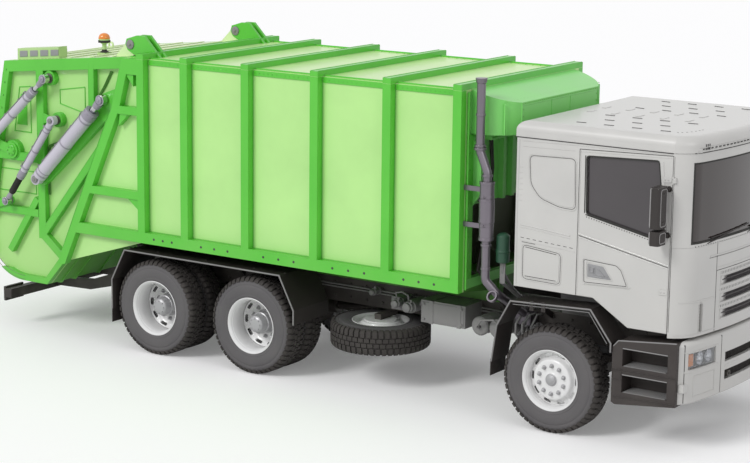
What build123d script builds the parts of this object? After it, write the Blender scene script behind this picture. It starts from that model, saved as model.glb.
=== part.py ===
"""Rear loading garbage truck with three axles, in millimetres.

X points to the cab, Y to the truck's left side and Z up.
The origin is on the ground, below the middle of the truck's length and width.
"""
from build123d import *
import os
from math import atan2, cos, degrees, hypot, radians, sin, sqrt

os.makedirs("parts", exist_ok=True)

# Overall sizes and clearances
overall_length = 9400
body_half_width = 1250
shut_gap = 12
pin_clearance = 0.5
seat_gap = 0.3

# Axles and tyres
front_overhang = 1540
wheelbase = 3700
tandem_spacing = 1350
tyre_radius = 540
tyre_width = 290
bead_radius = 295
wheel_outer_y = 1218
twin_gap = 36
kingpin_y = 870
spindle_radius = 45

# Frame rails
rail_outer_y = 425
rail_width = 80
rail_top_z = 1030
rail_depth = 270
rail_web = 9
rail_rear_x = -2800
crossmember_depth = 140

# Load body
body_front_x = 2106
sill_bottom_z = 1275
sill_height = 120
body_top_z = 3325
wall_thickness = 20
rib_depth = 90
rib_width = 100
roof_rib_height = 60
joint_top_x = -2290
joint_knee = (-2450, 2750)
joint_foot = (-3300, 880)
slope_start_x = -2030
joint_post_width = 110
# Front edge of each hoop, measured back from the front of the body
hoop_setbacks = [0, 838, 1741, 2644, 3475, 4089]

# Tailgate
tailgate_plate_y = 1040
tailgate_frame_y = 1110
tailgate_rear_top = (-4200, 3140)
trough_centre = (-3960, 1180)
trough_radius = 620
hopper_corner = (-3600, 560)
mouth_top_z = 2300
hinge_point = (-2360, 3450)
hinge_lug_y = 950
hinge_lug_half = 25
hinge_pin_radius = 40

# Cylinders on the tailgate's sides, and the pins they work between
cylinder_y = 1195
lift_top = (-2640, 2820)
lift_bottom = (-3640, 1820)
lift_barrel_radius = 78
pack_top = (-3500, 2990)
pack_bottom = (-4400, 2192)
pack_barrel_radius = 52
bin_top = (-3390, 2520)
bin_bottom = (-4127, 1508)
bin_barrel_radius = 42
carrier_pivot = (-4100, 2100)
blade_pivot = (-3960, 1180)
blade_length = 540
blade_rest_deg = 315
lifter_pivot = (-4420, 1420)
crank_inner_y = 1115
crank_outer_y = 1137
eye_half_width = 36

# Cab
cab_half_width = 1200
cab_rear_x = 2720
cab_wall = 60
cab_roof_base_z = 2930
cab_roof_top_z = 3085
cab_floor_z = 1440
cab_sill_z = 1200
cab_front_setback = 10
corner_start_x = 4400
door_rear_x = 3415
door_front_x = 4425
front_panel_bottom_z = 1160
windscreen_bottom_z = 2060
windscreen_top_z = 2840

# Values worked out from the sizes above
front_end_x = overall_length / 2
rear_end_x = -overall_length / 2
front_axle_x = front_end_x - front_overhang
drive_axle_x = front_axle_x - wheelbase
rear_axle_x = drive_axle_x - tandem_spacing
axle_z = tyre_radius
rail_inner_y = rail_outer_y - rail_width
rail_bottom_z = rail_top_z - rail_depth
wall_outer_y = body_half_width - rib_depth
wall_inner_y = wall_outer_y - wall_thickness
sill_top_z = sill_bottom_z + sill_height
tailgate_inner_y = tailgate_plate_y - wall_thickness
cab_front_x = front_end_x - cab_front_setback
last_hoop_rear_x = body_front_x - hoop_setbacks[-1] - rib_width


# Shapes that many pieces are made of
def side_plate(points, y_from, y_to, mode=Mode.ADD):
    """Extrude an outline of (x, z) points across the truck."""
    with BuildSketch(Plane.XZ.offset(-y_from)) as outline:
        with BuildLine():
            Polyline(*points, close=True)
        make_face()
    extrude(outline.sketch, amount=y_from - y_to, mode=mode)


def front_plate(points, x_from, x_to, mode=Mode.ADD):
    """Extrude an outline of (y, z) points along the truck."""
    with BuildSketch(Plane.YZ.offset(x_from)) as outline:
        with BuildLine():
            Polyline(*points, close=True)
        make_face()
    extrude(outline.sketch, amount=x_to - x_from, mode=mode)


def block(x, y, z, mode=Mode.ADD):
    """A box between the low and high ends given for each axis."""
    side_plate([(x[0], z[0]), (x[1], z[0]), (x[1], z[1]), (x[0], z[1])], y[0], y[1], mode)


def cross_pin(point, radius, y_from, y_to, mode=Mode.ADD):
    """A round bar across the truck at an (x, z) point."""
    with BuildSketch(Plane.XZ.offset(-y_from)) as section:
        with Locations(point):
            Circle(radius)
    extrude(section.sketch, amount=y_from - y_to, mode=mode)


def upright(x, y, radius, z_from, z_to, mode=Mode.ADD):
    """A round upright bar."""
    with BuildSketch(Plane.XY.offset(z_from)) as section:
        with Locations((x, y)):
            Circle(radius)
    extrude(section.sketch, amount=z_to - z_from, mode=mode)


def tube_between(start, finish, radius, mode=Mode.ADD):
    """A round bar from one point to another."""
    run = Vector(*finish) - Vector(*start)
    with BuildSketch(Plane(origin=start, z_dir=run)) as section:
        Circle(radius)
    extrude(section.sketch, amount=run.length, mode=mode)


def turned(profile, axle_x, mode=Mode.ADD):
    """Turn a profile of (y, radius) points round the axle."""
    with BuildSketch(Plane.YZ.offset(axle_x)) as outline:
        with BuildLine():
            Polyline(*[(y, axle_z + radius) for y, radius in profile], close=True)
        make_face()
    revolve(outline.sketch, axis=Axis((axle_x, 0, axle_z), (0, 1, 0)), mode=mode)


def strip(start, finish, width):
    """Corners of a straight strip of steel between two (x, z) points."""
    dx, dz = finish[0] - start[0], finish[1] - start[1]
    reach = hypot(dx, dz)
    side_x, side_z = -dz / reach * width / 2, dx / reach * width / 2
    return [
        (start[0] + side_x, start[1] + side_z),
        (finish[0] + side_x, finish[1] + side_z),
        (finish[0] - side_x, finish[1] - side_z),
        (start[0] - side_x, start[1] - side_z),
    ]


def along(start, finish, distance):
    """The (x, z) point at a distance from start towards finish."""
    reach = hypot(finish[0] - start[0], finish[1] - start[1])
    share = distance / reach
    return (start[0] + (finish[0] - start[0]) * share, start[1] + (finish[1] - start[1]) * share)


def save(sub_part, node):
    sub_part.part.label = node
    export_step(sub_part.part, f"parts/{node}.step")


# Chassis frame: two channel rails, crossmembers, cab hinge brackets and the spare wheel's carrier
rail_front_x = front_end_x - 240
cab_hinge = (front_end_x - 170, 940)
spare_x = 764
spare_y = -620
spare_top_z = 700
crossmember_xs = [-2720, -1215, 60, 1500, 4300]
tow_socket_y = -385
tow_socket_z = 687
tow_socket_radius = 34
tow_bore_radius = 15.2
tow_bore_depth = 60

with BuildPart() as chassis_frame:
    front_plate(
        [
            (rail_outer_y, rail_bottom_z),
            (rail_outer_y, rail_top_z),
            (rail_inner_y, rail_top_z),
            (rail_inner_y, rail_top_z - rail_web),
            (rail_outer_y - rail_web, rail_top_z - rail_web),
            (rail_outer_y - rail_web, rail_bottom_z + rail_web),
            (rail_inner_y, rail_bottom_z + rail_web),
            (rail_inner_y, rail_bottom_z),
        ],
        rail_rear_x,
        rail_front_x,
    )
    mirror(about=Plane.XZ)
    block(
        (spare_x - 40, spare_x + 40),
        (spare_y - 60, -rail_inner_y),
        (spare_top_z + seat_gap, rail_bottom_z),
    )
    for side in (-1, 1):
        side_plate(
            [
                (rail_front_x - 160, rail_bottom_z + 20),
                (cab_hinge[0] - 20, cab_hinge[1] - 45),
                (cab_hinge[0] + 45, cab_hinge[1]),
                (cab_hinge[0], cab_hinge[1] + 45),
                (rail_front_x - 160, rail_top_z - 20),
            ],
            side * rail_outer_y,
            side * (rail_outer_y + 30),
        )
        cross_pin(cab_hinge, 25, side * (rail_outer_y + 30), side * (rail_outer_y + 130))
    # Socket for a screw-in tow eye, behind the bumper's lower slot
    socket_end_x = front_end_x - 10
    block(
        (rail_front_x - 160, rail_front_x),
        (tow_socket_y - 20, tow_socket_y + 20),
        (tow_socket_z, rail_bottom_z),
    )
    tube_between(
        (rail_front_x - 160, tow_socket_y, tow_socket_z),
        (socket_end_x, tow_socket_y, tow_socket_z),
        tow_socket_radius,
    )
    tube_between(
        (socket_end_x - tow_bore_depth, tow_socket_y, tow_socket_z),
        (socket_end_x, tow_socket_y, tow_socket_z),
        tow_bore_radius,
        Mode.SUBTRACT,
    )
save(chassis_frame, "chassis_frame")

# Crossmembers, bolted between the rails under their top flanges
member_half_width = rail_outer_y - rail_web - seat_gap
member_top_z = rail_top_z - rail_web - seat_gap
with BuildPart() as crossmembers:
    for member_x in crossmember_xs:
        block(
            (member_x, member_x + 60),
            (-member_half_width, member_half_width),
            (member_top_z - crossmember_depth, member_top_z),
        )
save(crossmembers, "crossmembers")

# Front axle: forged beam with kingpin eyes, leaf springs and their hangers
beam_half = 50
eye_bottom_z = 470
eye_top_z = 610
kingpin_radius = 25
spring_y = (rail_inner_y, rail_outer_y)
spring_half_length = 780
spring_seat_z = 600
spring_leaf = 60

with BuildPart() as front_axle:
    front_plate(
        [
            (-kingpin_y, eye_bottom_z + 10),
            (-kingpin_y + 75, eye_bottom_z + 10),
            (-kingpin_y + 230, 370),
            (kingpin_y - 230, 370),
            (kingpin_y - 75, eye_bottom_z + 10),
            (kingpin_y, eye_bottom_z + 10),
            (kingpin_y, eye_top_z - 10),
            (kingpin_y - 75, eye_top_z - 10),
            (kingpin_y - 260, 480),
            (-kingpin_y + 260, 480),
            (-kingpin_y + 75, eye_top_z - 10),
            (-kingpin_y, eye_top_z - 10),
        ],
        front_axle_x - beam_half,
        front_axle_x + beam_half,
    )
    for side in (-1, 1):
        upright(front_axle_x, side * kingpin_y, 55, eye_bottom_z, eye_top_z)
        upright(
            front_axle_x,
            side * kingpin_y,
            kingpin_radius + pin_clearance,
            eye_bottom_z,
            eye_top_z,
            Mode.SUBTRACT,
        )
        spring = [side * spring_y[0], side * spring_y[1]]
        block((front_axle_x - 60, front_axle_x + 60), spring, (470, spring_seat_z))
        with BuildSketch(Plane.XZ.offset(-spring[0])) as leaves:
            with BuildLine():
                lower = ThreePointArc(
                    (front_axle_x - spring_half_length, 680),
                    (front_axle_x, spring_seat_z - 5),
                    (front_axle_x + spring_half_length, 680),
                )
                upper = ThreePointArc(
                    (front_axle_x - spring_half_length, 680 + 25),
                    (front_axle_x, spring_seat_z + spring_leaf),
                    (front_axle_x + spring_half_length, 680 + 25),
                )
                Line(lower @ 0, upper @ 0)
                Line(lower @ 1, upper @ 1)
            make_face()
        extrude(leaves.sketch, amount=spring[0] - spring[1])
        for end in (-1, 1):
            hanger_x = front_axle_x + end * (spring_half_length - 10)
            cross_pin((hanger_x, 690), 38, spring[0], spring[1])
            block((hanger_x - 30, hanger_x + 30), spring, (690, rail_bottom_z))
save(front_axle, "front_axle")

# Driven axles: housings with drives, spindles, spring packs and drive shafts
housing_radius = 85
drive_radius = 200
hub_spindle_radius = 60
hub_spindle_end_y = 1080
shaft_radius = 48
gearbox_rear_x = 1960
gearbox_z = 800
shaft_z = 590

drive_case_half = 110
housing_end_y = 560
with BuildPart() as rear_axles:
    # Drive case, housing tubes, spindles and pinion nose are bolted to each other
    for axle_x in (drive_axle_x, rear_axle_x):
        cross_pin((axle_x, axle_z), drive_radius, -drive_case_half, drive_case_half)
        for side in (-1, 1):
            cross_pin((axle_x, axle_z), housing_radius, side * (drive_case_half + seat_gap), side * housing_end_y)
            cross_pin((axle_x, axle_z), hub_spindle_radius, side * (housing_end_y + seat_gap), side * hub_spindle_end_y)
        nose = along((axle_x, axle_z), (axle_x + 330, shaft_z), drive_radius + seat_gap)
        tube_between((nose[0], 0, nose[1]), (axle_x + 330, 0, shaft_z), 90)
    tube_between((drive_axle_x - drive_radius - 2, 0, shaft_z - 20), (rear_axle_x + 338, 0, shaft_z), shaft_radius)
    tube_between((drive_axle_x + 338, 0, shaft_z), (gearbox_rear_x - 8, 0, gearbox_z), shaft_radius)
    for side in (-1, 1):
        pack_y = (side * rail_inner_y, side * rail_outer_y)
        middle_x = (drive_axle_x + rear_axle_x) / 2
        side_plate(
            [
                (rear_axle_x - 90, axle_z + housing_radius + seat_gap),
                (drive_axle_x + 90, axle_z + housing_radius + seat_gap),
                (drive_axle_x + 90, axle_z + 110),
                (middle_x + 150, axle_z + 190),
                (middle_x + 110, rail_bottom_z),
                (middle_x - 110, rail_bottom_z),
                (middle_x - 150, axle_z + 190),
                (rear_axle_x - 90, axle_z + 110),
            ],
            pack_y[0],
            pack_y[1],
        )
save(rear_axles, "rear_axles")

# Engine and gearbox: one plain mass between the rails, below the cab
engine_half_width = rail_inner_y - 15
with BuildPart() as engine_block:
    block((2780, 3880), (-engine_half_width, engine_half_width), (640, 1390))
    block((gearbox_rear_x, 2780), (-200, 200), (660, 1010))
    block((2850, 3800), (-rail_outer_y, rail_outer_y), (rail_top_z, 1250))
save(engine_block, "engine_block")

# Tanks and boxes hung on the rails: fuel tank on the left, air tanks and battery box on the right
tank_x = (420, 1640)
with BuildPart() as tanks_and_boxes:
    with BuildSketch(Plane.YZ.offset(tank_x[0])) as tank_section:
        with Locations((rail_outer_y + 340, 800)):
            RectangleRounded(640, 560, 90)
    extrude(tank_section.sketch, amount=tank_x[1] - tank_x[0])
    for strap_x in (tank_x[0] + 200, tank_x[1] - 260):
        block((strap_x, strap_x + 60), (rail_outer_y, rail_outer_y + 40), (700, 1020))
    block((1360, 1900), (-rail_outer_y - 330, -rail_outer_y), (780, 1020))
    block((900, 1060), (-rail_outer_y - 200, -rail_outer_y), (830, 970))
    cross_pin((1180, 900), 70, -rail_outer_y, -rail_outer_y - 260)
    for tank_centre_x in (2080, 2290):
        cross_pin((tank_centre_x, 840), 95, -rail_outer_y, -rail_outer_y - 330)
save(tanks_and_boxes, "tanks_and_boxes")


# Wheels
def tyre_profile(outer_y, inner_y):
    """Corners of one tyre's section, from the outer bead round the tread to the inner bead."""
    out = 1 if outer_y > inner_y else -1
    return [
        (outer_y - out * 32, bead_radius),
        (outer_y - out * 4, bead_radius + 55),
        (outer_y, bead_radius + 125),
        (outer_y - out * 8, tyre_radius - 45),
        (outer_y - out * 30, tyre_radius - 8),
        (outer_y - out * 55, tyre_radius),
        (inner_y + out * 55, tyre_radius),
        (inner_y + out * 30, tyre_radius - 8),
        (inner_y + out * 8, tyre_radius - 45),
        (inner_y, bead_radius + 125),
        (inner_y + out * 4, bead_radius + 55),
        (inner_y + out * 32, bead_radius),
    ]


def rim_barrel(outer_y, inner_y):
    """Rolled rim with a lip at each edge, open to both sides."""
    out = 1 if outer_y > inner_y else -1
    seat = bead_radius - seat_gap
    return [
        (outer_y - out * 8, bead_radius + 12),
        (outer_y - out * 20, bead_radius + 12),
        (outer_y - out * 30, seat),
        (inner_y + out * 30, seat),
        (inner_y + out * 20, bead_radius + 12),
        (inner_y + out * 8, bead_radius + 12),
        (inner_y + out * 8, seat - 14),
        (outer_y - out * 8, seat - 14),
    ]


sides = {"right": -1, "left": 1}
for side_name, side in sides.items():
    outer_y = side * wheel_outer_y
    inner_y = side * (wheel_outer_y - tyre_width)
    with BuildPart() as front_tyre:
        turned(tyre_profile(outer_y, inner_y), front_axle_x)
    save(front_tyre, f"front_tyre_{side_name}")

    # Front rim: convex disc that stands out nearly to the lip, with a small hub cap and the drum behind
    disc_y = outer_y - side * 50
    with BuildPart() as front_rim:
        turned(rim_barrel(outer_y, inner_y), front_axle_x)
        turned(
            [
                (disc_y - side * 75, bead_radius - 8),
                (disc_y - side * 60, 215),
                (disc_y - side * 12, 200),
                (disc_y, 185),
                (disc_y, 62),
                (disc_y + side * 26, 52),
                (disc_y + side * 26, 0),
                (disc_y - side * 30, 0),
                (disc_y - side * 30, spindle_radius + pin_clearance),
                (disc_y - side * 190, spindle_radius + pin_clearance),
                (disc_y - side * 190, 190),
                (disc_y - side * 92, 205),
                (disc_y - side * 92, bead_radius - 8),
            ],
            front_axle_x,
        )
    save(front_rim, f"front_rim_{side_name}")

    # Knuckle: yoke round the beam's eye on its kingpin, with the spindle that the wheel turns on
    with BuildPart() as knuckle:
        upright(front_axle_x, side * kingpin_y, kingpin_radius, eye_bottom_z - 40, eye_top_z + 40)
        for ear_z in ((eye_bottom_z - 40, eye_bottom_z - 6), (eye_top_z + 6, eye_top_z + 40)):
            upright(front_axle_x, side * kingpin_y, 58, *ear_z)
            block((front_axle_x - 55, front_axle_x + 55), (side * kingpin_y, side * (kingpin_y + 100)), ear_z)
        block(
            (front_axle_x - 55, front_axle_x + 55),
            (side * (kingpin_y + 66), side * (kingpin_y + 100)),
            (eye_bottom_z - 40, eye_top_z + 40),
        )
        spindle_end_y = disc_y - side * 32
        cross_pin((front_axle_x, axle_z), spindle_radius, side * (kingpin_y + 100), spindle_end_y)
        block(
            (front_axle_x - 260, front_axle_x - 40),
            (side * (kingpin_y + 10), side * (kingpin_y + 50)),
            (eye_bottom_z - 40, eye_bottom_z - 6),
        )
    save(knuckle, f"knuckle_{side_name}")

    # Twin wheels: deep dished outer rim, flat inner rim back to back with it, and a long hub
    for axle_name, axle_x in (("drive", drive_axle_x), ("rear", rear_axle_x)):
        split_y = outer_y - side * tyre_width
        twin_y = split_y - side * twin_gap
        with BuildPart() as twin_tyres:
            turned(tyre_profile(outer_y, split_y), axle_x)
            turned(tyre_profile(twin_y, twin_y - side * tyre_width), axle_x)
        save(twin_tyres, f"{axle_name}_tyres_{side_name}")

        dish_y = split_y - side * twin_gap / 2
        bore = hub_spindle_radius + pin_clearance
        with BuildPart() as twin_rims:
            turned(rim_barrel(outer_y, split_y), axle_x)
            turned(rim_barrel(twin_y, twin_y - side * tyre_width), axle_x)
            turned(
                [
                    (dish_y + side * 60, bead_radius - 8),
                    (dish_y + side * 45, 240),
                    (dish_y + side * 14, 215),
                    (dish_y + side * 14, 130),
                    (dish_y + side * 120, 112),
                    (dish_y + side * 200, 95),
                    (dish_y + side * 225, 60),
                    (dish_y + side * 225, 0),
                    (dish_y + side * 190, 0),
                    (dish_y + side * 190, bore),
                    (dish_y - side * 150, bore),
                    (dish_y - side * 150, 200),
                    (dish_y - side * 14, 215),
                    (dish_y - side * 45, 240),
                    (dish_y - side * 60, bead_radius - 8),
                ],
                axle_x,
            )
        save(twin_rims, f"{axle_name}_rims_{side_name}")

# Spare wheel, slung flat below the right rail
with BuildPart() as spare_wheel:
    with BuildSketch(Plane.XZ.offset(-spare_y)) as spare_section:
        with BuildLine():
            Polyline(
                (spare_x, spare_top_z),
                (spare_x + 180, spare_top_z),
                (spare_x + 250, spare_top_z - 60),
                (spare_x + bead_radius, spare_top_z - 36),
                (spare_x + 420, spare_top_z - 6),
                (spare_x + tyre_radius - 40, spare_top_z - 20),
                (spare_x + tyre_radius, spare_top_z - 55),
                (spare_x + tyre_radius, spare_top_z - tyre_width + 55),
                (spare_x + tyre_radius - 40, spare_top_z - tyre_width + 20),
                (spare_x + 420, spare_top_z - tyre_width + 6),
                (spare_x + bead_radius, spare_top_z - tyre_width + 36),
                (spare_x + 250, spare_top_z - 90),
                (spare_x, spare_top_z - 40),
                close=True,
            )
        make_face()
    revolve(spare_section.sketch, axis=Axis((spare_x, spare_y, 0), (0, 0, 1)))
save(spare_wheel, "spare_wheel")

# Mudguards: folded arches over the front wheels and over each pair of rear wheels, with their stays
arch_thickness = 12
front_arch = [
    (front_axle_x - 655, 640),
    (front_axle_x - 600, 1020),
    (front_axle_x - 450, 1290),
    (front_axle_x + 440, 1330),
    (front_axle_x + 670, 1030),
    (front_axle_x + 670, 940),
]
rear_arch_reach = tyre_radius + 55
rear_arch_top_z = axle_z + tyre_radius + 80
rear_arch = [
    (rear_axle_x - rear_arch_reach, 460),
    (rear_axle_x - rear_arch_reach, 800),
    (rear_axle_x - rear_arch_reach + 190, rear_arch_top_z),
    (drive_axle_x + rear_arch_reach - 190, rear_arch_top_z),
    (drive_axle_x + rear_arch_reach, 800),
    (drive_axle_x + rear_arch_reach, 640),
]


def folded_arch(points, y_from, y_to):
    """A sheet folded along (x, z) points, as thick as arch_thickness."""
    closing = [(points[-1][0], 300), (points[0][0], 300)]
    with BuildSketch(Plane.XZ.offset(-y_from)) as sheet:
        with BuildLine():
            Polyline(*points, *closing, close=True)
        make_face()
        offset(amount=-arch_thickness, kind=Kind.INTERSECTION, mode=Mode.SUBTRACT)
        open_z = (points[0][1], points[-1][1])
        middle_x = (points[0][0] + points[-1][0]) / 2
        for foot_z, low_x, high_x in (
            (open_z[0], points[0][0] - 50, middle_x),
            (open_z[1], middle_x, points[-1][0] + 50),
        ):
            with Locations(((low_x + high_x) / 2, foot_z - 600)):
                Rectangle(high_x - low_x, 1200, mode=Mode.SUBTRACT)
    extrude(sheet.sketch, amount=y_from - y_to)


with BuildPart() as mudguards:
    for side in (-1, 1):
        folded_arch(front_arch, side * 920, side * (wheel_outer_y + 22))
        folded_arch(rear_arch, side * 590, side * (wheel_outer_y + 22))
        # Stays out from the rails
        front_plate(
            [
                (side * rail_outer_y, 950),
                (side * 930, 1240),
                (side * 930, 1300),
                (side * rail_outer_y, 1020),
            ],
            front_axle_x - 430,
            front_axle_x - 410,
        )
        for stay_x in ((drive_axle_x + rear_axle_x) / 2, rear_axle_x - rear_arch_reach + 200):
            front_plate(
                [
                    (side * rail_outer_y, 940),
                    (side * 620, rear_arch_top_z - 8),
                    (side * 1180, rear_arch_top_z - 8),
                    (side * 1180, rear_arch_top_z - 30),
                    (side * 700, rear_arch_top_z - 40),
                    (side * rail_outer_y, 860),
                ],
                stay_x - 10,
                stay_x + 10,
            )
save(mudguards, "mudguards")

# Entry steps: dark step wells between the front wheels and the bumper
step_x = (front_axle_x + 682, front_end_x - 180)
with BuildPart() as entry_steps:
    for side in (-1, 1):
        side_plate(
            [
                (step_x[0], 450),
                (step_x[0] + 40, 430),
                (step_x[1], 500),
                (step_x[1], 1120),
                (step_x[0] + 60, 1060),
                (step_x[0], 1000),
            ],
            side * 880,
            side * 1222,
        )
        for tread_z in (560, 820):
            block(
                (step_x[0] + 110, step_x[1] - 90),
                (side * 1010, side * 1300),
                (tread_z, tread_z + 170),
                Mode.SUBTRACT,
            )
        # Bracket to the rail
        block((step_x[0] + 250, step_x[0] + 330), (side * rail_outer_y, side * 880), (820, 980))
save(entry_steps, "entry_steps")


# Plan form that the bumper and the cab's front share
def front_form(setback, half_width, rear_x, z_from, z_to, mode=Mode.ADD):
    """Upright form with a slightly bowed front and rounded corners, cut off straight at rear_x."""
    front_x = front_end_x - setback
    corner = (front_x - 90, half_width - 250)
    bend = (front_x - 175, half_width - 75)
    side_end = (front_x - 290, half_width)
    far_x = min(rear_x, side_end[0]) - 50
    with BuildSketch(Plane.XY.offset(z_from)) as plan:
        with BuildLine():
            Polyline((side_end[0], -half_width), (far_x, -half_width), (far_x, half_width), side_end)
            ThreePointArc(side_end, bend, corner)
            ThreePointArc(corner, (front_x, 0), (corner[0], -corner[1]))
            ThreePointArc((corner[0], -corner[1]), (bend[0], -bend[1]), (side_end[0], -half_width))
        make_face()
        with Locations((rear_x - 500, 0)):
            Rectangle(1000, 3000, mode=Mode.SUBTRACT)
    extrude(plan.sketch, amount=z_to - z_from, mode=mode)


# Bumper: hollow wrap-round moulding with two air intakes and pockets for the lamps
bumper_z = (520, 1128)
bumper_wall = 90
bumper_half_width = 1245
bumper_rear_x = front_end_x - 180
lamp_y = (650, 1090)
lamp_z = (850, 1010)
lamp_depth = 45

with BuildPart() as front_bumper:
    front_form(0, bumper_half_width, bumper_rear_x, *bumper_z)
    top_edges = front_bumper.faces().sort_by(Axis.Z)[-1].edges().sort_by(Axis.X)[-3:]
    fillet(top_edges, 55)
    front_form(
        bumper_wall, bumper_half_width - bumper_wall, bumper_rear_x - 60, bumper_z[0], bumper_z[1], Mode.SUBTRACT
    )
    for slot_z in (640, 820):
        block((front_end_x - 160, front_end_x + 20), (-470, 470), (slot_z, slot_z + 95), Mode.SUBTRACT)
    for side in (-1, 1):
        block(
            (front_end_x - lamp_depth - 110, front_end_x + 20),
            (side * lamp_y[0], side * lamp_y[1]),
            lamp_z,
            Mode.SUBTRACT,
        )
        block(
            (bumper_rear_x + 4, bumper_rear_x + 60),
            (side * rail_outer_y, side * (bumper_half_width - bumper_wall + 20)),
            (640, 720),
        )
        block((rail_front_x - 60, bumper_rear_x + 60), (side * rail_outer_y, side * (rail_outer_y + 40)), (640, 800))
save(front_bumper, "front_bumper")

# Head lamps, seated at the back of their pockets
with BuildPart() as head_lamps:
    front_form(12, bumper_half_width - 12, bumper_rear_x, lamp_z[0] + 3, lamp_z[1] - 3)
    block((bumper_rear_x - 50, front_end_x - lamp_depth - 110), (-1300, 1300), lamp_z, Mode.SUBTRACT)
    block((bumper_rear_x - 50, front_end_x + 50), (-lamp_y[0] - 3, lamp_y[0] + 3), lamp_z, Mode.SUBTRACT)
    for side in (-1, 1):
        block(
            (bumper_rear_x - 50, front_end_x + 50),
            (side * (lamp_y[1] - 3), side * 1300),
            lamp_z,
            Mode.SUBTRACT,
        )
save(head_lamps, "head_lamps")

# Exhaust: upright silencer between cab and body, with a cranked tail pipe and a brace to the body
exhaust_x = 2370
exhaust_y = -1165
muffler_radius = 72
pipe_radius = 44
muffler_z = (1850, 2440)
pipe_shift = 90

with BuildPart() as exhaust_stack:
    upright(exhaust_x, exhaust_y, muffler_radius, *muffler_z)
    chamfer(exhaust_stack.edges().filter_by(GeomType.CIRCLE), 22)
    with BuildLine() as tail_run:
        FilletPolyline(
            (exhaust_x, exhaust_y, muffler_z[1] - 20),
            (exhaust_x, exhaust_y, muffler_z[1] + 90),
            (exhaust_x - pipe_shift, exhaust_y, muffler_z[1] + 300),
            (exhaust_x - pipe_shift, exhaust_y, 3440),
            radius=90,
        )
    with BuildSketch(Plane(origin=tail_run.line @ 0, z_dir=tail_run.line % 0)) as tail_section:
        Circle(pipe_radius)
    sweep(tail_section.sketch, path=tail_run.line)
    upright(exhaust_x - pipe_shift, exhaust_y, pipe_radius + 10, 3420, 3462)
    with BuildLine() as down_run:
        FilletPolyline(
            (exhaust_x, exhaust_y, muffler_z[0] + 20),
            (exhaust_x, exhaust_y, 1440),
            (exhaust_x + 110, exhaust_y + 60, 1300),
            (exhaust_x + 110, -rail_outer_y - 60, 960),
            radius=[90, 90],
        )
    with BuildSketch(Plane(origin=down_run.line @ 0, z_dir=down_run.line % 0)) as down_section:
        Circle(pipe_radius)
    sweep(down_section.sketch, path=down_run.line)
    block((exhaust_x + 20, exhaust_x + 200), (-rail_outer_y - 150, -rail_outer_y), (880, 1000))
    for brace_z in (1960, 2330):
        block((body_front_x, exhaust_x - 40), (exhaust_y - 12, exhaust_y + 12), (brace_z, brace_z + 50))
save(exhaust_stack, "exhaust_stack")

# Rear underrun bar on two arms that pass below the hopper, with a lamp board at each end
underrun_x = -4150
underrun_z = (340, 450)
with BuildPart() as rear_underrun:
    for side in (-1, 1):
        side_plate(
            [
                (rail_rear_x + 200, rail_bottom_z),
                (rail_rear_x, rail_bottom_z),
                (hopper_corner[0] + 60, 500),
                (underrun_x, underrun_z[1]),
                (underrun_x, underrun_z[0] + 20),
                (hopper_corner[0] + 60, 380),
                (rail_rear_x + 200, 620),
            ],
            side * rail_inner_y,
            side * rail_outer_y,
        )
        block((underrun_x - 60, underrun_x - 30), (side * 900, side * 1200), (300, 470))
    block((underrun_x - 30, underrun_x + 60), (-1200, 1200), underrun_z)
save(rear_underrun, "rear_underrun")

# Load body sides: sheet walls stiffened by hoops, a sill, and the slanted frame that meets the tailgate
joint_top = (joint_top_x, body_top_z)
slope_foot = (slope_start_x, sill_bottom_z)
wall_outline = [
    (body_front_x, sill_bottom_z),
    (body_front_x, body_top_z),
    joint_top,
    joint_knee,
    joint_foot,
    slope_foot,
]
# Cross members between the last hoop and the slanted post: lower edge, upper edge
rear_member_zs = [(2700, 2790), (1755, 1845)]

with BuildPart() as body_sides:
    side_plate(wall_outline, wall_inner_y, wall_outer_y)
    # Sill along the bottom
    sill_rear_x = joint_foot[0] + (joint_knee[0] - joint_foot[0]) * (sill_bottom_z - joint_foot[1]) / (
        joint_knee[1] - joint_foot[1]
    )
    side_plate(
        [
            (body_front_x, sill_bottom_z),
            (body_front_x, sill_top_z),
            (sill_rear_x + 60, sill_top_z),
            (sill_rear_x, sill_bottom_z),
        ],
        wall_outer_y,
        body_half_width,
    )
    for setback in hoop_setbacks:
        hoop_x = body_front_x - setback
        block((hoop_x - rib_width, hoop_x), (wall_outer_y, body_half_width), (sill_bottom_z, body_top_z))
    # Slanted frame post with its knee, cross members and the solid corner at the top
    side_plate(
        [
            joint_top,
            joint_knee,
            joint_foot,
            (joint_foot[0] + joint_post_width, joint_foot[1]),
            (joint_knee[0] + joint_post_width, joint_knee[1]),
            (joint_top[0] + joint_post_width, joint_top[1]),
        ],
        wall_outer_y,
        body_half_width,
    )
    for low_z, high_z in rear_member_zs:
        post_low_x = joint_foot[0] + (joint_knee[0] - joint_foot[0]) * (low_z - joint_foot[1]) / (
            joint_knee[1] - joint_foot[1]
        )
        block((post_low_x + 60, last_hoop_rear_x), (wall_outer_y, body_half_width), (low_z, high_z))
    block((joint_top_x + 60, last_hoop_rear_x), (wall_outer_y, body_half_width), (body_top_z - 175, body_top_z))
    mirror(about=Plane.XZ)
save(body_sides, "body_sides")

# Lift brackets: plates on the inside of the walls that reach over the tailgate's edge to the rod pins
bracket_y = (wall_inner_y - 20, wall_inner_y - seat_gap)
with BuildPart() as lift_brackets:
    side_plate(
        [
            (joint_knee[0] + 60, joint_knee[1] - 120),
            (lift_top[0] - 20, lift_top[1] - 70),
            (lift_top[0] - 70, lift_top[1]),
            (lift_top[0] - 20, lift_top[1] + 70),
            (joint_knee[0] + 120, joint_knee[1] + 260),
            (joint_knee[0] + 300, joint_knee[1] + 200),
            (joint_knee[0] + 220, joint_knee[1] - 100),
        ],
        *bracket_y,
    )
    mirror(about=Plane.XZ)
save(lift_brackets, "lift_brackets")

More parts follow.
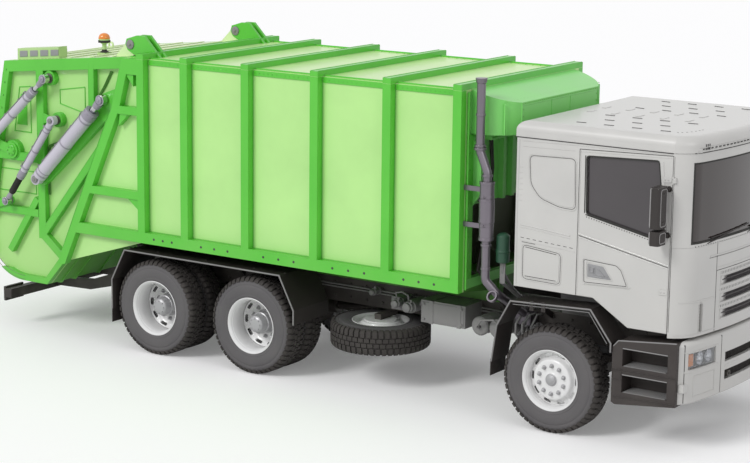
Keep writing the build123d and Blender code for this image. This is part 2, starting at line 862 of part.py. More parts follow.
# Body roof: flat sheet with the hoops' top runs and the clevis lugs of the tailgate's hinge
with BuildPart() as body_roof:
    block((joint_top_x, body_front_x), (-wall_inner_y, wall_inner_y), (body_top_z - wall_thickness, body_top_z))
    for setback in hoop_setbacks:
        hoop_x = body_front_x - setback
        block(
            (hoop_x - rib_width, hoop_x),
            (-body_half_width, body_half_width),
            (body_top_z, body_top_z + roof_rib_height),
        )
    lug_outline = [
        (joint_top_x + 360, body_top_z),
        (joint_top_x + 130, hinge_point[1] + 105),
        (joint_top_x + 20, hinge_point[1] + 105),
        (hinge_point[0] - 55, hinge_point[1] + 60),
        (hinge_point[0] - 75, hinge_point[1]),
        (hinge_point[0] - 40, hinge_point[1] - 65),
        (joint_top_x + 15, body_top_z),
    ]
    for side in (-1, 1):
        for lug in (-1, 1):
            lug_inner = side * hinge_lug_y + lug * (hinge_lug_half + 6)
            side_plate(lug_outline, lug_inner, lug_inner + lug * 35)
            cross_pin(
                hinge_point,
                hinge_pin_radius + pin_clearance,
                lug_inner,
                lug_inner + lug * 35,
                Mode.SUBTRACT,
            )
save(body_roof, "body_roof")

# Body floor: sheet that dips to the tailgate's foot, on two long bearers
with BuildPart() as body_floor:
    side_plate(
        [
            (body_front_x, sill_bottom_z),
            (body_front_x, sill_bottom_z + wall_thickness),
            (slope_start_x, sill_bottom_z + wall_thickness),
            (joint_foot[0] + 10, joint_foot[1] + wall_thickness),
            joint_foot,
            slope_foot,
        ],
        -wall_inner_y,
        wall_inner_y,
    )
    for side in (-1, 1):
        block(
            (slope_start_x - 60, body_front_x),
            (side * rail_inner_y, side * rail_outer_y),
            (rail_top_z, sill_bottom_z),
        )
    for setback in hoop_setbacks:
        hoop_x = body_front_x - setback
        front_plate(
            [
                (-body_half_width + rib_depth, sill_bottom_z),
                (-rail_outer_y, sill_bottom_z - 110),
                (rail_outer_y, sill_bottom_z - 110),
                (body_half_width - rib_depth, sill_bottom_z),
            ],
            hoop_x - 38,
            hoop_x - 16,
        )
save(body_floor, "body_floor")

# Body front: open frame with posts and beams, and the rounded housing at the top
housing_reach = 430
housing_bottom_z = 2880
housing_half_width = 1060
front_open_top_z = 2150
with BuildPart() as body_front:
    frame_x = (body_front_x - 60, body_front_x)
    front_plate(
        [
            (-wall_inner_y, sill_bottom_z + wall_thickness),
            (wall_inner_y, sill_bottom_z + wall_thickness),
            (wall_inner_y, body_top_z - wall_thickness),
            (-wall_inner_y, body_top_z - wall_thickness),
        ],
        *frame_x,
    )
    block(
        (frame_x[0] - 10, frame_x[1] + 10),
        (-wall_inner_y + 130, wall_inner_y - 130),
        (sill_top_z, front_open_top_z),
        Mode.SUBTRACT,
    )
    with BuildSketch(Plane.XY.offset(housing_bottom_z)) as housing_plan:
        with BuildLine():
            reach_x = body_front_x + housing_reach
            Line((body_front_x, -housing_half_width), (body_front_x, housing_half_width))
            ThreePointArc(
                (body_front_x, housing_half_width),
                (reach_x - 110, housing_half_width - 90),
                (reach_x, housing_half_width - 260),
            )
            Line((reach_x, housing_half_width - 260), (reach_x, -housing_half_width + 260))
            ThreePointArc(
                (reach_x, -housing_half_width + 260),
                (reach_x - 110, -housing_half_width + 90),
                (body_front_x, -housing_half_width),
            )
        make_face()
    extrude(housing_plan.sketch, amount=body_top_z + 10 - housing_bottom_z)
    side_plate(
        [
            (body_front_x, body_top_z + 20),
            (body_front_x, body_top_z),
            (body_front_x + housing_reach + 20, body_top_z - 130),
            (body_front_x + housing_reach + 20, body_top_z + 20),
        ],
        -body_half_width,
        body_half_width,
        Mode.SUBTRACT,
    )
    # Beam below the housing and upright stiffeners on the front sheet
    block((body_front_x, body_front_x + 150), (-900, 900), (housing_bottom_z - 70, housing_bottom_z))
    for post_y in (-480, -300, 300, 480):
        block(
            (body_front_x, body_front_x + 60),
            (post_y - 25, post_y + 25),
            (front_open_top_z, housing_bottom_z - 70),
        )
    for side in (-1, 1):
        side_plate(
            [
                (body_front_x, housing_bottom_z - 70),
                (body_front_x + 110, housing_bottom_z - 70),
                (body_front_x + 110, front_open_top_z + 120),
                (body_front_x, front_open_top_z - 20),
            ],
            side * 1000,
            side * 1030,
        )
save(body_front, "body_front")

# Ejector: the slanted pusher wall inside the body, at its forward end
ejector_half_width = wall_inner_y - 25
ejector_floor_z = sill_bottom_z + wall_thickness + 8
ejector_top_z = body_top_z - wall_thickness - 30
with BuildPart() as ejector_plate:
    side_plate(
        [
            (body_front_x - 95, ejector_top_z),
            (body_front_x - 150, ejector_top_z),
            (body_front_x - 520, 2300),
            (body_front_x - 620, ejector_floor_z),
            (body_front_x - 560, ejector_floor_z),
            (body_front_x - 465, 2285),
        ],
        -ejector_half_width,
        ejector_half_width,
    )
    for web_y in (-760, 0, 760):
        side_plate(
            [
                (body_front_x - 95, ejector_top_z),
                (body_front_x - 490, 2290),
                (body_front_x - 590, ejector_floor_z),
                (body_front_x - 95, ejector_floor_z),
                (body_front_x - 95, ejector_floor_z + 90),
                (body_front_x - 400, ejector_floor_z + 200),
                (body_front_x - 330, 2290),
            ],
            web_y - 15,
            web_y + 15,
        )
    # Shoes that slide on the body's floor
    for shoe_y in (-1000, 1000):
        block(
            (body_front_x - 620, body_front_x - 95),
            (shoe_y - 40, shoe_y + 40),
            (sill_bottom_z + wall_thickness + pin_clearance, ejector_floor_z + 60),
        )
save(ejector_plate, "ejector_plate")

# Tailgate sides: sheet plates with a welded frame of strips
gate_top = (joint_top_x - shut_gap, body_top_z)
gate_knee = (joint_knee[0] - shut_gap, joint_knee[1])
gate_foot = (joint_foot[0] - shut_gap, joint_foot[1])
trough_bottom = (trough_centre[0], trough_centre[1] - trough_radius)
sill_edge = (trough_centre[0] - trough_radius, trough_centre[1])


def tailgate_outline():
    """Wire of the tailgate seen from the side."""
    mid_angle = radians(225)
    Polyline(trough_bottom, hopper_corner, gate_foot, gate_knee, gate_top, tailgate_rear_top, sill_edge)
    ThreePointArc(
        sill_edge,
        (trough_centre[0] + trough_radius * cos(mid_angle), trough_centre[1] + trough_radius * sin(mid_angle)),
        trough_bottom,
    )


vertical_x = -3655
# Frame strips: start, finish, width
frame_strips = [
    ((gate_top[0], gate_top[1] - 65), (tailgate_rear_top[0], tailgate_rear_top[1] - 65), 130),
    ((gate_top[0] - 50, gate_top[1]), (gate_knee[0] - 50, gate_knee[1]), 110),
    ((gate_knee[0] - 50, gate_knee[1] + 30), (gate_foot[0] - 45, gate_foot[1]), 110),
    ((tailgate_rear_top[0] + 45, tailgate_rear_top[1]), (sill_edge[0] + 45, sill_edge[1] - 60), 100),
    ((vertical_x, 3180), (vertical_x, 1100), 110),
    ((-2870, 3250), (-2870, 2700), 85),
    ((vertical_x, 2035), (-4420, 2035), 100),
    ((vertical_x - 60, 1390), (-4560, 1390), 90),
    ((lift_top[0] + 60, lift_top[1] - 60), (lift_bottom[0] - 20, lift_bottom[1] - 20), 170),
    ((-2640, 2390), (vertical_x, 1150), 90),
    ((vertical_x, 1150), (gate_foot[0] - 20, gate_foot[1] + 20), 95),
    ((vertical_x - 80, 1560), (-4180, 900), 80),
    ((gate_foot[0] - 30, gate_foot[1] + 10), (hopper_corner[0] - 20, hopper_corner[1]), 100),
]
pin_boss_points = [pack_top, bin_top, lift_bottom, lifter_pivot]

with BuildPart() as tailgate_sides:
    with BuildSketch(Plane.XZ.offset(-tailgate_inner_y)) as plate_sketch:
        with BuildLine():
            tailgate_outline()
        make_face()
        with Locations(carrier_pivot):
            Circle(75, mode=Mode.SUBTRACT)
    extrude(plate_sketch.sketch, amount=tailgate_inner_y - tailgate_plate_y)
    with BuildSketch(Plane.XZ.offset(-tailgate_plate_y)) as frame_sketch:
        for start, finish, width in frame_strips:
            with BuildLine():
                Polyline(*strip(start, finish, width), close=True)
            make_face()
        for boss in pin_boss_points:
            with Locations(boss):
                Circle(85)
        with Locations(carrier_pivot):
            Circle(120)
        with BuildLine():
            tailgate_outline()
        make_face(mode=Mode.INTERSECT)
        with Locations(carrier_pivot):
            Circle(75, mode=Mode.SUBTRACT)
    extrude(frame_sketch.sketch, amount=tailgate_plate_y - tailgate_frame_y)
    # Rim round the trough's side
    with BuildSketch(Plane.XZ.offset(-tailgate_plate_y)) as rim_sketch:
        with Locations(trough_centre):
            Circle(trough_radius)
            Circle(trough_radius - 70, mode=Mode.SUBTRACT)
        with Locations((trough_centre[0] + 500, trough_centre[1]), (trough_centre[0], trough_centre[1] + 500)):
            Rectangle(1000, 2000, mode=Mode.SUBTRACT)
            Rectangle(2000, 1000, mode=Mode.SUBTRACT)
        with BuildLine():
            Polyline(*strip((trough_bottom[0] - 20, 595), (hopper_corner[0], 595), 70), close=True)
        make_face()
    extrude(rim_sketch.sketch, amount=tailgate_plate_y - tailgate_frame_y)
    mirror(about=Plane.XZ)
save(tailgate_sides, "tailgate_sides")

# Pins on the tailgate's sides: for the lift and bin cylinders' barrels and for the bin lifter's cranks
pin_end_y = cylinder_y + eye_half_width + 12
pin_start_y = tailgate_frame_y + seat_gap
with BuildPart() as tailgate_pins:
    cross_pin(lift_bottom, 36, pin_start_y, pin_end_y)
    cross_pin(bin_top, 24, pin_start_y, pin_end_y)
    cross_pin(lifter_pivot, 40, pin_start_y, crank_outer_y + 20)
    for pin_point, flange_radius in ((bin_top, 50), (pack_top, 56)):
        cross_pin(pin_point, flange_radius, pin_start_y, pin_start_y + 8)
    mirror(about=Plane.XZ)
save(tailgate_pins, "tailgate_pins")

# Tailgate roof with the rear hood, the hinge lugs and their pins
mouth_share = (tailgate_rear_top[1] - mouth_top_z) / (tailgate_rear_top[1] - sill_edge[1])
mouth_top = (
    tailgate_rear_top[0] + (sill_edge[0] - tailgate_rear_top[0]) * mouth_share,
    mouth_top_z,
)
with BuildPart() as tailgate_roof:
    side_plate(
        [
            (gate_top[0], gate_top[1]),
            tailgate_rear_top,
            mouth_top,
            (mouth_top[0] + 60, mouth_top[1]),
            (tailgate_rear_top[0] + 60, tailgate_rear_top[1] - 30),
            (gate_top[0] - 4, gate_top[1] - 24),
        ],
        -tailgate_inner_y,
        tailgate_inner_y,
    )
    for side in (-1, 1):
        lug_y = (side * hinge_lug_y - hinge_lug_half, side * hinge_lug_y + hinge_lug_half)
        side_plate(
            [
                (hinge_point[0] - 20, gate_top[1] - 12),
                (hinge_point[0] + 30, gate_top[1] + 10),
                (hinge_point[0] + 60, hinge_point[1] - 20),
                (hinge_point[0] + 40, hinge_point[1] + 50),
                (hinge_point[0] - 40, hinge_point[1] + 60),
                (hinge_point[0] - 260, gate_top[1] - 30),
            ],
            *lug_y,
        )
        cross_pin(hinge_point, hinge_pin_radius, side * hinge_lug_y - 75, side * hinge_lug_y + 75)
save(tailgate_roof, "tailgate_roof")

# Hopper trough: curved steel bed from the joint's foot round to the loading sill
with BuildPart() as hopper_trough:
    with BuildSketch(Plane.XZ.offset(tailgate_inner_y)) as trough_sketch:
        with BuildLine():
            inner_radius = trough_radius - wall_thickness
            mid_angle = radians(225)
            Polyline(gate_foot, hopper_corner, trough_bottom)
            ThreePointArc(
                trough_bottom,
                (
                    trough_centre[0] + trough_radius * cos(mid_angle),
                    trough_centre[1] + trough_radius * sin(mid_angle),
                ),
                sill_edge,
            )
            Line(sill_edge, (sill_edge[0] + wall_thickness, sill_edge[1]))
            ThreePointArc(
                (sill_edge[0] + wall_thickness, sill_edge[1]),
                (
                    trough_centre[0] + inner_radius * cos(mid_angle),
                    trough_centre[1] + inner_radius * sin(mid_angle),
                ),
                (trough_bottom[0], trough_bottom[1] + wall_thickness),
            )
            Polyline(
                (trough_bottom[0], trough_bottom[1] + wall_thickness),
                (hopper_corner[0] + 8, hopper_corner[1] + wall_thickness),
                (gate_foot[0] + 12, gate_foot[1] + wall_thickness),
                gate_foot,
            )
        make_face()
    extrude(trough_sketch.sketch, amount=-2 * tailgate_inner_y)
    # Loading sill: square bar along the top edge
    block((sill_edge[0] - 10, sill_edge[0] + 60), (-tailgate_inner_y, tailgate_inner_y), (sill_edge[1], sill_edge[1] + 50))
save(hopper_trough, "hopper_trough")

# Equipment on the tailgate's roof: light box and round beacon
roof_slope = (tailgate_rear_top[1] - gate_top[1]) / (tailgate_rear_top[0] - gate_top[0])


def gate_roof_z(x):
    """Height of the tailgate's roof sheet at x."""
    return gate_top[1] + (x - gate_top[0]) * roof_slope


box_x = (-4080, -3440)
box_y = (-1010, -870)
beacon_x = -3110
beacon_y = -600
with BuildPart() as roof_equipment:
    side_plate(
        [
            (box_x[0], gate_roof_z(box_x[0]) + seat_gap),
            (box_x[1], gate_roof_z(box_x[1]) + seat_gap),
            (box_x[1], gate_roof_z(box_x[1]) + 130),
            (box_x[0], gate_roof_z(box_x[0]) + 130),
        ],
        *box_y,
    )
    side_plate(
        [
            (beacon_x - 60, gate_roof_z(beacon_x - 60) + seat_gap),
            (beacon_x + 60, gate_roof_z(beacon_x + 60) + seat_gap),
            (beacon_x + 60, gate_roof_z(beacon_x) + 25),
            (beacon_x - 60, gate_roof_z(beacon_x) + 25),
        ],
        beacon_y - 60,
        beacon_y + 60,
    )
    upright(beacon_x, beacon_y, 26, gate_roof_z(beacon_x) + 10, gate_roof_z(beacon_x) + 150)
    with Locations((beacon_x, beacon_y, gate_roof_z(beacon_x) + 180)):
        Sphere(66)
save(roof_equipment, "roof_equipment")

# Carrier: swinging box plate inside the tailgate, on a shaft with a crank at each end
carrier_half_width = tailgate_inner_y - 12
with BuildPart() as packer_carrier:
    side_plate(strip(carrier_pivot, blade_pivot, 120), -carrier_half_width, carrier_half_width)
    cross_pin(carrier_pivot, 100, -carrier_half_width, carrier_half_width)
    for hub_y in (-820, -300, 300, 820):
        cross_pin(blade_pivot, 75, hub_y - 60, hub_y + 60)
    cut_low = along(carrier_pivot, blade_pivot, hypot(140, 920) - 68)
    for gap_low, gap_high in ((-carrier_half_width, -880), (-760, -360), (-240, 240), (360, 760), (880, carrier_half_width)):
        side_plate(
            strip(cut_low, along(carrier_pivot, blade_pivot, 1100), 160), gap_low, gap_high, Mode.SUBTRACT
        )
    cross_pin(blade_pivot, 32 + pin_clearance, -900, 900, Mode.SUBTRACT)
    shaft_end_y = crank_inner_y - seat_gap
    cross_pin(carrier_pivot, 65, -shaft_end_y, shaft_end_y)
    # Cranks bolted on the shaft's ends, each with the pin of a packing cylinder
    for side in (-1, 1):
        crank_y = (side * crank_inner_y, side * crank_outer_y)
        side_plate(strip(carrier_pivot, pack_bottom, 110), *crank_y)
        cross_pin(carrier_pivot, 95, *crank_y)
        cross_pin(pack_bottom, 55, *crank_y)
        cross_pin(pack_bottom, 28, side * (crank_outer_y + seat_gap), side * pin_end_y)
save(packer_carrier, "packer_carrier")

# Packer blade: stiff plate that sweeps the trough, on a rod through the carrier's hubs
blade_tip = (
    blade_pivot[0] + blade_length * cos(radians(blade_rest_deg)),
    blade_pivot[1] + blade_length * sin(radians(blade_rest_deg)),
)
with BuildPart() as packer_blade:
    cross_pin(blade_pivot, 32, -carrier_half_width, carrier_half_width)
    side_plate(strip(along(blade_pivot, blade_tip, 95), blade_tip, 45), -carrier_half_width, carrier_half_width)
    for hub_y in (-940, -560, 0, 560, 940):
        cross_pin(blade_pivot, 62, hub_y - 50, hub_y + 50)
        side_plate(strip(blade_pivot, along(blade_pivot, blade_tip, 300), 60), hub_y - 20, hub_y + 20)
save(packer_blade, "packer_blade")

# Bin lifter: bell cranks on the hopper's sides, joined behind the sill by a comb beam
comb_x = (rear_end_x, rear_end_x + 70)
comb_z = (990, 1110)
comb_half_width = crank_inner_y - seat_gap
tooth_pitch = 180
with BuildPart() as bin_lifter:
    block(comb_x, (-comb_half_width, comb_half_width), comb_z)
    for tooth in range(-5, 6):
        side_plate(
            [
                (comb_x[0], comb_z[1]),
                (comb_x[0] + 30, comb_z[1]),
                (comb_x[0] + 22, comb_z[1] + 70),
                (comb_x[0] + 4, comb_z[1] + 70),
            ],
            tooth * tooth_pitch - 45,
            tooth * tooth_pitch + 45,
        )
    for side in (-1, 1):
        arm_y = (side * crank_inner_y, side * crank_outer_y)
        side_plate(strip(lifter_pivot, bin_bottom, 90), *arm_y)
        side_plate(strip(lifter_pivot, (comb_x[0] + 60, comb_z[0] + 70), 100), *arm_y)
        cross_pin(lifter_pivot, 78, *arm_y)
        cross_pin(bin_bottom, 50, *arm_y)
        cross_pin(lifter_pivot, 40 + pin_clearance, *arm_y, Mode.SUBTRACT)
save(bin_lifter, "bin_lifter")

# Hydraulic cylinders, a pair of each on the tailgate's sides
# Name, barrel's pin, rod's pin, barrel radius, rod radius, pin radius, barrel's share of the length,
# and the outer face of the plate that the rod's pin stands next to
cylinder_table = [
    ("lift", lift_bottom, lift_top, lift_barrel_radius, 40, 36, 0.86, wall_inner_y),
    ("packing", pack_bottom, pack_top, pack_barrel_radius, 28, 28, 0.82, pin_start_y + 8),
    ("bin", bin_top, bin_bottom, bin_barrel_radius, 22, 24, 0.70, crank_outer_y),
]
for name, barrel_pin, rod_pin, barrel_radius, rod_radius, pin_radius, barrel_share, plate_y in cylinder_table:
    reach = hypot(rod_pin[0] - barrel_pin[0], rod_pin[1] - barrel_pin[1])
    barrel_start = along(barrel_pin, rod_pin, pin_radius + 20)
    barrel_end = along(barrel_pin, rod_pin, reach * barrel_share)
    rod_start = along(barrel_pin, rod_pin, pin_radius + 60)
    rod_end = along(barrel_pin, rod_pin, reach - pin_radius - 12)
    with BuildPart() as barrels:
        for side in (-1, 1):
            eye_y = (side * (cylinder_y - eye_half_width), side * (cylinder_y + eye_half_width))
            y = side * cylinder_y
            tube_between((barrel_start[0], y, barrel_start[1]), (barrel_end[0], y, barrel_end[1]), barrel_radius)
            cross_pin(barrel_pin, pin_radius + 30, *eye_y)
            cross_pin(barrel_pin, pin_radius + pin_clearance, *eye_y, Mode.SUBTRACT)
            tube_between(
                (rod_start[0], y, rod_start[1]),
                (rod_pin[0], y, rod_pin[1]),
                rod_radius + pin_clearance,
                Mode.SUBTRACT,
            )
    save(barrels, f"{name}_barrels")
    with BuildPart() as rods:
        for side in (-1, 1):
            eye_y = (side * (cylinder_y - eye_half_width), side * (cylinder_y + eye_half_width))
            y = side * cylinder_y
            tube_between(
                (rod_start[0], y, rod_start[1]),
                (rod_end[0], y, rod_end[1]),
                rod_radius,
            )
            cross_pin(rod_pin, pin_radius + 24, *eye_y)
            cross_pin(rod_pin, pin_radius, side * (plate_y + 6), side * (cylinder_y + eye_half_width + 12))
    save(rods, f"{name}_rods")

# Cab: outlines of a door and its window, seen from the side
footwell_x = 3980
floor_slope_x = footwell_x - 380
door_front_edge = corner_start_x - 8
door_hinge = (corner_start_x + 2, cab_half_width + 6)
door_gap = 6
cab_front_top_z = windscreen_bottom_z - 30
door_outline = [
    (door_rear_x, cab_floor_z),
    (door_rear_x, 2870),
    (door_front_edge, 2900),
    (door_front_edge, cab_sill_z),
    (footwell_x, cab_sill_z),
    (floor_slope_x, cab_floor_z),
]
window_outline = [(3490, 2815), (4250, 2845), (4340, 2080), (3500, 2255)]
screen_half_width = 1080

# Cab shell: welded box with door openings, a raised floor over the engine and footwells beside it
with BuildPart() as cab_shell:
    front_form(cab_front_setback, cab_half_width, cab_rear_x, cab_sill_z, cab_roof_base_z)
    # Wheel arch and engine space below the floor
    side_plate(
        [
            (cab_rear_x - 50, cab_sill_z - 50),
            (cab_rear_x - 50, cab_floor_z),
            (floor_slope_x, cab_floor_z),
            (footwell_x, cab_sill_z),
            (footwell_x, cab_sill_z - 50),
        ],
        -cab_half_width - 50,
        cab_half_width + 50,
        Mode.SUBTRACT,
    )
    block((cab_rear_x - 50, front_end_x), (-600, 600), (cab_sill_z - 50, cab_floor_z), Mode.SUBTRACT)
    # Cabin space: over the middle floor, and down into each footwell
    middle_y = 660
    cabin_front_x = corner_start_x + 130
    block(
        (cab_rear_x + cab_wall, cabin_front_x),
        (-middle_y, middle_y),
        (cab_floor_z + cab_wall, cab_roof_base_z + 50),
        Mode.SUBTRACT,
    )
    for side in (-1, 1):
        side_plate(
            [
                (cab_rear_x + cab_wall, cab_floor_z + cab_wall),
                (floor_slope_x + 20, cab_floor_z + cab_wall),
                (footwell_x + 20, cab_sill_z + cab_wall),
                (corner_start_x + 20, cab_sill_z + cab_wall),
                (corner_start_x + 20, cab_roof_base_z + 50),
                (cab_rear_x + cab_wall, cab_roof_base_z + 50),
            ],
            side * (middle_y - 1),
            side * (cab_half_width - cab_wall),
            Mode.SUBTRACT,
        )
        # Door opening, clear of the door all round
        side_plate(
            [
                (door_outline[0][0] - door_gap, cab_floor_z - 50),
                (door_outline[1][0] - door_gap, door_outline[1][1] + door_gap),
                (door_outline[2][0] + door_gap, door_outline[2][1] + door_gap),
                (door_outline[3][0] + door_gap, cab_sill_z - 50),
                (footwell_x, cab_sill_z - 50),
            ],
            side * (cab_half_width - cab_wall - seat_gap),
            side * (cab_half_width + 50),
            Mode.SUBTRACT,
        )
        # Arms down to the hinge pins on the rails
        side_plate(
            [
                (cab_hinge[0] - 260, cab_floor_z),
                (cab_hinge[0] - 260, cab_hinge[1] + 190),
                (cab_hinge[0] - 150, cab_hinge[1] + 40),
                (cab_hinge[0] - 40, cab_hinge[1] - 36),
                (cab_hinge[0] + 18, cab_hinge[1] - 38),
                (cab_hinge[0] + 41, cab_hinge[1] - 5),
                (cab_hinge[0] + 39, cab_hinge[1] + 12),
                (cab_hinge[0] + 14, cab_hinge[1] + 39),
                (cab_hinge[0] - 30, cab_hinge[1] + 60),
                (cab_hinge[0] - 85, cab_hinge[1] + 92),
                (cab_hinge[0] - 158, cab_hinge[1] + 136),
                (cab_hinge[0] - 158, cab_floor_z),
            ],
            side * (rail_outer_y + 50),
            side * (rail_outer_y + 110),
        )
        cross_pin(
            cab_hinge,
            25 + pin_clearance,
            side * (rail_outer_y + 40),
            side * (rail_outer_y + 120),
            Mode.SUBTRACT,
        )
        # Door hinges: pins in small barrels on the corner post
        for hinge_z in (1560, 2640):
            upright(door_hinge[0], side * door_hinge[1], 9, hinge_z, hinge_z + 70)
            block(
                (door_hinge[0], door_hinge[0] + 30),
                (side * (cab_half_width - 20), side * (door_hinge[1] + 5)),
                (hinge_z + 10, hinge_z + 60),
            )
    # Room for the curved front panel below the windscreen, and hollow behind the windscreen's corners
    front_form(
        cab_front_setback + cab_wall,
        cab_half_width - cab_wall,
        corner_start_x - 20,
        cab_floor_z + cab_wall,
        cab_roof_base_z + 50,
        Mode.SUBTRACT,
    )
    with BuildPart(mode=Mode.PRIVATE) as front_skin:
        front_form(0, cab_half_width + 50, corner_start_x, cab_sill_z - 60, cab_front_top_z)
        front_form(
            cab_front_setback + cab_wall + seat_gap,
            cab_half_width - cab_wall - seat_gap,
            corner_start_x - 50,
            cab_sill_z - 70,
            cab_front_top_z + 10,
            Mode.SUBTRACT,
        )
    add(front_skin.part, mode=Mode.SUBTRACT)
    block(
        (corner_start_x, front_end_x),
        (-screen_half_width, screen_half_width),
        (windscreen_bottom_z, windscreen_top_z),
        Mode.SUBTRACT,
    )
save(cab_shell, "cab_shell")

# Cab front: curved lower panel with slots for air, as thick as the whole wall
with BuildPart() as cab_front:
    panel_top_z = cab_front_top_z - seat_gap
    front_form(cab_front_setback, cab_half_width, corner_start_x + seat_gap, front_panel_bottom_z, panel_top_z)
    front_form(
        cab_front_setback + cab_wall,
        cab_half_width - cab_wall,
        corner_start_x - 50,
        front_panel_bottom_z - 10,
        panel_top_z + 10,
        Mode.SUBTRACT,
    )
    for slot_z in (1270, 1430, 1600):
        block((front_end_x - 55, front_end_x + 20), (-590, 590), (slot_z, slot_z + 85), Mode.SUBTRACT)
    for side in (-1, 1):
        block(
            (front_end_x - 140, front_end_x + 20),
            (side * 900, side * 940),
            (1200, 1470),
            Mode.SUBTRACT,
        )
save(cab_front, "cab_front")

# Windscreen: curved pane seated in its opening
with BuildPart() as windscreen:
    pane_z = (windscreen_bottom_z + seat_gap, windscreen_top_z - seat_gap)
    front_form(cab_front_setback + 14, cab_half_width - 14, corner_start_x - 50, *pane_z)
    front_form(cab_front_setback + 34, cab_half_width - 34, corner_start_x - 100, *pane_z, Mode.SUBTRACT)
    for side in (-1, 1):
        pane_edge_y = screen_half_width - seat_gap
        block((corner_start_x - 200, front_end_x), (side * pane_edge_y, side * 1300), pane_z, Mode.SUBTRACT)
    block((corner_start_x - 200, corner_start_x + 60), (-1300, 1300), pane_z, Mode.SUBTRACT)
save(windscreen, "windscreen")

# Cab roof: shallow rounded lid with a sun visor over the windscreen
with BuildPart() as cab_roof:
    roof_bottom_z = cab_roof_base_z + seat_gap
    front_form(cab_front_setback - 5, cab_half_width + 4, cab_rear_x - 10, roof_bottom_z, cab_roof_top_z)
    lid_edges = cab_roof.faces().sort_by(Axis.Z)[-1].edges()
    fillet(lid_edges, 90)
    block(
        (cab_rear_x + cab_wall, corner_start_x + 60),
        (-cab_half_width + 130, cab_half_width - 130),
        (roof_bottom_z - 10, cab_roof_top_z - 40),
        Mode.SUBTRACT,
    )
save(cab_roof, "cab_roof")

# Dashboard below the windscreen, with the steering wheel on its column at the left seat
wheel_centre = (3985, 640, 2080)
with BuildPart() as dashboard:
    front_form(
        cab_front_setback + cab_wall + seat_gap,
        cab_half_width - cab_wall - seat_gap,
        corner_start_x - 130,
        1800,
        cab_front_top_z - 20,
    )
    for side in (-1, 1):
        block(
            (corner_start_x - 200, corner_start_x + seat_gap),
            (side * 1100, side * 1300),
            (1750, 2100),
            Mode.SUBTRACT,
        )
    tube_between((corner_start_x - 60, wheel_centre[1], 1850), wheel_centre, 32)
    with BuildSketch(
        Plane(origin=wheel_centre, z_dir=(wheel_centre[0] - corner_start_x + 60, 0, wheel_centre[2] - 1850))
    ) as hub_sketch:
        Circle(60)
        Rectangle(440, 36)
    extrude(hub_sketch.sketch, amount=22)
    with Locations(
        Plane(
            origin=wheel_centre,
            z_dir=(wheel_centre[0] - corner_start_x + 60, 0, wheel_centre[2] - 1850),
        )
        * Location((0, 0, 11))
    ):
        Torus(225, 16)
save(dashboard, "dashboard")

# Seats: two seats on boxes, standing on the cab's raised floor
with BuildPart() as seats:
    seat_z = cab_floor_z + cab_wall + seat_gap
    for side in (-1, 1):
        seat_y = (side * 420, side * 900)
        block((3150, 3560), seat_y, (seat_z, seat_z + 260))
        side_plate([(3060, 1750), (3640, 1760), (3640, 1880), (3060, 1860)], *seat_y)
        side_plate([(3060, 1750), (3190, 1750), (3120, 2380), (2990, 2370)], *seat_y)
        side_plate(
            [(3060, 2370), (3140, 2370), (3125, 2560), (3040, 2560)],
            side * 540,
            side * 780,
        )
save(seats, "seats")

# Doors with their window panes and the mirrors on arms
for side_name, side in sides.items():
    door_y = (side * (cab_half_width - cab_wall), side * cab_half_width)
    with BuildPart() as door:
        side_plate(door_outline, *door_y)
        side_plate(window_outline, side * (cab_half_width - 100), side * (cab_half_width + 20), Mode.SUBTRACT)
    save(door, f"door_{side_name}")

    with BuildPart() as pane:
        with BuildSketch(Plane.XZ.offset(-side * (cab_half_width - 38))) as pane_sketch:
            with BuildLine():
                Polyline(*window_outline, close=True)
            make_face()
            offset(amount=-seat_gap, kind=Kind.INTERSECTION, mode=Mode.REPLACE)
        extrude(pane_sketch.sketch, amount=-side * 16)
    save(pane, f"door_glass_{side_name}")

    mirror_x = (4285, 4385)
    mirror_y = (side * 1262, side * 1440)
    with BuildPart() as mirror_set:
        block(mirror_x, mirror_y, (2240, 2630))
        block(mirror_x, mirror_y, (2080, 2215))
        fillet(mirror_set.edges().filter_by(Axis.Z), 28)
        for arm_z in (2150, 2590):
            cross_pin((4364, arm_z), 15, side * (cab_half_width + seat_gap), side * 1290)
        upright(4350, side * 1300, 16, 2180, 2300)
    save(mirror_set, f"mirror_{side_name}")
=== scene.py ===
"""Looks of the rear loading garbage truck, piece by piece as it is put together.

Lengths are in metres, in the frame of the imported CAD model.
"""

import math

import bmesh
import bpy
from mathutils import Matrix, Vector


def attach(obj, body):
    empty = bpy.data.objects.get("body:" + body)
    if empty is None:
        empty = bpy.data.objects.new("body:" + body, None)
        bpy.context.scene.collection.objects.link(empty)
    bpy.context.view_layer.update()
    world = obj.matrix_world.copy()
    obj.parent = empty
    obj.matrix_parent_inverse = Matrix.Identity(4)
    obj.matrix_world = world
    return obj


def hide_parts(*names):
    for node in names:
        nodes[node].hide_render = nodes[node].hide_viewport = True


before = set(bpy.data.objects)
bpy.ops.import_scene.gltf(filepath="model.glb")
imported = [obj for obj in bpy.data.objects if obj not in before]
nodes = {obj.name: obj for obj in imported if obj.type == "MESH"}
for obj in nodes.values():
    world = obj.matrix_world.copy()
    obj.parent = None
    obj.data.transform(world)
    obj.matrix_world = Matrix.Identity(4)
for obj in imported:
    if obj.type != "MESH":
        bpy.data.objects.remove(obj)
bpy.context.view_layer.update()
scene = bpy.context.scene

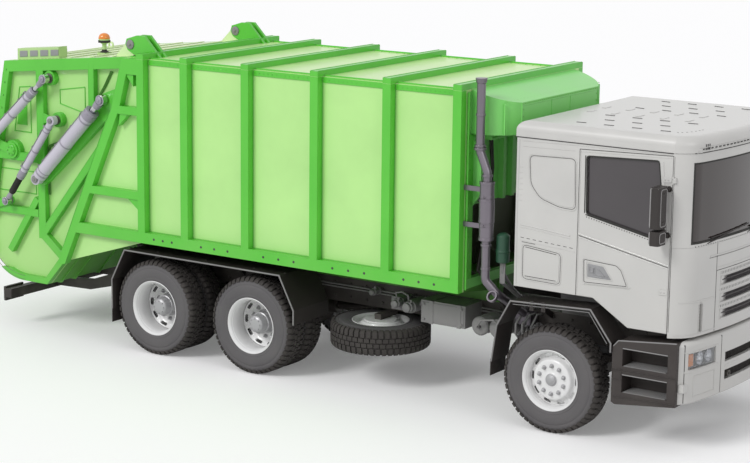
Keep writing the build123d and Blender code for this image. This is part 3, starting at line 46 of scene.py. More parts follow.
# Camera: a long lens from the truck's front right, a little above the roof.
# It is the viewpoint of the picture: 34 degrees round from the side and 11.5 degrees up.
camera_turn = 0.5904
camera_rise = 0.2011
camera_roll = 0.0116
backward = Vector(
    (
        math.sin(camera_turn) * math.cos(camera_rise), -math.cos(camera_turn) * math.cos(camera_rise),
        math.sin(camera_rise),
    )
)
level_right = Vector((math.cos(camera_turn), math.sin(camera_turn), 0.0))
level_up = backward.cross(level_right)
rolled_right = level_right * math.cos(camera_roll) + level_up * math.sin(camera_roll)
rolled_up = level_up * math.cos(camera_roll) - level_right * math.sin(camera_roll)
camera_data = bpy.data.cameras.new("picture_camera")
camera_data.sensor_width = 36.0
camera_data.sensor_fit = "HORIZONTAL"
camera_data.lens = 2040.8 / 750.0 * 36.0
camera_data.clip_end = 500.0
camera = bpy.data.objects.new("picture_camera", camera_data)
camera.matrix_world = Matrix.Translation((12.516, -18.289, 5.974)) @ Matrix(
    (rolled_right, rolled_up, backward)
).transposed().to_4x4()
scene.collection.objects.link(camera)
scene.camera = camera
scene.view_settings.view_transform = "Standard"

# Studio: an even white surround, one broad soft key from the truck's right, and a weak fill at the front.
# The surround shows white to the camera and in reflections, and lights the truck at a plain level.
world = bpy.data.worlds.new("studio_surround")
scene.world = world
world.use_nodes = True
tree = world.node_tree
tree.nodes.clear()
seen = tree.nodes.new("ShaderNodeLightPath")
seen_or_mirrored = tree.nodes.new("ShaderNodeMath")
seen_or_mirrored.operation = "MAXIMUM"
through_glass = tree.nodes.new("ShaderNodeMath")
through_glass.operation = "MAXIMUM"
surround = tree.nodes.new("ShaderNodeMix")
surround.data_type = "RGBA"
surround.inputs["A"].default_value = (0.62, 0.62, 0.63, 1.0)
surround.inputs["B"].default_value = (1.0, 1.0, 1.0, 1.0)
background = tree.nodes.new("ShaderNodeBackground")
world_output = tree.nodes.new("ShaderNodeOutputWorld")
tree.links.new(seen.outputs["Is Camera Ray"], seen_or_mirrored.inputs[0])
tree.links.new(seen.outputs["Is Glossy Ray"], seen_or_mirrored.inputs[1])
tree.links.new(seen_or_mirrored.outputs[0], through_glass.inputs[0])
tree.links.new(seen.outputs["Is Transmission Ray"], through_glass.inputs[1])
tree.links.new(through_glass.outputs[0], surround.inputs["Factor"])
tree.links.new(surround.outputs["Result"], background.inputs["Color"])
tree.links.new(background.outputs["Background"], world_output.inputs["Surface"])
for lamp_name, strength, softness, aim in (
    ("key_lamp", 1.55, 0.35, (0.25, 0.80, -0.62)), ("front_fill_lamp", 0.35, 0.6, (-0.9, 0.25, -0.35))
):
    lamp_data = bpy.data.lights.new(lamp_name, "SUN")
    lamp_data.energy = strength
    lamp_data.angle = softness
    lamp = bpy.data.objects.new(lamp_name, lamp_data)
    lamp.rotation_euler = Vector(aim).to_track_quat("-Z", "Y").to_euler()
    scene.collection.objects.link(lamp)

# Floor: a plain pale sheet that keeps the truck's soft shadow.
# It shows near white to the camera, and pale grey in the truck's underside.
floor_mesh = bpy.data.meshes.new("studio_floor")
floor_corners = [(-90, -90, 0), (90, -90, 0), (90, 90, 0), (-90, 90, 0)]
floor_mesh.from_pydata(floor_corners, [], [(0, 1, 2, 3)])
floor = bpy.data.objects.new("studio_floor", floor_mesh)
scene.collection.objects.link(floor)
floor_paint = bpy.data.materials.new("studio_floor_paint")
floor_paint.use_nodes = True
tree = floor_paint.node_tree
floor_shader = tree.nodes["Principled BSDF"]
floor_shader.inputs["Base Color"].default_value = (0.86, 0.86, 0.86, 1.0)
floor_shader.inputs["Roughness"].default_value = 0.95
floor_shader.inputs["Specular IOR Level"].default_value = 0.0
floor_glow = tree.nodes.new("ShaderNodeEmission")
floor_glow.inputs["Strength"].default_value = 0.16
lifted = tree.nodes.new("ShaderNodeAddShader")
seen = tree.nodes.new("ShaderNodeLightPath")
choice = tree.nodes.new("ShaderNodeMixShader")
tree.links.new(floor_shader.outputs[0], lifted.inputs[0])
tree.links.new(floor_glow.outputs[0], lifted.inputs[1])
tree.links.new(seen.outputs["Is Camera Ray"], choice.inputs[0])
tree.links.new(floor_shader.outputs[0], choice.inputs[1])
tree.links.new(lifted.outputs[0], choice.inputs[2])
tree.links.new(choice.outputs[0], tree.nodes["Material Output"].inputs["Surface"])
floor_mesh.materials.append(floor_paint)

# Chassis steel: satin black paint on rails, axles and brackets, with dust low down and bare metal on edges.
# The weathering group is the wear that every painted or moulded surface of the truck shares.
weathering = bpy.data.node_groups.new("weathering", "ShaderNodeTree")
for socket_name, socket_type, default in (
    ("Colour", "NodeSocketColor", (0.5, 0.5, 0.5, 1.0)),
    ("Worn Colour", "NodeSocketColor", (0.3, 0.3, 0.3, 1.0)),
    ("Dust Colour", "NodeSocketColor", (0.24, 0.22, 0.19, 1.0)), ("Wear", "NodeSocketFloat", 0.5),
    ("Dust", "NodeSocketFloat", 0.2), ("Roughness", "NodeSocketFloat", 0.4),
    ("Grain Size", "NodeSocketFloat", 300.0), ("Grain Depth", "NodeSocketFloat", 0.05),
    ("Edge Radius", "NodeSocketFloat", 0.006),
):
    socket = weathering.interface.new_socket(socket_name, in_out="INPUT", socket_type=socket_type)
    socket.default_value = default
for socket_name, socket_type in (
    ("Colour", "NodeSocketColor"), ("Roughness", "NodeSocketFloat"), ("Normal", "NodeSocketVector")
):
    weathering.interface.new_socket(socket_name, in_out="OUTPUT", socket_type=socket_type)
group_in = weathering.nodes.new("NodeGroupInput")
group_out = weathering.nodes.new("NodeGroupOutput")
rounded_edge = weathering.nodes.new("ShaderNodeBevel")
rounded_edge.samples = 4
surface = weathering.nodes.new("ShaderNodeNewGeometry")
edge_turn = weathering.nodes.new("ShaderNodeVectorMath")
edge_turn.operation = "DOT_PRODUCT"
place = weathering.nodes.new("ShaderNodeTexCoord")
heights = weathering.nodes.new("ShaderNodeSeparateXYZ")
blotches = weathering.nodes.new("ShaderNodeTexNoise")
blotches.inputs["Scale"].default_value = 2.2
blotches.inputs["Detail"].default_value = 6.0
chips = weathering.nodes.new("ShaderNodeTexNoise")
chips.inputs["Scale"].default_value = 28.0
chips.inputs["Detail"].default_value = 8.0
grain = weathering.nodes.new("ShaderNodeTexNoise")
grain.inputs["Detail"].default_value = 3.0
join = weathering.links.new
join(group_in.outputs["Edge Radius"], rounded_edge.inputs["Radius"])
join(rounded_edge.outputs["Normal"], edge_turn.inputs[0])
join(surface.outputs["Normal"], edge_turn.inputs[1])
for texture in (blotches, chips, grain):
    join(place.outputs["Object"], texture.inputs["Vector"])
join(place.outputs["Object"], heights.inputs[0])
join(group_in.outputs["Grain Size"], grain.inputs["Scale"])


def group_range(source, from_min, from_max, to_min, to_max):
    """Part of the weathering group that maps one value's range to another."""
    mapped = weathering.nodes.new("ShaderNodeMapRange")
    for socket_name, value in (
        ("From Min", from_min), ("From Max", from_max), ("To Min", to_min), ("To Max", to_max)
    ):
        mapped.inputs[socket_name].default_value = value
    join(source, mapped.inputs["Value"])
    return mapped.outputs["Result"]


def group_product(first, second, held=False):
    """Part of the weathering group that multiplies two values."""
    product = weathering.nodes.new("ShaderNodeMath")
    product.operation = "MULTIPLY"
    product.use_clamp = held
    join(first, product.inputs[0])
    join(second, product.inputs[1])
    return product.outputs[0]


def group_mix(share, under, over):
    """Part of the weathering group that lays one colour over another."""
    mixed = weathering.nodes.new("ShaderNodeMix")
    mixed.data_type = "RGBA"
    join(share, mixed.inputs["Factor"])
    join(under, mixed.inputs["A"])
    join(over, mixed.inputs["B"])
    return mixed.outputs["Result"]


edge_mask = group_range(edge_turn.outputs["Value"], 0.995, 0.80, 0.0, 1.0)
chip_mask = group_range(chips.outputs["Fac"], 0.50, 0.66, 0.0, 1.0)
worn_share = group_product(group_product(edge_mask, chip_mask), group_in.outputs["Wear"], True)
low_down = group_range(heights.outputs["Z"], 1.9, 0.1, 0.12, 1.0)
dust_patch = group_range(blotches.outputs["Fac"], 0.35, 0.75, 0.1, 1.0)
dust_amount = group_product(group_product(low_down, dust_patch), group_in.outputs["Dust"], True)
faded = weathering.nodes.new("ShaderNodeVectorMath")
faded.operation = "SCALE"
join(group_in.outputs["Colour"], faded.inputs[0])
join(group_range(blotches.outputs["Fac"], 0.3, 0.7, 0.95, 1.05), faded.inputs["Scale"])
dusted = group_mix(dust_amount, faded.outputs["Vector"], group_in.outputs["Dust Colour"])
join(group_mix(worn_share, dusted, group_in.outputs["Worn Colour"]), group_out.inputs["Colour"])
rough_patch = weathering.nodes.new("ShaderNodeMath")
rough_patch.operation = "MULTIPLY_ADD"
join(blotches.outputs["Fac"], rough_patch.inputs[0])
rough_patch.inputs[1].default_value = 0.16
rough_patch.inputs[2].default_value = -0.08
rough_sum = weathering.nodes.new("ShaderNodeMath")
rough_sum.operation = "ADD"
rough_sum.use_clamp = True
join(rough_patch.outputs[0], rough_sum.inputs[0])
join(group_in.outputs["Roughness"], rough_sum.inputs[1])
join(rough_sum.outputs[0], group_out.inputs["Roughness"])
grain_bump = weathering.nodes.new("ShaderNodeBump")
grain_bump.inputs["Distance"].default_value = 0.002
join(group_in.outputs["Grain Depth"], grain_bump.inputs["Strength"])
join(grain.outputs["Fac"], grain_bump.inputs["Height"])
join(rounded_edge.outputs["Normal"], grain_bump.inputs["Normal"])
join(grain_bump.outputs["Normal"], group_out.inputs["Normal"])


def linear(red, green, blue):
    """Shader colour from screen values of 0 to 255."""
    return tuple(
        (c / 255 / 12.92 if c < 11 else ((c / 255 + 0.055) / 1.055) ** 2.4) for c in (red, green, blue)
    ) + (1.0,)


def weathered_finish(name, colour, roughness, metallic=0.0, coat=0.0, **wear_values):
    """Material whose shader takes colour, roughness and normal from the weathering group."""
    material = bpy.data.materials.new(name)
    material.use_nodes = True
    shader = material.node_tree.nodes["Principled BSDF"]
    wear = material.node_tree.nodes.new("ShaderNodeGroup")
    wear.node_tree = weathering
    wear.name = "wear"
    wear.inputs["Colour"].default_value = colour
    wear.inputs["Roughness"].default_value = roughness
    for socket_name, value in wear_values.items():
        wear.inputs[socket_name.replace("_", " ").title()].default_value = value
    shader.inputs["Metallic"].default_value = metallic
    shader.inputs["Coat Weight"].default_value = coat
    shader.inputs["Coat Roughness"].default_value = 0.12
    for source, target in (("Colour", "Base Color"), ("Roughness", "Roughness"), ("Normal", "Normal")):
        material.node_tree.links.new(wear.outputs[source], shader.inputs[target])
    return material


def dress(material, *cad_nodes):
    """Give carried-over CAD pieces their finish."""
    for name in cad_nodes:
        nodes[name].data.materials.clear()
        nodes[name].data.materials.append(material)


chassis_black = weathered_finish(
    "chassis_black", linear(40, 35, 33), 0.5, wear=0.5, dust=0.35, worn_colour=linear(90, 86, 84)
)
dress(
    chassis_black, "chassis_frame", "front_axle", "rear_axles", "rear_underrun", "knuckle_right",
    "knuckle_left",
)


# Small fasteners and pipes on the frame: crossmember bolts, air lines and clips.
# Every made piece below is a closed form of plates, bars and turned rings, with softened edges.
def plate(bm, outline, depth):
    """Closed plate: an outline of points pushed along the depth vector."""
    depth = Vector(depth)
    near = [bm.verts.new(Vector(p)) for p in outline]
    far = [bm.verts.new(Vector(p) + depth) for p in outline]
    bm.faces.new(near)
    bm.faces.new(list(reversed(far)))
    for i in range(len(near)):
        j = (i + 1) % len(near)
        bm.faces.new((near[j], near[i], far[i], far[j]))


def side_outline(points, y):
    """Points of a side view, placed at a distance across the truck."""
    return [(x, y, z) for x, z in points]


def upright(x_span, y, z_span):
    """Corners of a rectangle that faces across the truck."""
    return side_outline(
        [(x_span[0], z_span[0]), (x_span[1], z_span[0]), (x_span[1], z_span[1]), (x_span[0], z_span[1])], y
    )


def facing(x, y_span, z_span):
    """Corners of a rectangle that faces along the truck."""
    return [
        (x, y_span[0], z_span[0]), (x, y_span[1], z_span[0]), (x, y_span[1], z_span[1]),
        (x, y_span[0], z_span[1]),
    ]


def level(x_span, y_span, z):
    """Corners of a rectangle that lies flat."""
    return [
        (x_span[0], y_span[0], z), (x_span[1], y_span[0], z), (x_span[1], y_span[1], z),
        (x_span[0], y_span[1], z),
    ]


def spoke(axis, angle):
    """Unit vector that stands off an axis, at an angle round it."""
    first = axis.orthogonal().normalized()
    return first * math.cos(angle) + axis.cross(first) * math.sin(angle)


def turned_ring(bm, profile, centre, axis, sides=48):
    """Closed form turned round an axis from a loop of (distance along, radius) points."""
    axis, centre = Vector(axis).normalized(), Vector(centre)
    rings = []
    for k in range(sides):
        outward = spoke(axis, 2 * math.pi * k / sides)
        rings.append([bm.verts.new(centre + axis * a + outward * r) for a, r in profile])
    for k in range(sides):
        ring, following = rings[k], rings[(k + 1) % sides]
        for i in range(len(profile)):
            j = (i + 1) % len(profile)
            bm.faces.new((ring[i], ring[j], following[j], following[i]))


def capped_tube(bm, rings):
    """Faces between rings of corners that follow each other, closed at both ends."""
    for low, high in zip(rings, rings[1:]):
        for k in range(len(low)):
            j = (k + 1) % len(low)
            bm.faces.new((low[k], low[j], high[j], high[k]))
    bm.faces.new(list(reversed(rings[0])))
    bm.faces.new(rings[-1])


def turned_solid(bm, profile, centre, axis, sides=24):
    """Solid turned form: like a ring, but closed by a flat disc at each end."""
    axis, centre = Vector(axis).normalized(), Vector(centre)
    outward = [spoke(axis, 2 * math.pi * k / sides) for k in range(sides)]
    capped_tube(bm, [[bm.verts.new(centre + axis * a + out * r) for out in outward] for a, r in profile])


def nut(bm, centre, axis, width=0.03, height=0.018):
    """Hexagon head on a washer."""
    turned_solid(bm, [(0.0, width * 0.72), (height * 0.2, width * 0.72)], centre, axis, 14)
    turned_solid(
        bm, [(height * 0.2, width * 0.5), (height * 0.85, width * 0.5), (height, width * 0.42)], centre, axis,
        6,
    )


def pipe(bm, points, radius, sides=10):
    """Round pipe through a list of points, mitred at each bend."""
    points = [Vector(p) for p in points]
    heading = (points[1] - points[0]).normalized()
    across = heading.orthogonal().normalized()
    rings = []
    for i, point in enumerate(points):
        before = (point - points[i - 1]).normalized() if i else heading
        after = (points[i + 1] - point).normalized() if i + 1 < len(points) else before
        middle = (before + after).normalized()
        across = (across - middle * across.dot(middle)).normalized()
        upward = middle.cross(across)
        stretch = 1 / max(0.5, middle.dot(after))
        ring = []
        for k in range(sides):
            angle = 2 * math.pi * k / sides
            outward = across * math.cos(angle) + upward * math.sin(angle)
            ring.append(bm.verts.new(point + outward * radius * stretch))
        rings.append(ring)
    capped_tube(bm, rings)


def fasten(name, bm, material, body, edge=0.0, sharp=35, stands_for=()):
    """Turn the made form into a piece that rides on its body, with its edges softened."""
    bmesh.ops.recalc_face_normals(bm, faces=bm.faces)
    mesh = bpy.data.meshes.new(name)
    bm.to_mesh(mesh)
    bm.free()
    mesh.polygons.foreach_set("use_smooth", [True] * len(mesh.polygons))
    mesh.set_sharp_from_angle(angle=math.radians(sharp))
    piece = bpy.data.objects.new(name, mesh)
    scene.collection.objects.link(piece)
    mesh.materials.append(material)
    if edge:
        soften = piece.modifiers.new("softened_edges", "BEVEL")
        soften.width = edge
        soften.segments = 2
        soften.limit_method = "ANGLE"
        soften.angle_limit = math.radians(sharp)
        soften.harden_normals = True
    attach(piece, body)
    if stands_for:
        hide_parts(*stands_for)
    return piece


# One grey for the fittings, also used as a painted highlight on the mudguard rims and the step tops.
fitting_and_highlight_grey = weathered_finish("fitting_and_highlight_grey", linear(128, 127, 127), 0.45, wear=0.5, dust=0.3)
bm = bmesh.new()
for side in (-1, 1):
    for i in range(34):
        x = -2.70 + i * 0.21
        for z in (0.82, 0.97):
            nut(bm, (x, side * 0.425, z), (0, side, 0), 0.026, 0.014)
fasten("frame_bolts", bm, chassis_black, "truck")
bm = bmesh.new()
pipe(bm, [(2.40, -0.44, 0.93), (1.9, -0.436, 0.95), (0.2, -0.436, 0.95), (-1.0, -0.436, 0.95)], 0.009)
pipe(bm, [(2.40, -0.44, 0.90), (1.9, -0.436, 0.92), (0.2, -0.436, 0.92), (-1.0, -0.436, 0.92)], 0.009)
for x, reach, fall in ((2.46, 0.30, 0.12), (2.51, 0.24, 0.20), (2.56, 0.34, 0.08), (2.62, 0.27, 0.17)):
    pipe(
        bm,
        [
            (x, -0.43, 0.98), (x + 0.02, -0.43 - reach * 0.5, 1.0),
            (x + 0.03, -0.43 - reach, 0.97 - fall * 0.4), (x + 0.01, -0.43 - reach * 0.9, 0.93 - fall),
            (x - 0.03, -0.43 - reach * 0.5, 0.86 - fall), (x - 0.05, -0.43, 0.84),
        ],
        0.011,
    )
fasten("air_lines", bm, fitting_and_highlight_grey, "truck")

# Engine, gearbox and tanks: plain masses in the shade of the frame, painted grey and dusty.
# The air tanks, battery box and valve block hang on the right rail with straps and short pipes.
engine_grey = weathered_finish("engine_grey", linear(96, 96, 98), 0.55, wear=0.4, dust=0.6)
dress(engine_grey, "engine_block")
dress(fitting_and_highlight_grey, "tanks_and_boxes")
bm = bmesh.new()
for tank_x in (2.08, 2.29):
    for y in (-0.47, -0.62, -0.74):
        turned_ring(
            bm, [(-0.012, 0.0955), (0.012, 0.0955), (0.012, 0.1005), (-0.012, 0.1005)], (tank_x, y, 0.84),
            (0, 1, 0), 32,
        )
    turned_solid(bm, [(0.0, 0.088), (0.006, 0.088), (0.018, 0.06)], (tank_x, -0.754, 0.84), (0, -1, 0), 28)
    turned_solid(bm, [(0.0, 0.022), (0.03, 0.022), (0.036, 0.016)], (tank_x, -0.77, 0.84), (0, -1, 0), 6)
for x in (1.46, 1.80):
    plate(bm, upright((x, x + 0.05), -0.758, (0.775, 1.026)), (0, -0.006, 0))
    plate(bm, level((x, x + 0.05), (-0.44, -0.764), 1.02), (0, 0, 0.006))
plate(bm, upright((1.375, 1.885), -0.756, (0.80, 1.0)), (0, -0.004, 0))
for x in (1.40, 1.86):
    for z in (0.82, 0.98):
        nut(bm, (x, -0.760, z), (0, -1, 0), 0.022, 0.012)
fasten("tank_straps", bm, fitting_and_highlight_grey, "truck", edge=0.0015)
bm = bmesh.new()
for x, z, radius in (
    (1.02, 0.92, 0.05), (1.17, 0.90, 0.06), (2.50, 0.90, 0.05), (2.60, 0.84, 0.045), (0.60, 0.95, 0.04)
):
    turned_solid(
        bm,
        [
            (0.0, radius * 1.15), (0.02, radius * 1.15), (0.024, radius), (0.10, radius),
            (0.106, radius * 0.8), (0.135, radius * 0.8), (0.145, radius * 0.5),
        ],
        (x, -0.43 if x > 1.3 or x < 0.8 else -0.625, z), (0, -1, 0), 26,
    )
    nut(bm, (x + radius * 0.7, -0.53 if x > 1.3 or x < 0.8 else -0.72, z + radius), (0, -0.3, 1), 0.026, 0.03)
pipe(
    bm,
    [(1.02, -0.70, 0.97), (1.02, -0.72, 1.04), (1.10, -0.73, 1.06), (1.17, -0.72, 1.03), (1.17, -0.70, 0.96)],
    0.009,
)
pipe(
    bm,
    [
        (2.08, -0.79, 0.84), (2.08, -0.83, 0.85), (2.14, -0.84, 0.93), (2.29, -0.84, 0.95),
        (2.34, -0.80, 0.90), (2.29, -0.79, 0.84),
    ],
    0.009,
)
pipe(
    bm,
    [(1.24, -0.60, 0.90), (1.28, -0.62, 0.97), (1.31, -0.60, 1.0), (1.34, -0.52, 1.0), (1.34, -0.44, 0.96)],
    0.010,
)
fasten("air_valves", bm, fitting_and_highlight_grey, "truck")
bm = bmesh.new()
for x in (0.62, 0.88, 1.18, 1.44):
    plate(bm, upright((x, x + 0.05), 0.424, (0.53, 1.05)), (0, 0.012, 0))
for x in (0.66, 1.40):
    pipe(
        bm,
        [
            (x, 0.44, 1.086), (x, 1.02, 1.086), (x, 1.075, 1.062), (x, 1.0915, 1.0), (x, 1.0915, 0.60),
            (x, 1.075, 0.54), (x, 1.02, 0.514), (x, 0.44, 0.514),
        ],
        0.006, 4,
    )
turned_solid(
    bm, [(0.0, 0.05), (0.03, 0.05), (0.034, 0.058), (0.055, 0.058), (0.06, 0.05)], (1.30, 0.72, 1.078),
    (0, 0, 1), 28,
)
fasten("fuel_tank_bands", bm, fitting_and_highlight_grey, "truck", edge=0.0015)

# Wheels: heavy block tread tyres on painted steel rims, singles at the front and twins on both driven axles.
# Each rim is a rolled barrel with a lock ring, a pressed disc with ten hand holes, ten wheel nuts and a hub.
front_axle_x, drive_axle_x, rear_axle_x = 3.16, -0.54, -1.89
wheel_face_y, axle_z = 1.218, 0.54
tyre_side_rubber = weathered_finish(
    "tyre_side_rubber", linear(82, 80, 82), 0.72, wear=0.25, dust=0.25, dust_colour=linear(120, 116, 112),
    worn_colour=linear(110, 108, 108), grain_size=420.0, grain_depth=0.15, edge_radius=0.002,
)
tread_rubber = weathered_finish(
    "tread_rubber", linear(46, 42, 40), 0.82, wear=0.5, dust=0.4, dust_colour=linear(96, 92, 88),
    worn_colour=linear(84, 80, 78), grain_size=300.0, grain_depth=0.3, edge_radius=0.003,
)
rim_paint = weathered_finish(
    "rim_paint", linear(226, 226, 226), 0.32, coat=0.3, wear=0.25, dust=0.3,
    dust_colour=linear(150, 146, 142), worn_colour=linear(130, 128, 126), edge_radius=0.003,
)
hub_paint = weathered_finish(
    "hub_paint", linear(176, 176, 178), 0.38, metallic=0.35, wear=0.5, dust=0.35,
    dust_colour=linear(96, 92, 88), edge_radius=0.004,
)


tyre_width, twin_pitch = 0.290, 0.326


def tyre(bm, centre, axis, start):
    """One tyre: ringed sidewalls, then shoulder lugs and two rows of centre blocks on a grooved base."""
    half = [
        (0.030, 0.2962), (0.017, 0.304), (0.008, 0.322), (0.0035, 0.338), (0.006, 0.344), (0.0015, 0.362),
        (0.0, 0.392), (0.0005, 0.422), (0.004, 0.446), (0.0075, 0.450), (0.006, 0.456), (0.009, 0.474),
        (0.016, 0.497), (0.028, 0.514), (0.046, 0.523), (0.145, 0.5255),
    ]
    profile = [(start + a, r) for a, r in half]
    profile += [(start + tyre_width - a, r) for a, r in reversed(half[:-1])]
    profile += [(start + 0.245, 0.2962), (start + 0.045, 0.2962)]
    first_face = len(bm.faces)
    turned_ring(bm, profile, centre, axis, 90)
    bm.faces.ensure_lookup_table()
    axis, centre = Vector(axis), Vector(centre)
    for face in bm.faces[first_face:]:
        offset = face.calc_center_median() - centre
        if (offset - axis * offset.dot(axis)).length > 0.500:
            face.material_index = 1
    blocks = 50
    shoulder = [
        (0.0035, 0.493), (0.012, 0.514), (0.026, 0.531), (0.046, 0.5385), (0.088, 0.540), (0.088, 0.520),
        (0.03, 0.505),
    ]
    far_shoulder = [(tyre_width - a, r) for a, r in shoulder]
    left_rib = [(0.097, 0.520), (0.097, 0.540), (0.139, 0.540), (0.139, 0.520)]
    right_rib = [(0.151, 0.520), (0.151, 0.540), (0.193, 0.540), (0.193, 0.520)]
    for outline, share, shift in (
        (shoulder, 0.68, 0.0), (left_rib, 0.84, 0.3), (right_rib, 0.84, 0.75), (far_shoulder, 0.68, 0.5)
    ):
        for i in range(blocks):
            ends = []
            for step in (-0.5, 0.5):
                angle = 2 * math.pi * (i + shift + step * share) / blocks
                outward = spoke(axis, angle)
                ends.append([bm.verts.new(centre + axis * (start + a) + outward * r) for a, r in outline])
            near, far = ends
            made = [bm.faces.new(near), bm.faces.new(list(reversed(far)))]
            for k in range(len(near)):
                j = (k + 1) % len(near)
                made.append(bm.faces.new((near[j], near[k], far[k], far[j])))
            for face in made:
                face.material_index = 1


def rim_barrel(bm, centre, axis, start):
    """Rolled barrel with a lip at each edge and a lock ring inside the outer one."""
    loop = [
        (0.008, 0.3115), (0.022, 0.3085), (0.032, 0.2958), (0.258, 0.2958), (0.268, 0.3085), (0.282, 0.3115),
        (0.284, 0.306), (0.276, 0.296), (0.264, 0.284), (0.200, 0.279), (0.120, 0.268), (0.070, 0.270),
        (0.060, 0.275), (0.052, 0.2745), (0.047, 0.280), (0.036, 0.2815), (0.026, 0.286), (0.016, 0.296),
        (0.0055, 0.3055),
    ]
    turned_ring(bm, [(start + a, r) for a, r in loop], centre, axis, 80)


def pressed_disc(name, centre, axis, rings, hole_band, body):
    """Pressed wheel disc: a turned sheet with ten rounded hand holes, thickened and smoothed."""
    bm = bmesh.new()
    axis, centre = Vector(axis), Vector(centre)
    sides = 60
    outward = [spoke(axis, 2 * math.pi * k / sides) for k in range(sides)]
    grid = [[bm.verts.new(centre + axis * a + out * r) for out in outward] for a, r in rings]
    for i in range(len(rings) - 1):
        for k in range(sides):
            if hole_band[0] <= i < hole_band[1] and k % 6 in (0, 1, 2):
                continue
            j = (k + 1) % sides
            bm.faces.new((grid[i][k], grid[i][j], grid[i + 1][j], grid[i + 1][k]))
    disc = fasten(name, bm, rim_paint, body)
    thickness = disc.modifiers.new("sheet_thickness", "SOLIDIFY")
    thickness.thickness = 0.010
    thickness.offset = 0.0
    smoothing = disc.modifiers.new("pressed_form", "SUBSURF")
    smoothing.levels = smoothing.render_levels = 1
    return disc


def wheel_nuts(bm, centre, axis, start, circle):
    """Ten wheel nuts on studs, facing outwards."""
    axis = Vector(axis)
    for k in range(10):
        seat = Vector(centre) + axis * start + spoke(axis, 2 * math.pi * (k + 0.75) / 10) * circle
        turned_solid(bm, [(0.0, 0.024), (0.004, 0.024), (0.0045, 0.019)], seat, -axis, 18)
        turned_solid(bm, [(0.004, 0.0175), (0.024, 0.0175), (0.028, 0.014)], seat, -axis, 6)
        turned_solid(bm, [(0.024, 0.010), (0.040, 0.010), (0.042, 0.008)], seat, -axis, 12)


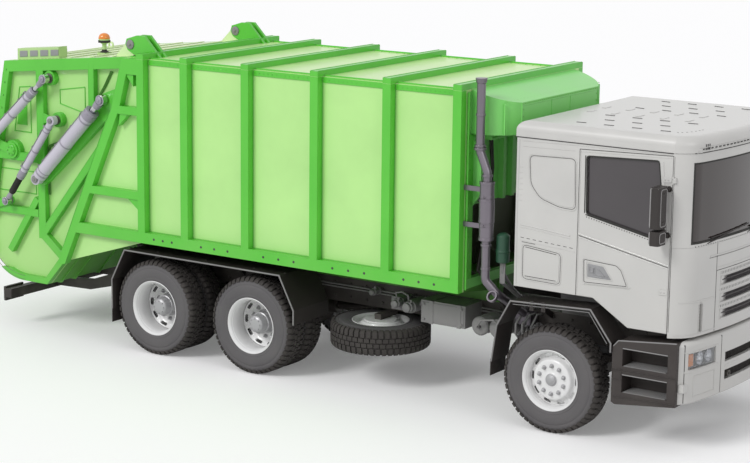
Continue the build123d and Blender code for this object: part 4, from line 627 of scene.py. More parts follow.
front_disc_rings = [
    (0.127, 0.281), (0.121, 0.270), (0.117, 0.262), (0.115, 0.248), (0.112, 0.233), (0.106, 0.222),
    (0.090, 0.213), (0.070, 0.206), (0.058, 0.199), (0.054, 0.190), (0.0525, 0.176), (0.052, 0.150),
    (0.0515, 0.110), (0.0505, 0.078), (0.046, 0.068), (0.040, 0.064),
]
twin_disc_rings = [
    (0.250, 0.281), (0.254, 0.272), (0.260, 0.262), (0.267, 0.250), (0.276, 0.236), (0.284, 0.226),
    (0.290, 0.217), (0.2935, 0.205), (0.294, 0.180), (0.294, 0.150), (0.294, 0.126),
]
for side_name, side in (("right", -1), ("left", 1)):
    inward = (0, -side, 0)
    centre = (front_axle_x, side * wheel_face_y, axle_z)
    wheel = f"front_{side_name}_wheel"
    bm = bmesh.new()
    tyre(bm, centre, inward, 0.0)
    piece = fasten(
        f"tyre_front_{side_name}", bm, tyre_side_rubber, wheel,
        stands_for=(f"front_tyre_{side_name}",),
    )
    piece.data.materials.append(tread_rubber)
    bm = bmesh.new()
    rim_barrel(bm, centre, inward, 0.0)
    turned_ring(
        bm,
        [
            (0.060, 0.196), (0.118, 0.217), (0.142, 0.217), (0.142, 0.200), (0.235, 0.186), (0.240, 0.180),
            (0.240, 0.0458), (0.085, 0.0458), (0.085, 0.10),
        ],
        centre, inward, 60,
    )
    fasten(
        f"rim_front_{side_name}", bm, rim_paint, wheel, stands_for=(f"front_rim_{side_name}",)
    )
    pressed_disc(f"disc_front_{side_name}", centre, inward, front_disc_rings, (2, 4), wheel)
    bm = bmesh.new()
    wheel_nuts(bm, centre, inward, 0.048, 0.142)
    turned_solid(bm, [(0.060, 0.070), (0.046, 0.070), (0.040, 0.064), (0.038, 0.060)], centre, inward, 40)
    turned_solid(bm, [(0.040, 0.056), (0.028, 0.056), (0.0245, 0.050)], centre, inward, 6)
    turned_solid(bm, [(0.030, 0.030), (0.022, 0.030), (0.0205, 0.026)], centre, inward, 24)
    fasten(f"hub_front_{side_name}", bm, hub_paint, wheel, edge=0.0015)
    for axle_name, axle_x in (("drive", drive_axle_x), ("rear", rear_axle_x)):
        centre = (axle_x, side * wheel_face_y, axle_z)
        wheels = f"{axle_name}_{side_name}_wheels"
        bm = bmesh.new()
        tyre(bm, centre, inward, 0.0)
        tyre(bm, centre, inward, twin_pitch)
        piece = fasten(
            f"tyres_{axle_name}_{side_name}", bm, tyre_side_rubber, wheels,
            stands_for=(f"{axle_name}_tyres_{side_name}",),
        )
        piece.data.materials.append(tread_rubber)
        bm = bmesh.new()
        rim_barrel(bm, centre, inward, 0.0)
        rim_barrel(bm, centre, inward, twin_pitch)
        turned_ring(
            bm,
            [
                (0.300, 0.205), (0.300, 0.0608), (0.458, 0.0608), (0.458, 0.196), (0.440, 0.200),
                (0.330, 0.205),
            ],
            centre, inward, 60,
        )
        fasten(
            f"rims_{axle_name}_{side_name}", bm, rim_paint, wheels,
            stands_for=(f"{axle_name}_rims_{side_name}",),
        )
        pressed_disc(f"disc_{axle_name}_{side_name}", centre, inward, twin_disc_rings, (2, 4), wheels)
        pressed_disc(
            f"inner_disc_{axle_name}_{side_name}", centre, inward,
            [(tyre_width + twin_pitch - a, r) for a, r in twin_disc_rings], (2, 4), wheels,
        )
        bm = bmesh.new()
        wheel_nuts(bm, centre, inward, 0.289, 0.168)
        turned_ring(
            bm,
            [
                (0.300, 0.128), (0.272, 0.128), (0.262, 0.116), (0.205, 0.111), (0.198, 0.119),
                (0.184, 0.119), (0.178, 0.107), (0.118, 0.097), (0.100, 0.090), (0.100, 0.0608),
                (0.300, 0.0608),
            ],
            centre, inward, 48,
        )
        turned_solid(bm, [(0.100, 0.088), (0.090, 0.078), (0.084, 0.060), (0.083, 0.030)], centre, inward, 48)
        for k in range(8):
            angle = 2 * math.pi * k / 8
            nut(
                bm,
                (
                    centre[0] + 0.106 * math.cos(angle), centre[1] - side * 0.184,
                    centre[2] + 0.106 * math.sin(angle),
                ),
                (0, side, 0), 0.016, 0.010,
            )
            nut(
                bm,
                (
                    centre[0] + 0.066 * math.cos(angle), centre[1] - side * 0.0865,
                    centre[2] + 0.066 * math.sin(angle),
                ),
                (0, side, 0), 0.016, 0.010,
            )
        fasten(f"hub_{axle_name}_{side_name}", bm, hub_paint, wheels, edge=0.0012)

# Spare wheel: the same tyre and rim, slung flat on the right below its carrier.
# A clamp plate with a screw holds it from below.
centre = (0.764, -0.62, 0.70)
bm = bmesh.new()
tyre(bm, centre, (0, 0, -1), 0.0)
piece = fasten("tyre_spare", bm, tyre_side_rubber, "truck", stands_for=("spare_wheel",))
piece.data.materials.append(tread_rubber)
bm = bmesh.new()
rim_barrel(bm, centre, (0, 0, -1), 0.0)
turned_solid(
    bm,
    [
        (0.0, 0.175), (0.012, 0.175), (0.020, 0.200), (0.060, 0.225), (0.070, 0.2805), (0.082, 0.2805),
        (0.088, 0.20),
    ],
    centre, (0, 0, -1), 60,
)
fasten("rim_spare", bm, rim_paint, "truck")
bm = bmesh.new()
wheel_nuts(bm, (centre[0], centre[1], centre[2] - 0.088), (0, 0, 1), 0.0, 0.142)
fasten("clamp_spare", bm, hub_paint, "truck")

# Mudguards: black moulded arches with a rolled edge, held by stays and clips; the rolled edge's grey paint is
# a painted highlight.
# A rubber flap hangs behind each front wheel and each rear pair.
moulded_black = weathered_finish(
    "moulded_black", linear(38, 33, 31), 0.55, wear=0.35, dust=0.3, dust_colour=linear(84, 80, 76),
    worn_colour=linear(88, 84, 82), grain_size=520.0, grain_depth=0.25,
)
dress(moulded_black, "mudguards")
bm = bmesh.new()
front_arch_line = [(2.505, 0.64), (2.56, 1.02), (2.71, 1.29), (3.60, 1.33), (3.83, 1.03), (3.83, 0.94)]
rear_arch_line = [
    (-2.485, 0.46), (-2.485, 0.80), (-2.295, 1.16), (-0.135, 1.16), (0.055, 0.80), (0.055, 0.64)
]
# The rolled edges and a thin line under each front arch are light grey: a painted highlight along the black
# moulding's rims.
for side in (-1, 1):
    for line in (front_arch_line, rear_arch_line):
        pipe(bm, side_outline(line, side * 1.239), 0.0085, 8)
    pipe(bm, side_outline([(2.74, 1.262), (3.585, 1.300), (3.79, 1.02)], side * 1.2405), 0.004, 6)
fasten("mudguard_edge_highlights", bm, fitting_and_highlight_grey, "truck")
bm = bmesh.new()
for side in (-1, 1):
    for x, z in ((2.93, 1.300), (3.06, 1.306)):
        plate(bm, upright((x, x + 0.045), side * 1.232, (z - 0.075, z + 0.022)), (0, side * 0.012, 0))
        nut(bm, (x + 0.022, side * 1.243, z - 0.05), (0, side, 0), 0.018, 0.006)
    for low_x, top_z, foot_z in ((2.488, 0.66, 0.49), (-2.500, 0.60, 0.30)):
        plate(
            bm,
            side_outline(
                [(low_x, foot_z), (low_x + 0.008, foot_z), (low_x + 0.010, top_z), (low_x + 0.002, top_z)],
                side * (0.935 if low_x > 0 else 0.62),
            ),
            (0, side * (0.295 if low_x > 0 else 0.61), 0),
        )
    for x in (-2.30, -1.90, -1.215, -0.55, -0.14):
        nut(bm, (x, side * 1.12, 1.160), (0, 0, 1), 0.024, 0.010)
fasten("mudguard_clips", bm, moulded_black, "truck", edge=0.0015)

# Entry steps: black step wells with studded treads, a grey strip along the top that is a painted highlight,
# and a small hatch behind.
# Two thin ledges cross each well's outer face.
step_black = weathered_finish(
    "step_black", linear(48, 42, 40), 0.6, wear=0.5, dust=0.35, dust_colour=linear(88, 83, 78),
    worn_colour=linear(110, 106, 104), grain_size=420.0, grain_depth=0.25,
)
dress(step_black, "entry_steps")
bm = bmesh.new()
for side in (-1, 1):
    for tread_z in (0.560, 0.820):
        low_y, high_y = sorted((side * 1.015, side * 1.219))
        plate(bm, level((3.965, 4.415), (low_y, high_y), tread_z), (0, 0, 0.006))
        for i in range(14):
            for j in range(5):
                turned_solid(
                    bm, [(0.0, 0.0085), (0.005, 0.0065)],
                    (3.99 + i * 0.031, side * (1.04 + j * 0.038), tread_z + 0.006), (0, 0, 1), 8,
                )
    pipe(bm, side_outline([(3.955, 0.736), (4.43, 0.736)], side * 1.2215), 0.006, 8)
    pipe(bm, side_outline([(3.955, 0.996), (4.43, 0.996)], side * 1.2215), 0.006, 8)
fasten("step_treads", bm, fitting_and_highlight_grey, "truck", edge=0.0)
bm = bmesh.new()
for side in (-1, 1):
    pipe(
        bm,
        side_outline([(3.85, 0.79), (3.94, 0.79), (3.94, 0.68), (3.85, 0.68), (3.85, 0.785)], side * 1.2225),
        0.005, 6,
    )
    for low_z in (0.762, 0.778, 0.50, 0.516):
        plate(
            bm,
            side_outline(
                [(3.86, low_z), (4.515, low_z + 0.008), (4.515, low_z + 0.014), (3.86, low_z + 0.006)],
                side * 1.2215,
            ),
            (0, side * 0.005, 0),
        )
fasten("step_trim", bm, step_black, "truck", edge=0.001)
# A light grey strip along each step's top edge is a painted highlight.
bm = bmesh.new()
for side in (-1, 1):
    pipe(bm, side_outline([(3.850, 1.004), (3.904, 1.064), (4.515, 1.123)], side * 1.216), 0.0075, 8)
fasten("step_top_highlight_strip", bm, fitting_and_highlight_grey, "truck")

# Front bumper: painted hollow moulding with two air intakes, corner seams and a ledge below each lamp.
# Dark mesh closes the intakes from behind, and a small cover shuts the towing hole's corner.
cab_paint = weathered_finish(
    "cab_paint", linear(193, 192, 189), 0.34, coat=0.35, wear=0.25, dust=0.35,
    dust_colour=linear(140, 134, 126), worn_colour=linear(120, 118, 116), grain_size=180.0, grain_depth=0.03,
    edge_radius=0.008,
)
# Dark colour for real gaps and joints, also used as painted shade in the crease grooves of the cab side and
# doors.
seam_and_groove_shade_dark = weathered_finish("seam_and_groove_shade_dark", linear(52, 50, 50), 0.7, wear=0.1, dust=0.3, grain_depth=0.2)
dress(cab_paint, "front_bumper")


def front_reach(setback, half_width, y):
    """How far forward the bowed front form reaches at a distance across the truck."""
    y = abs(y)
    if y <= half_width - 0.25:
        bow = ((half_width - 0.25) ** 2 + 0.09**2) / (2 * 0.09)
        return 4.70 - setback - bow + math.sqrt(bow * bow - y * y)
    across = y - half_width + 0.29155
    return 4.70 - setback - 0.39818 + math.sqrt(max(0.0, 0.31097**2 - across * across))


def front_strip(bm, setback, half_width, z_from, z_to, y_from, y_to, stand, steps=18):
    """Strip that lies on the bowed front between two heights, standing out by a little."""
    rows = []
    for k in range(steps + 1):
        y = y_from + (y_to - y_from) * k / steps
        x = front_reach(setback, half_width, y)
        rows.append(
            [
                bm.verts.new((x - 0.012, y, z_from)), bm.verts.new((x + stand, y, z_from)),
                bm.verts.new((x + stand, y, z_to)), bm.verts.new((x - 0.012, y, z_to)),
            ]
        )
    for near, far in zip(rows, rows[1:]):
        for i in range(4):
            j = (i + 1) % 4
            bm.faces.new((near[i], near[j], far[j], far[i]))
    bm.faces.new(list(reversed(rows[0])))
    bm.faces.new(rows[-1])


bm = bmesh.new()
for side in (-1, 1):
    front_strip(bm, 0.0, 1.245, 0.822, 0.842, side * 0.60, side * 1.13, 0.0)
    front_strip(bm, 0.0, 1.245, 1.018, 1.030, side * 0.60, side * 1.13, 0.0)
    front_strip(bm, 0.0, 1.245, 0.575, 0.585, side * 0.66, side * 1.02, 0.0)
    front_strip(bm, 0.0, 1.245, 0.775, 0.785, side * 0.66, side * 1.02, 0.0)
    for y in (0.66, 1.01):
        front_strip(bm, 0.0, 1.245, 0.575, 0.785, side * y, side * (y + 0.012), 0.0, 2)
front_strip(bm, 0.0, 1.245, 0.766, 0.789, -0.47, 0.47, -0.001)
for vertex in bm.verts:
    vertex.co.x = min(vertex.co.x + 0.004, 4.6995)
fasten("bumper_ridges", bm, cab_paint, "truck", edge=0.003)
bm = bmesh.new()
for side in (-1, 1):
    for y in (0.545, 1.125):
        front_strip(bm, 0.0, 1.245, 0.53, 1.10, side * y, side * (y + 0.006), 0.0012, 2)
for vertex in bm.verts:
    vertex.co.x = min(vertex.co.x, 4.6995)
fasten("bumper_seams", bm, seam_and_groove_shade_dark, "truck")
bm = bmesh.new()
for low_z in (0.636, 0.816):
    for y_index in range(31):
        y = -0.465 + y_index * 0.031
        x = front_reach(0.0, 1.245, y) - 0.055
        plate(bm, upright((x, x + 0.022), y - 0.003, (low_z, low_z + 0.103)), (0, 0.006, 0))
    for z in (low_z + 0.026, low_z + 0.052, low_z + 0.078):
        front_strip(bm, 0.042, 1.245, z - 0.003, z + 0.003, -0.475, 0.475, 0.0, 8)
    front_strip(bm, 0.062, 1.245, low_z - 0.004, low_z + 0.107, -0.478, 0.478, 0.0, 8)
fasten("bumper_mesh", bm, moulded_black, "truck")

# Head lamps: a clear cover over two round reflectors and an amber indicator in each pocket.
# The bowls are bright metal turned deep, and the covers follow the bumper's bow.
lamp_chrome = weathered_finish(
    "lamp_chrome", linear(215, 215, 218), 0.12, metallic=1.0, wear=0.1, dust=0.05, grain_depth=0.02,
    edge_radius=0.002,
)
lamp_housing = weathered_finish("lamp_housing", linear(150, 150, 152), 0.35, metallic=0.4, wear=0.2, dust=0.2)
amber_lens = weathered_finish(
    "amber_lens", linear(226, 130, 34), 0.2, coat=0.5, wear=0.05, dust=0.1, grain_size=120.0, grain_depth=0.4
)
red_lens = weathered_finish(
    "red_lens", linear(170, 26, 24), 0.2, coat=0.5, wear=0.05, dust=0.1, grain_size=120.0, grain_depth=0.4
)
lamp_glass = bpy.data.materials.new("lamp_glass")
lamp_glass.use_nodes = True
glass_shader = lamp_glass.node_tree.nodes["Principled BSDF"]
glass_shader.inputs["Transmission Weight"].default_value = 0.9
glass_shader.inputs["IOR"].default_value = 1.2
glass_wear = lamp_glass.node_tree.nodes.new("ShaderNodeGroup")
glass_wear.node_tree = weathering
glass_wear.inputs["Colour"].default_value = linear(240, 242, 244)
glass_wear.inputs["Roughness"].default_value = 0.06
glass_wear.inputs["Dust"].default_value = 0.12
glass_wear.inputs["Wear"].default_value = 0.0
glass_wear.inputs["Grain Depth"].default_value = 0.02
for source, target in (("Colour", "Base Color"), ("Roughness", "Roughness"), ("Normal", "Normal")):
    lamp_glass.node_tree.links.new(glass_wear.outputs[source], glass_shader.inputs[target])
bm = bmesh.new()
for side in (-1, 1):
    front_strip(bm, 0.110, 1.233, 0.853, 1.007, side * 0.653, side * 1.087, 0.0, 16)
    for y, radius in ((0.735, 0.066), (0.885, 0.066)):
        x = front_reach(0.012, 1.233, y)
        turned_ring(
            bm,
            [
                (-0.085, 0.012), (-0.075, 0.040), (-0.050, radius * 0.86), (-0.018, radius * 0.96),
                (-0.018, radius * 1.06), (-0.055, radius * 0.98), (-0.088, 0.030),
            ],
            (x, side * y, 0.930), (1, 0, 0), 36,
        )
        turned_solid(
            bm, [(-0.090, 0.020), (-0.052, 0.020), (-0.040, 0.013)], (x, side * y, 0.930), (1, 0, 0), 20
        )
fasten("lamp_bowls", bm, lamp_chrome, "truck", stands_for=("head_lamps",))
bm = bmesh.new()
for side in (-1, 1):
    front_strip(bm, 0.050, 1.233, 0.853, 0.866, side * 0.653, side * 1.087, 0.0, 12)
    front_strip(bm, 0.050, 1.233, 0.994, 1.007, side * 0.653, side * 1.087, 0.0, 12)
    for y in (0.655, 0.806, 0.962, 1.074):
        front_strip(bm, 0.040, 1.233, 0.853, 1.007, side * y, side * (y + 0.010), 0.0, 2)
fasten("lamp_frames", bm, lamp_housing, "truck", edge=0.002)
bm = bmesh.new()
for side in (-1, 1):
    front_strip(bm, 0.036, 1.233, 0.870, 0.990, side * 0.976, side * 1.070, 0.0, 8)
fasten("indicator_lenses", bm, amber_lens, "truck", edge=0.003)
bm = bmesh.new()
for side in (-1, 1):
    front_strip(bm, 0.014, 1.233, 0.856, 1.004, side * 0.656, side * 1.084, 0.0, 20)
fasten("lamp_covers", bm, lamp_glass, "truck", edge=0.003)

# Exhaust: aluminised steel silencer and pipes with flanges, band clamps and a flared tip.
# Heat has tinted the metal a little.
exhaust_steel = weathered_finish(
    "exhaust_steel", linear(128, 122, 130), 0.34, metallic=0.75, wear=0.5, dust=0.25,
    dust_colour=linear(70, 58, 56), worn_colour=linear(70, 64, 70), grain_size=90.0, grain_depth=0.1,
)
dress(exhaust_steel, "exhaust_stack")
bm = bmesh.new()
for z, radius in ((1.862, 0.077), (2.428, 0.077), (2.00, 0.0745), (2.29, 0.0745)):
    turned_ring(
        bm,
        [
            (-0.014, 0.050 if abs(radius - 0.077) < 0.001 else 0.0715), (-0.014, radius), (0.014, radius),
            (0.014, 0.050 if abs(radius - 0.077) < 0.001 else 0.0715),
        ],
        (2.37, -1.165, z), (0, 0, 1), 44,
    )
for x, z, radius in (
    (2.37, 2.500, 0.054), (2.28, 2.760, 0.062), (2.28, 2.790, 0.056), (2.28, 3.10, 0.050),
    (2.37, 1.80, 0.054), (2.37, 1.56, 0.050),
):
    turned_ring(
        bm, [(-0.012, 0.040), (-0.012, radius), (0.012, radius), (0.012, 0.040)], (x, -1.165, z), (0, 0, 1),
        36,
    )
turned_ring(
    bm, [(-0.055, 0.0445), (-0.030, 0.056), (0.0, 0.060), (0.0, 0.050), (-0.028, 0.046), (-0.055, 0.040)],
    (2.28, -1.165, 3.462), (0, 0, 1), 36,
)
turned_ring(
    bm, [(-0.02, 0.0445), (-0.02, 0.060), (0.014, 0.060), (0.014, 0.0445)], (2.475, -1.19, 1.29),
    (0.1, 0.85, -0.5), 30,
)
for z in (2.00, 2.29):
    plate(bm, upright((2.36, 2.38), -1.245, (z - 0.012, z + 0.012)), (0, 0.02, 0))
    nut(bm, (2.385, -1.238, z), (1, 0, 0), 0.016, 0.012)
fasten("exhaust_clamps", bm, exhaust_steel, "truck", edge=0.002)
bm = bmesh.new()
turned_ring(
    bm, [(0.0, 0.0745), (0.0, 0.078), (0.24, 0.078), (0.24, 0.0745)], (2.37, -1.165, 2.025), (0, 0, 1), 44
)
for z in (2.04, 2.25):
    for k in range(10):
        angle = 2 * math.pi * k / 10
        turned_solid(
            bm, [(0.0, 0.007), (0.004, 0.006)],
            (2.37 + 0.0775 * math.cos(angle), -1.165 + 0.0775 * math.sin(angle), z),
            (math.cos(angle), math.sin(angle), 0), 8,
        )
fasten("exhaust_heat_shield", bm, exhaust_steel, "truck", edge=0.0015)

# Intake side of the frame, below the exhaust: a dark green canister on its bracket, with its hose.
# It stands on the frame behind the cab, clear of the silencer's elbow.
housing_green = weathered_finish(
    "housing_green", linear(122, 210, 104), 0.36, coat=0.25, wear=0.35, dust=0.3,
    dust_colour=linear(120, 128, 92), worn_colour=linear(70, 96, 52), edge_radius=0.008,
)
canister_green = weathered_finish("canister_green", linear(30, 72, 52), 0.4, wear=0.4, dust=0.3)
bm = bmesh.new()
turned_solid(
    bm,
    [
        (0.0, 0.06), (0.008, 0.068), (0.10, 0.068), (0.106, 0.073), (0.122, 0.073), (0.128, 0.068),
        (0.27, 0.068), (0.285, 0.055), (0.30, 0.03),
    ],
    (2.50, -1.05, 1.62), (0, 0, 1), 36,
)
fasten("canister", bm, canister_green, "truck")
bm = bmesh.new()
plate(bm, upright((2.47, 2.53), -1.05, (1.40, 1.61)), (0, 0.012, 0))
plate(bm, [(2.47, -1.04, 1.40), (2.53, -1.04, 1.40), (2.53, -0.42, 1.02), (2.47, -0.42, 1.02)], (0, 0, 0.012))
pipe(
    bm,
    [
        (2.50, -1.05, 1.63), (2.50, -1.04, 1.52), (2.50, -0.95, 1.42), (2.48, -0.8, 1.30), (2.46, -0.6, 1.18),
        (2.46, -0.44, 1.0),
    ],
    0.018, 10,
)
fasten("canister_bracket", bm, fitting_and_highlight_grey, "truck", edge=0.001)

# Load body: pale green sheet walls inside bright green hoops, sills and posts, all welded box sections.
# One paint covers both: its colour changes where the frame stands out from the sheet.
panel_green = linear(177, 226, 139)
frame_green = linear(84, 190, 52)


def two_tone_paint(name, sheet_colour, frame_colour, measure, limit, **wear_values):
    """Paint that is one colour on the sheet and another on the frame beyond a limit along Y or Z."""
    material = weathered_finish(name, sheet_colour, 0.36, coat=0.25, wear=0.35, dust=0.35, **wear_values)
    links = material.node_tree.links
    make = material.node_tree.nodes.new
    place = make("ShaderNodeTexCoord")
    parts = make("ShaderNodeSeparateXYZ")
    size = make("ShaderNodeMath")
    size.operation = "ABSOLUTE"
    beyond = make("ShaderNodeMath")
    beyond.operation = "GREATER_THAN"
    beyond.inputs[1].default_value = limit
    choice = make("ShaderNodeMix")
    choice.data_type = "RGBA"
    choice.inputs["A"].default_value = sheet_colour
    choice.inputs["B"].default_value = frame_colour
    links.new(place.outputs["Object"], parts.inputs[0])
    links.new(parts.outputs[measure], size.inputs[0])
    links.new(size.outputs[0], beyond.inputs[0])
    links.new(beyond.outputs[0], choice.inputs["Factor"])
    links.new(choice.outputs["Result"], material.node_tree.nodes["wear"].inputs["Colour"])
    return material


body_dust = linear(150, 150, 110)
body_paint = two_tone_paint(
    "body_paint", panel_green, frame_green, "Y", 1.162, dust_colour=body_dust, worn_colour=linear(60, 84, 40)
)
# The roof sheet's green is paler than the walls': painted light, as the top catches more light from above.
roof_paint_with_painted_light = two_tone_paint(
    "roof_paint_with_painted_light", linear(195, 232, 152), frame_green, "Z", 3.327, dust_colour=body_dust,
    worn_colour=linear(60, 84, 40),
)
frame_paint = weathered_finish(
    "frame_paint", frame_green, 0.36, coat=0.25, wear=0.45, dust=0.35, dust_colour=body_dust,
    worn_colour=linear(50, 76, 36),
)
dark_green_paint = weathered_finish(
    "dark_green_paint", linear(70, 128, 42), 0.45, wear=0.45, dust=0.4, dust_colour=linear(90, 96, 62),
    worn_colour=linear(50, 60, 36),
)
weld_metal = weathered_finish(
    "weld_metal", linear(112, 186, 84), 0.5, wear=0.2, dust=0.3, dust_colour=body_dust, grain_size=260.0,
    grain_depth=0.5,
)
dress(body_paint, "body_sides")
dress(roof_paint_with_painted_light, "body_roof")
dress(dark_green_paint, "body_floor")
hoop_fronts = [2.106, 1.268, 0.365, -0.538, -1.369, -1.983]

# Hoop details: a rolled lip along both edges of each hoop, weld runs at their feet, drain holes in the sill.
# The lips catch the light as two fine lines down every rib.
bm = bmesh.new()
for side in (-1, 1):
    for hoop_x in hoop_fronts:
        for x in (hoop_x - 0.0935, hoop_x - 0.0065):
            pipe(
                bm, [(x, side * 1.2465, 1.30), (x, side * 1.2465, 3.312), (x, side * 1.2465, 3.379)], 0.0035,
                6,
            )
        for x in (hoop_x - 0.0935, hoop_x - 0.0065):
            pipe(bm, [(x, side * 1.240, 3.3855), (x, side * 0.6, 3.3855), (x, 0.0, 3.3855)], 0.0045, 6)
    pipe(bm, side_outline([(2.10, 1.3955), (-2.95, 1.3955)], side * 1.2455), 0.004, 6)
    pipe(bm, side_outline([(2.10, 1.279), (-3.08, 1.279)], side * 1.2455), 0.004, 6)
fasten("hoop_lips", bm, frame_paint, "truck")
bm = bmesh.new()
bays = list(zip([x - 0.10 for x in hoop_fronts[:-1]], hoop_fronts[1:]))
for side in (-1, 1):
    for high_x, low_x in bays:
        for x in (high_x - 0.004, low_x + 0.004):
            pipe(bm, side_outline([(x, 1.40), (x, 3.318)], side * 1.161), 0.006, 6)
        pipe(bm, side_outline([(high_x, 1.398), (low_x, 1.398)], side * 1.162), 0.007, 6)
fasten("hoop_welds", bm, weld_metal, "truck")
bm = bmesh.new()
for side in (-1, 1):
    for high_x, low_x in bays:
        for share in (0.25, 0.5, 0.75):
            x = low_x + (high_x - low_x) * share
            turned_solid(bm, [(-0.002, 0.014), (0.0006, 0.014)], (x, side * 1.250, 1.335), (0, side, 0), 18)
fasten("sill_drains", bm, seam_and_groove_shade_dark, "truck")

# Panel seams: each bay's sheet is spot welded in two courses, with a folded edge along the top.
# The fold and the weld dimples are small, and show as fine dashes.
bm = bmesh.new()
for side in (-1, 1):
    for high_x, low_x in bays + [(-2.083, -2.30)]:
        plate(
            bm, upright((low_x + 0.012, high_x - 0.012), side * 1.158, (3.262, 3.320)), (0, side * 0.014, 0)
        )
        count = max(3, int((high_x - low_x) / 0.055))
        for i in range(count):
            x = low_x + 0.035 + (high_x - low_x - 0.07) * i / (count - 1)
            turned_solid(bm, [(0.0, 0.0075), (0.003, 0.005)], (x, side * 1.172, 3.291), (0, side, 0), 8)
fasten("panel_top_folds", bm, body_paint, "truck", edge=0.003)

# Roof sheet seams: a lapped joint runs down the middle of each bay, held by rows of dome rivets.
# The outer edge has a shallow gutter rail.
bm = bmesh.new()
for high_x, low_x in bays + [(-2.083, -2.27)]:
    for side in (-1, 1):
        plate(bm, upright((low_x + 0.01, high_x - 0.01), side * 1.118, (3.325, 3.341)), (0, side * 0.018, 0))
    count = max(2, int((high_x - low_x) / 0.09))
    for side in (-1, 1):
        for i in range(count):
            x = low_x + 0.045 + (high_x - low_x - 0.09) * i / (count - 1)
            turned_solid(
                bm, [(0.0, 0.010), (0.003, 0.0085), (0.0055, 0.004)], (x, side * 1.07, 3.325), (0, 0, 1), 10
            )
fasten("roof_gutters", bm, roof_paint_with_painted_light, "truck", edge=0.002)

# Slanted joint frame: bright posts beside the tailgate joint, with bolts, a rubber seal and corner gussets.
# The seal shows as a dark line between body and tailgate.
seal_rubber = weathered_finish("seal_rubber", linear(34, 34, 32), 0.75, wear=0.1, dust=0.4, grain_depth=0.3)
joint_line = [(-2.290, 3.325), (-2.450, 2.750), (-3.300, 0.880)]
bm = bmesh.new()
for side in (-1, 1):
    pipe(bm, side_outline([(x - 0.0055, z - 0.004) for x, z in joint_line], side * 1.150), 0.0050, 8)
    pipe(bm, side_outline([(x - 0.0055, z - 0.004) for x, z in joint_line], side * 1.205), 0.0050, 8)
fasten("joint_seal", bm, seal_rubber, "truck")
bm = bmesh.new()
for side in (-1, 1):
    for share in [k / 15 for k in range(16)]:
        x = -2.450 + (-3.300 + 2.450) * share
        z = 2.750 + (0.880 - 2.750) * share
        if 0.03 < share < 0.97:
            nut(bm, (x + 0.055, side * 1.250 - side * 0.0095, z), (0, side, 0), 0.020, 0.009)
    for share in (0.15, 0.4, 0.65, 0.9):
        nut(
            bm, (-2.290 - 0.16 * share + 0.055, side * 1.2405, 3.325 - 0.575 * share), (0, side, 0), 0.020,
            0.009,
        )
    plate(bm, side_outline([(-2.25, 3.15), (-2.14, 3.15), (-2.14, 3.02)], side * 1.165), (0, side * 0.07, 0))
    plate(bm, side_outline([(-2.34, 2.70), (-2.22, 2.70), (-2.36, 2.56)], side * 1.165), (0, side * 0.07, 0))
    plate(
        bm, side_outline([(-2.09, 1.755), (-2.09, 1.64), (-2.24, 1.755)], side * 1.165), (0, side * 0.07, 0)
    )
fasten("joint_bolts", bm, frame_paint, "truck", edge=0.001)

# Body front: pressed housing with a rounded corner each side, a centre divider and rivets along the top.
# Below it a beam, slim posts and two side plates stiffen the front sheet.
dress(housing_green, "body_front")
bm = bmesh.new()
for y in (-0.196, 0.196):
    plate(bm, upright((2.530, 2.541), y - 0.006, (2.905, 3.165)), (0, 0.012, 0))
for y in (-0.985, 0.985, -0.80, 0.80):
    x = 2.536 if abs(y) < 0.81 else 2.452
    plate(bm, upright((x - 0.012, x + 0.006), y - 0.008, (2.885, 3.200)), (0, 0.016, 0))
plate(bm, upright((2.530, 2.544), -0.80, (2.884, 2.900)), (0, 1.60, 0))
plate(bm, upright((2.530, 2.542), -0.80, (3.166, 3.178)), (0, 1.60, 0))
fasten("housing_ribs", bm, housing_green, "truck", edge=0.003)
bm = bmesh.new()
for i in range(41):
    turned_solid(
        bm, [(0.0, 0.009), (0.003, 0.0075), (0.005, 0.004)], (2.536, -0.78 + i * 0.039, 3.188), (1, 0, 0), 10
    )
for i in range(30):
    y = -0.96 + i * 1.92 / 29
    turned_solid(bm, [(0.0, 0.009), (0.003, 0.0075), (0.005, 0.004)], (2.46, y, 3.218), (0.29, 0, 1), 10)
for side in (-1, 1):
    for z in (2.92, 2.99, 3.06, 3.13):
        turned_solid(bm, [(0.0, 0.008), (0.004, 0.005)], (2.536, side * 0.77, z), (1, 0, 0), 10)
fasten("housing_rivets", bm, weld_metal, "truck")
bm = bmesh.new()
for side in (-1, 1):
    low_y, high_y = sorted((side * 1.025, side * 1.138))
    plate(bm, upright((2.106, 2.124), low_y, (1.40, 2.87)), (0, high_y - low_y, 0))
    pipe(bm, [(2.128, side * 1.142, 1.30), (2.128, side * 1.142, 3.30)], 0.012, 10)
    for z in [1.5 + 0.17 * k for k in range(8)]:
        nut(bm, (2.124, side * 1.085, z), (1, 0, 0), 0.018, 0.008)
for z in (2.83, 2.855):
    pipe(bm, [(2.258, -0.89, z), (2.258, 0.89, z)], 0.005, 6)
for y in (-0.82, -0.62, -0.42, -0.22, 0.0, 0.22, 0.42, 0.62, 0.82):
    nut(bm, (2.256, y, 2.845), (1, 0, 0), 0.020, 0.009)
fasten("body_front_stiffeners", bm, frame_paint, "truck", edge=0.0015)
bm = bmesh.new()
for y in (-0.91, 0.0, 0.91):
    pipe(bm, [(2.125, y, 2.17), (2.125, y, 2.78)], 0.011, 10)
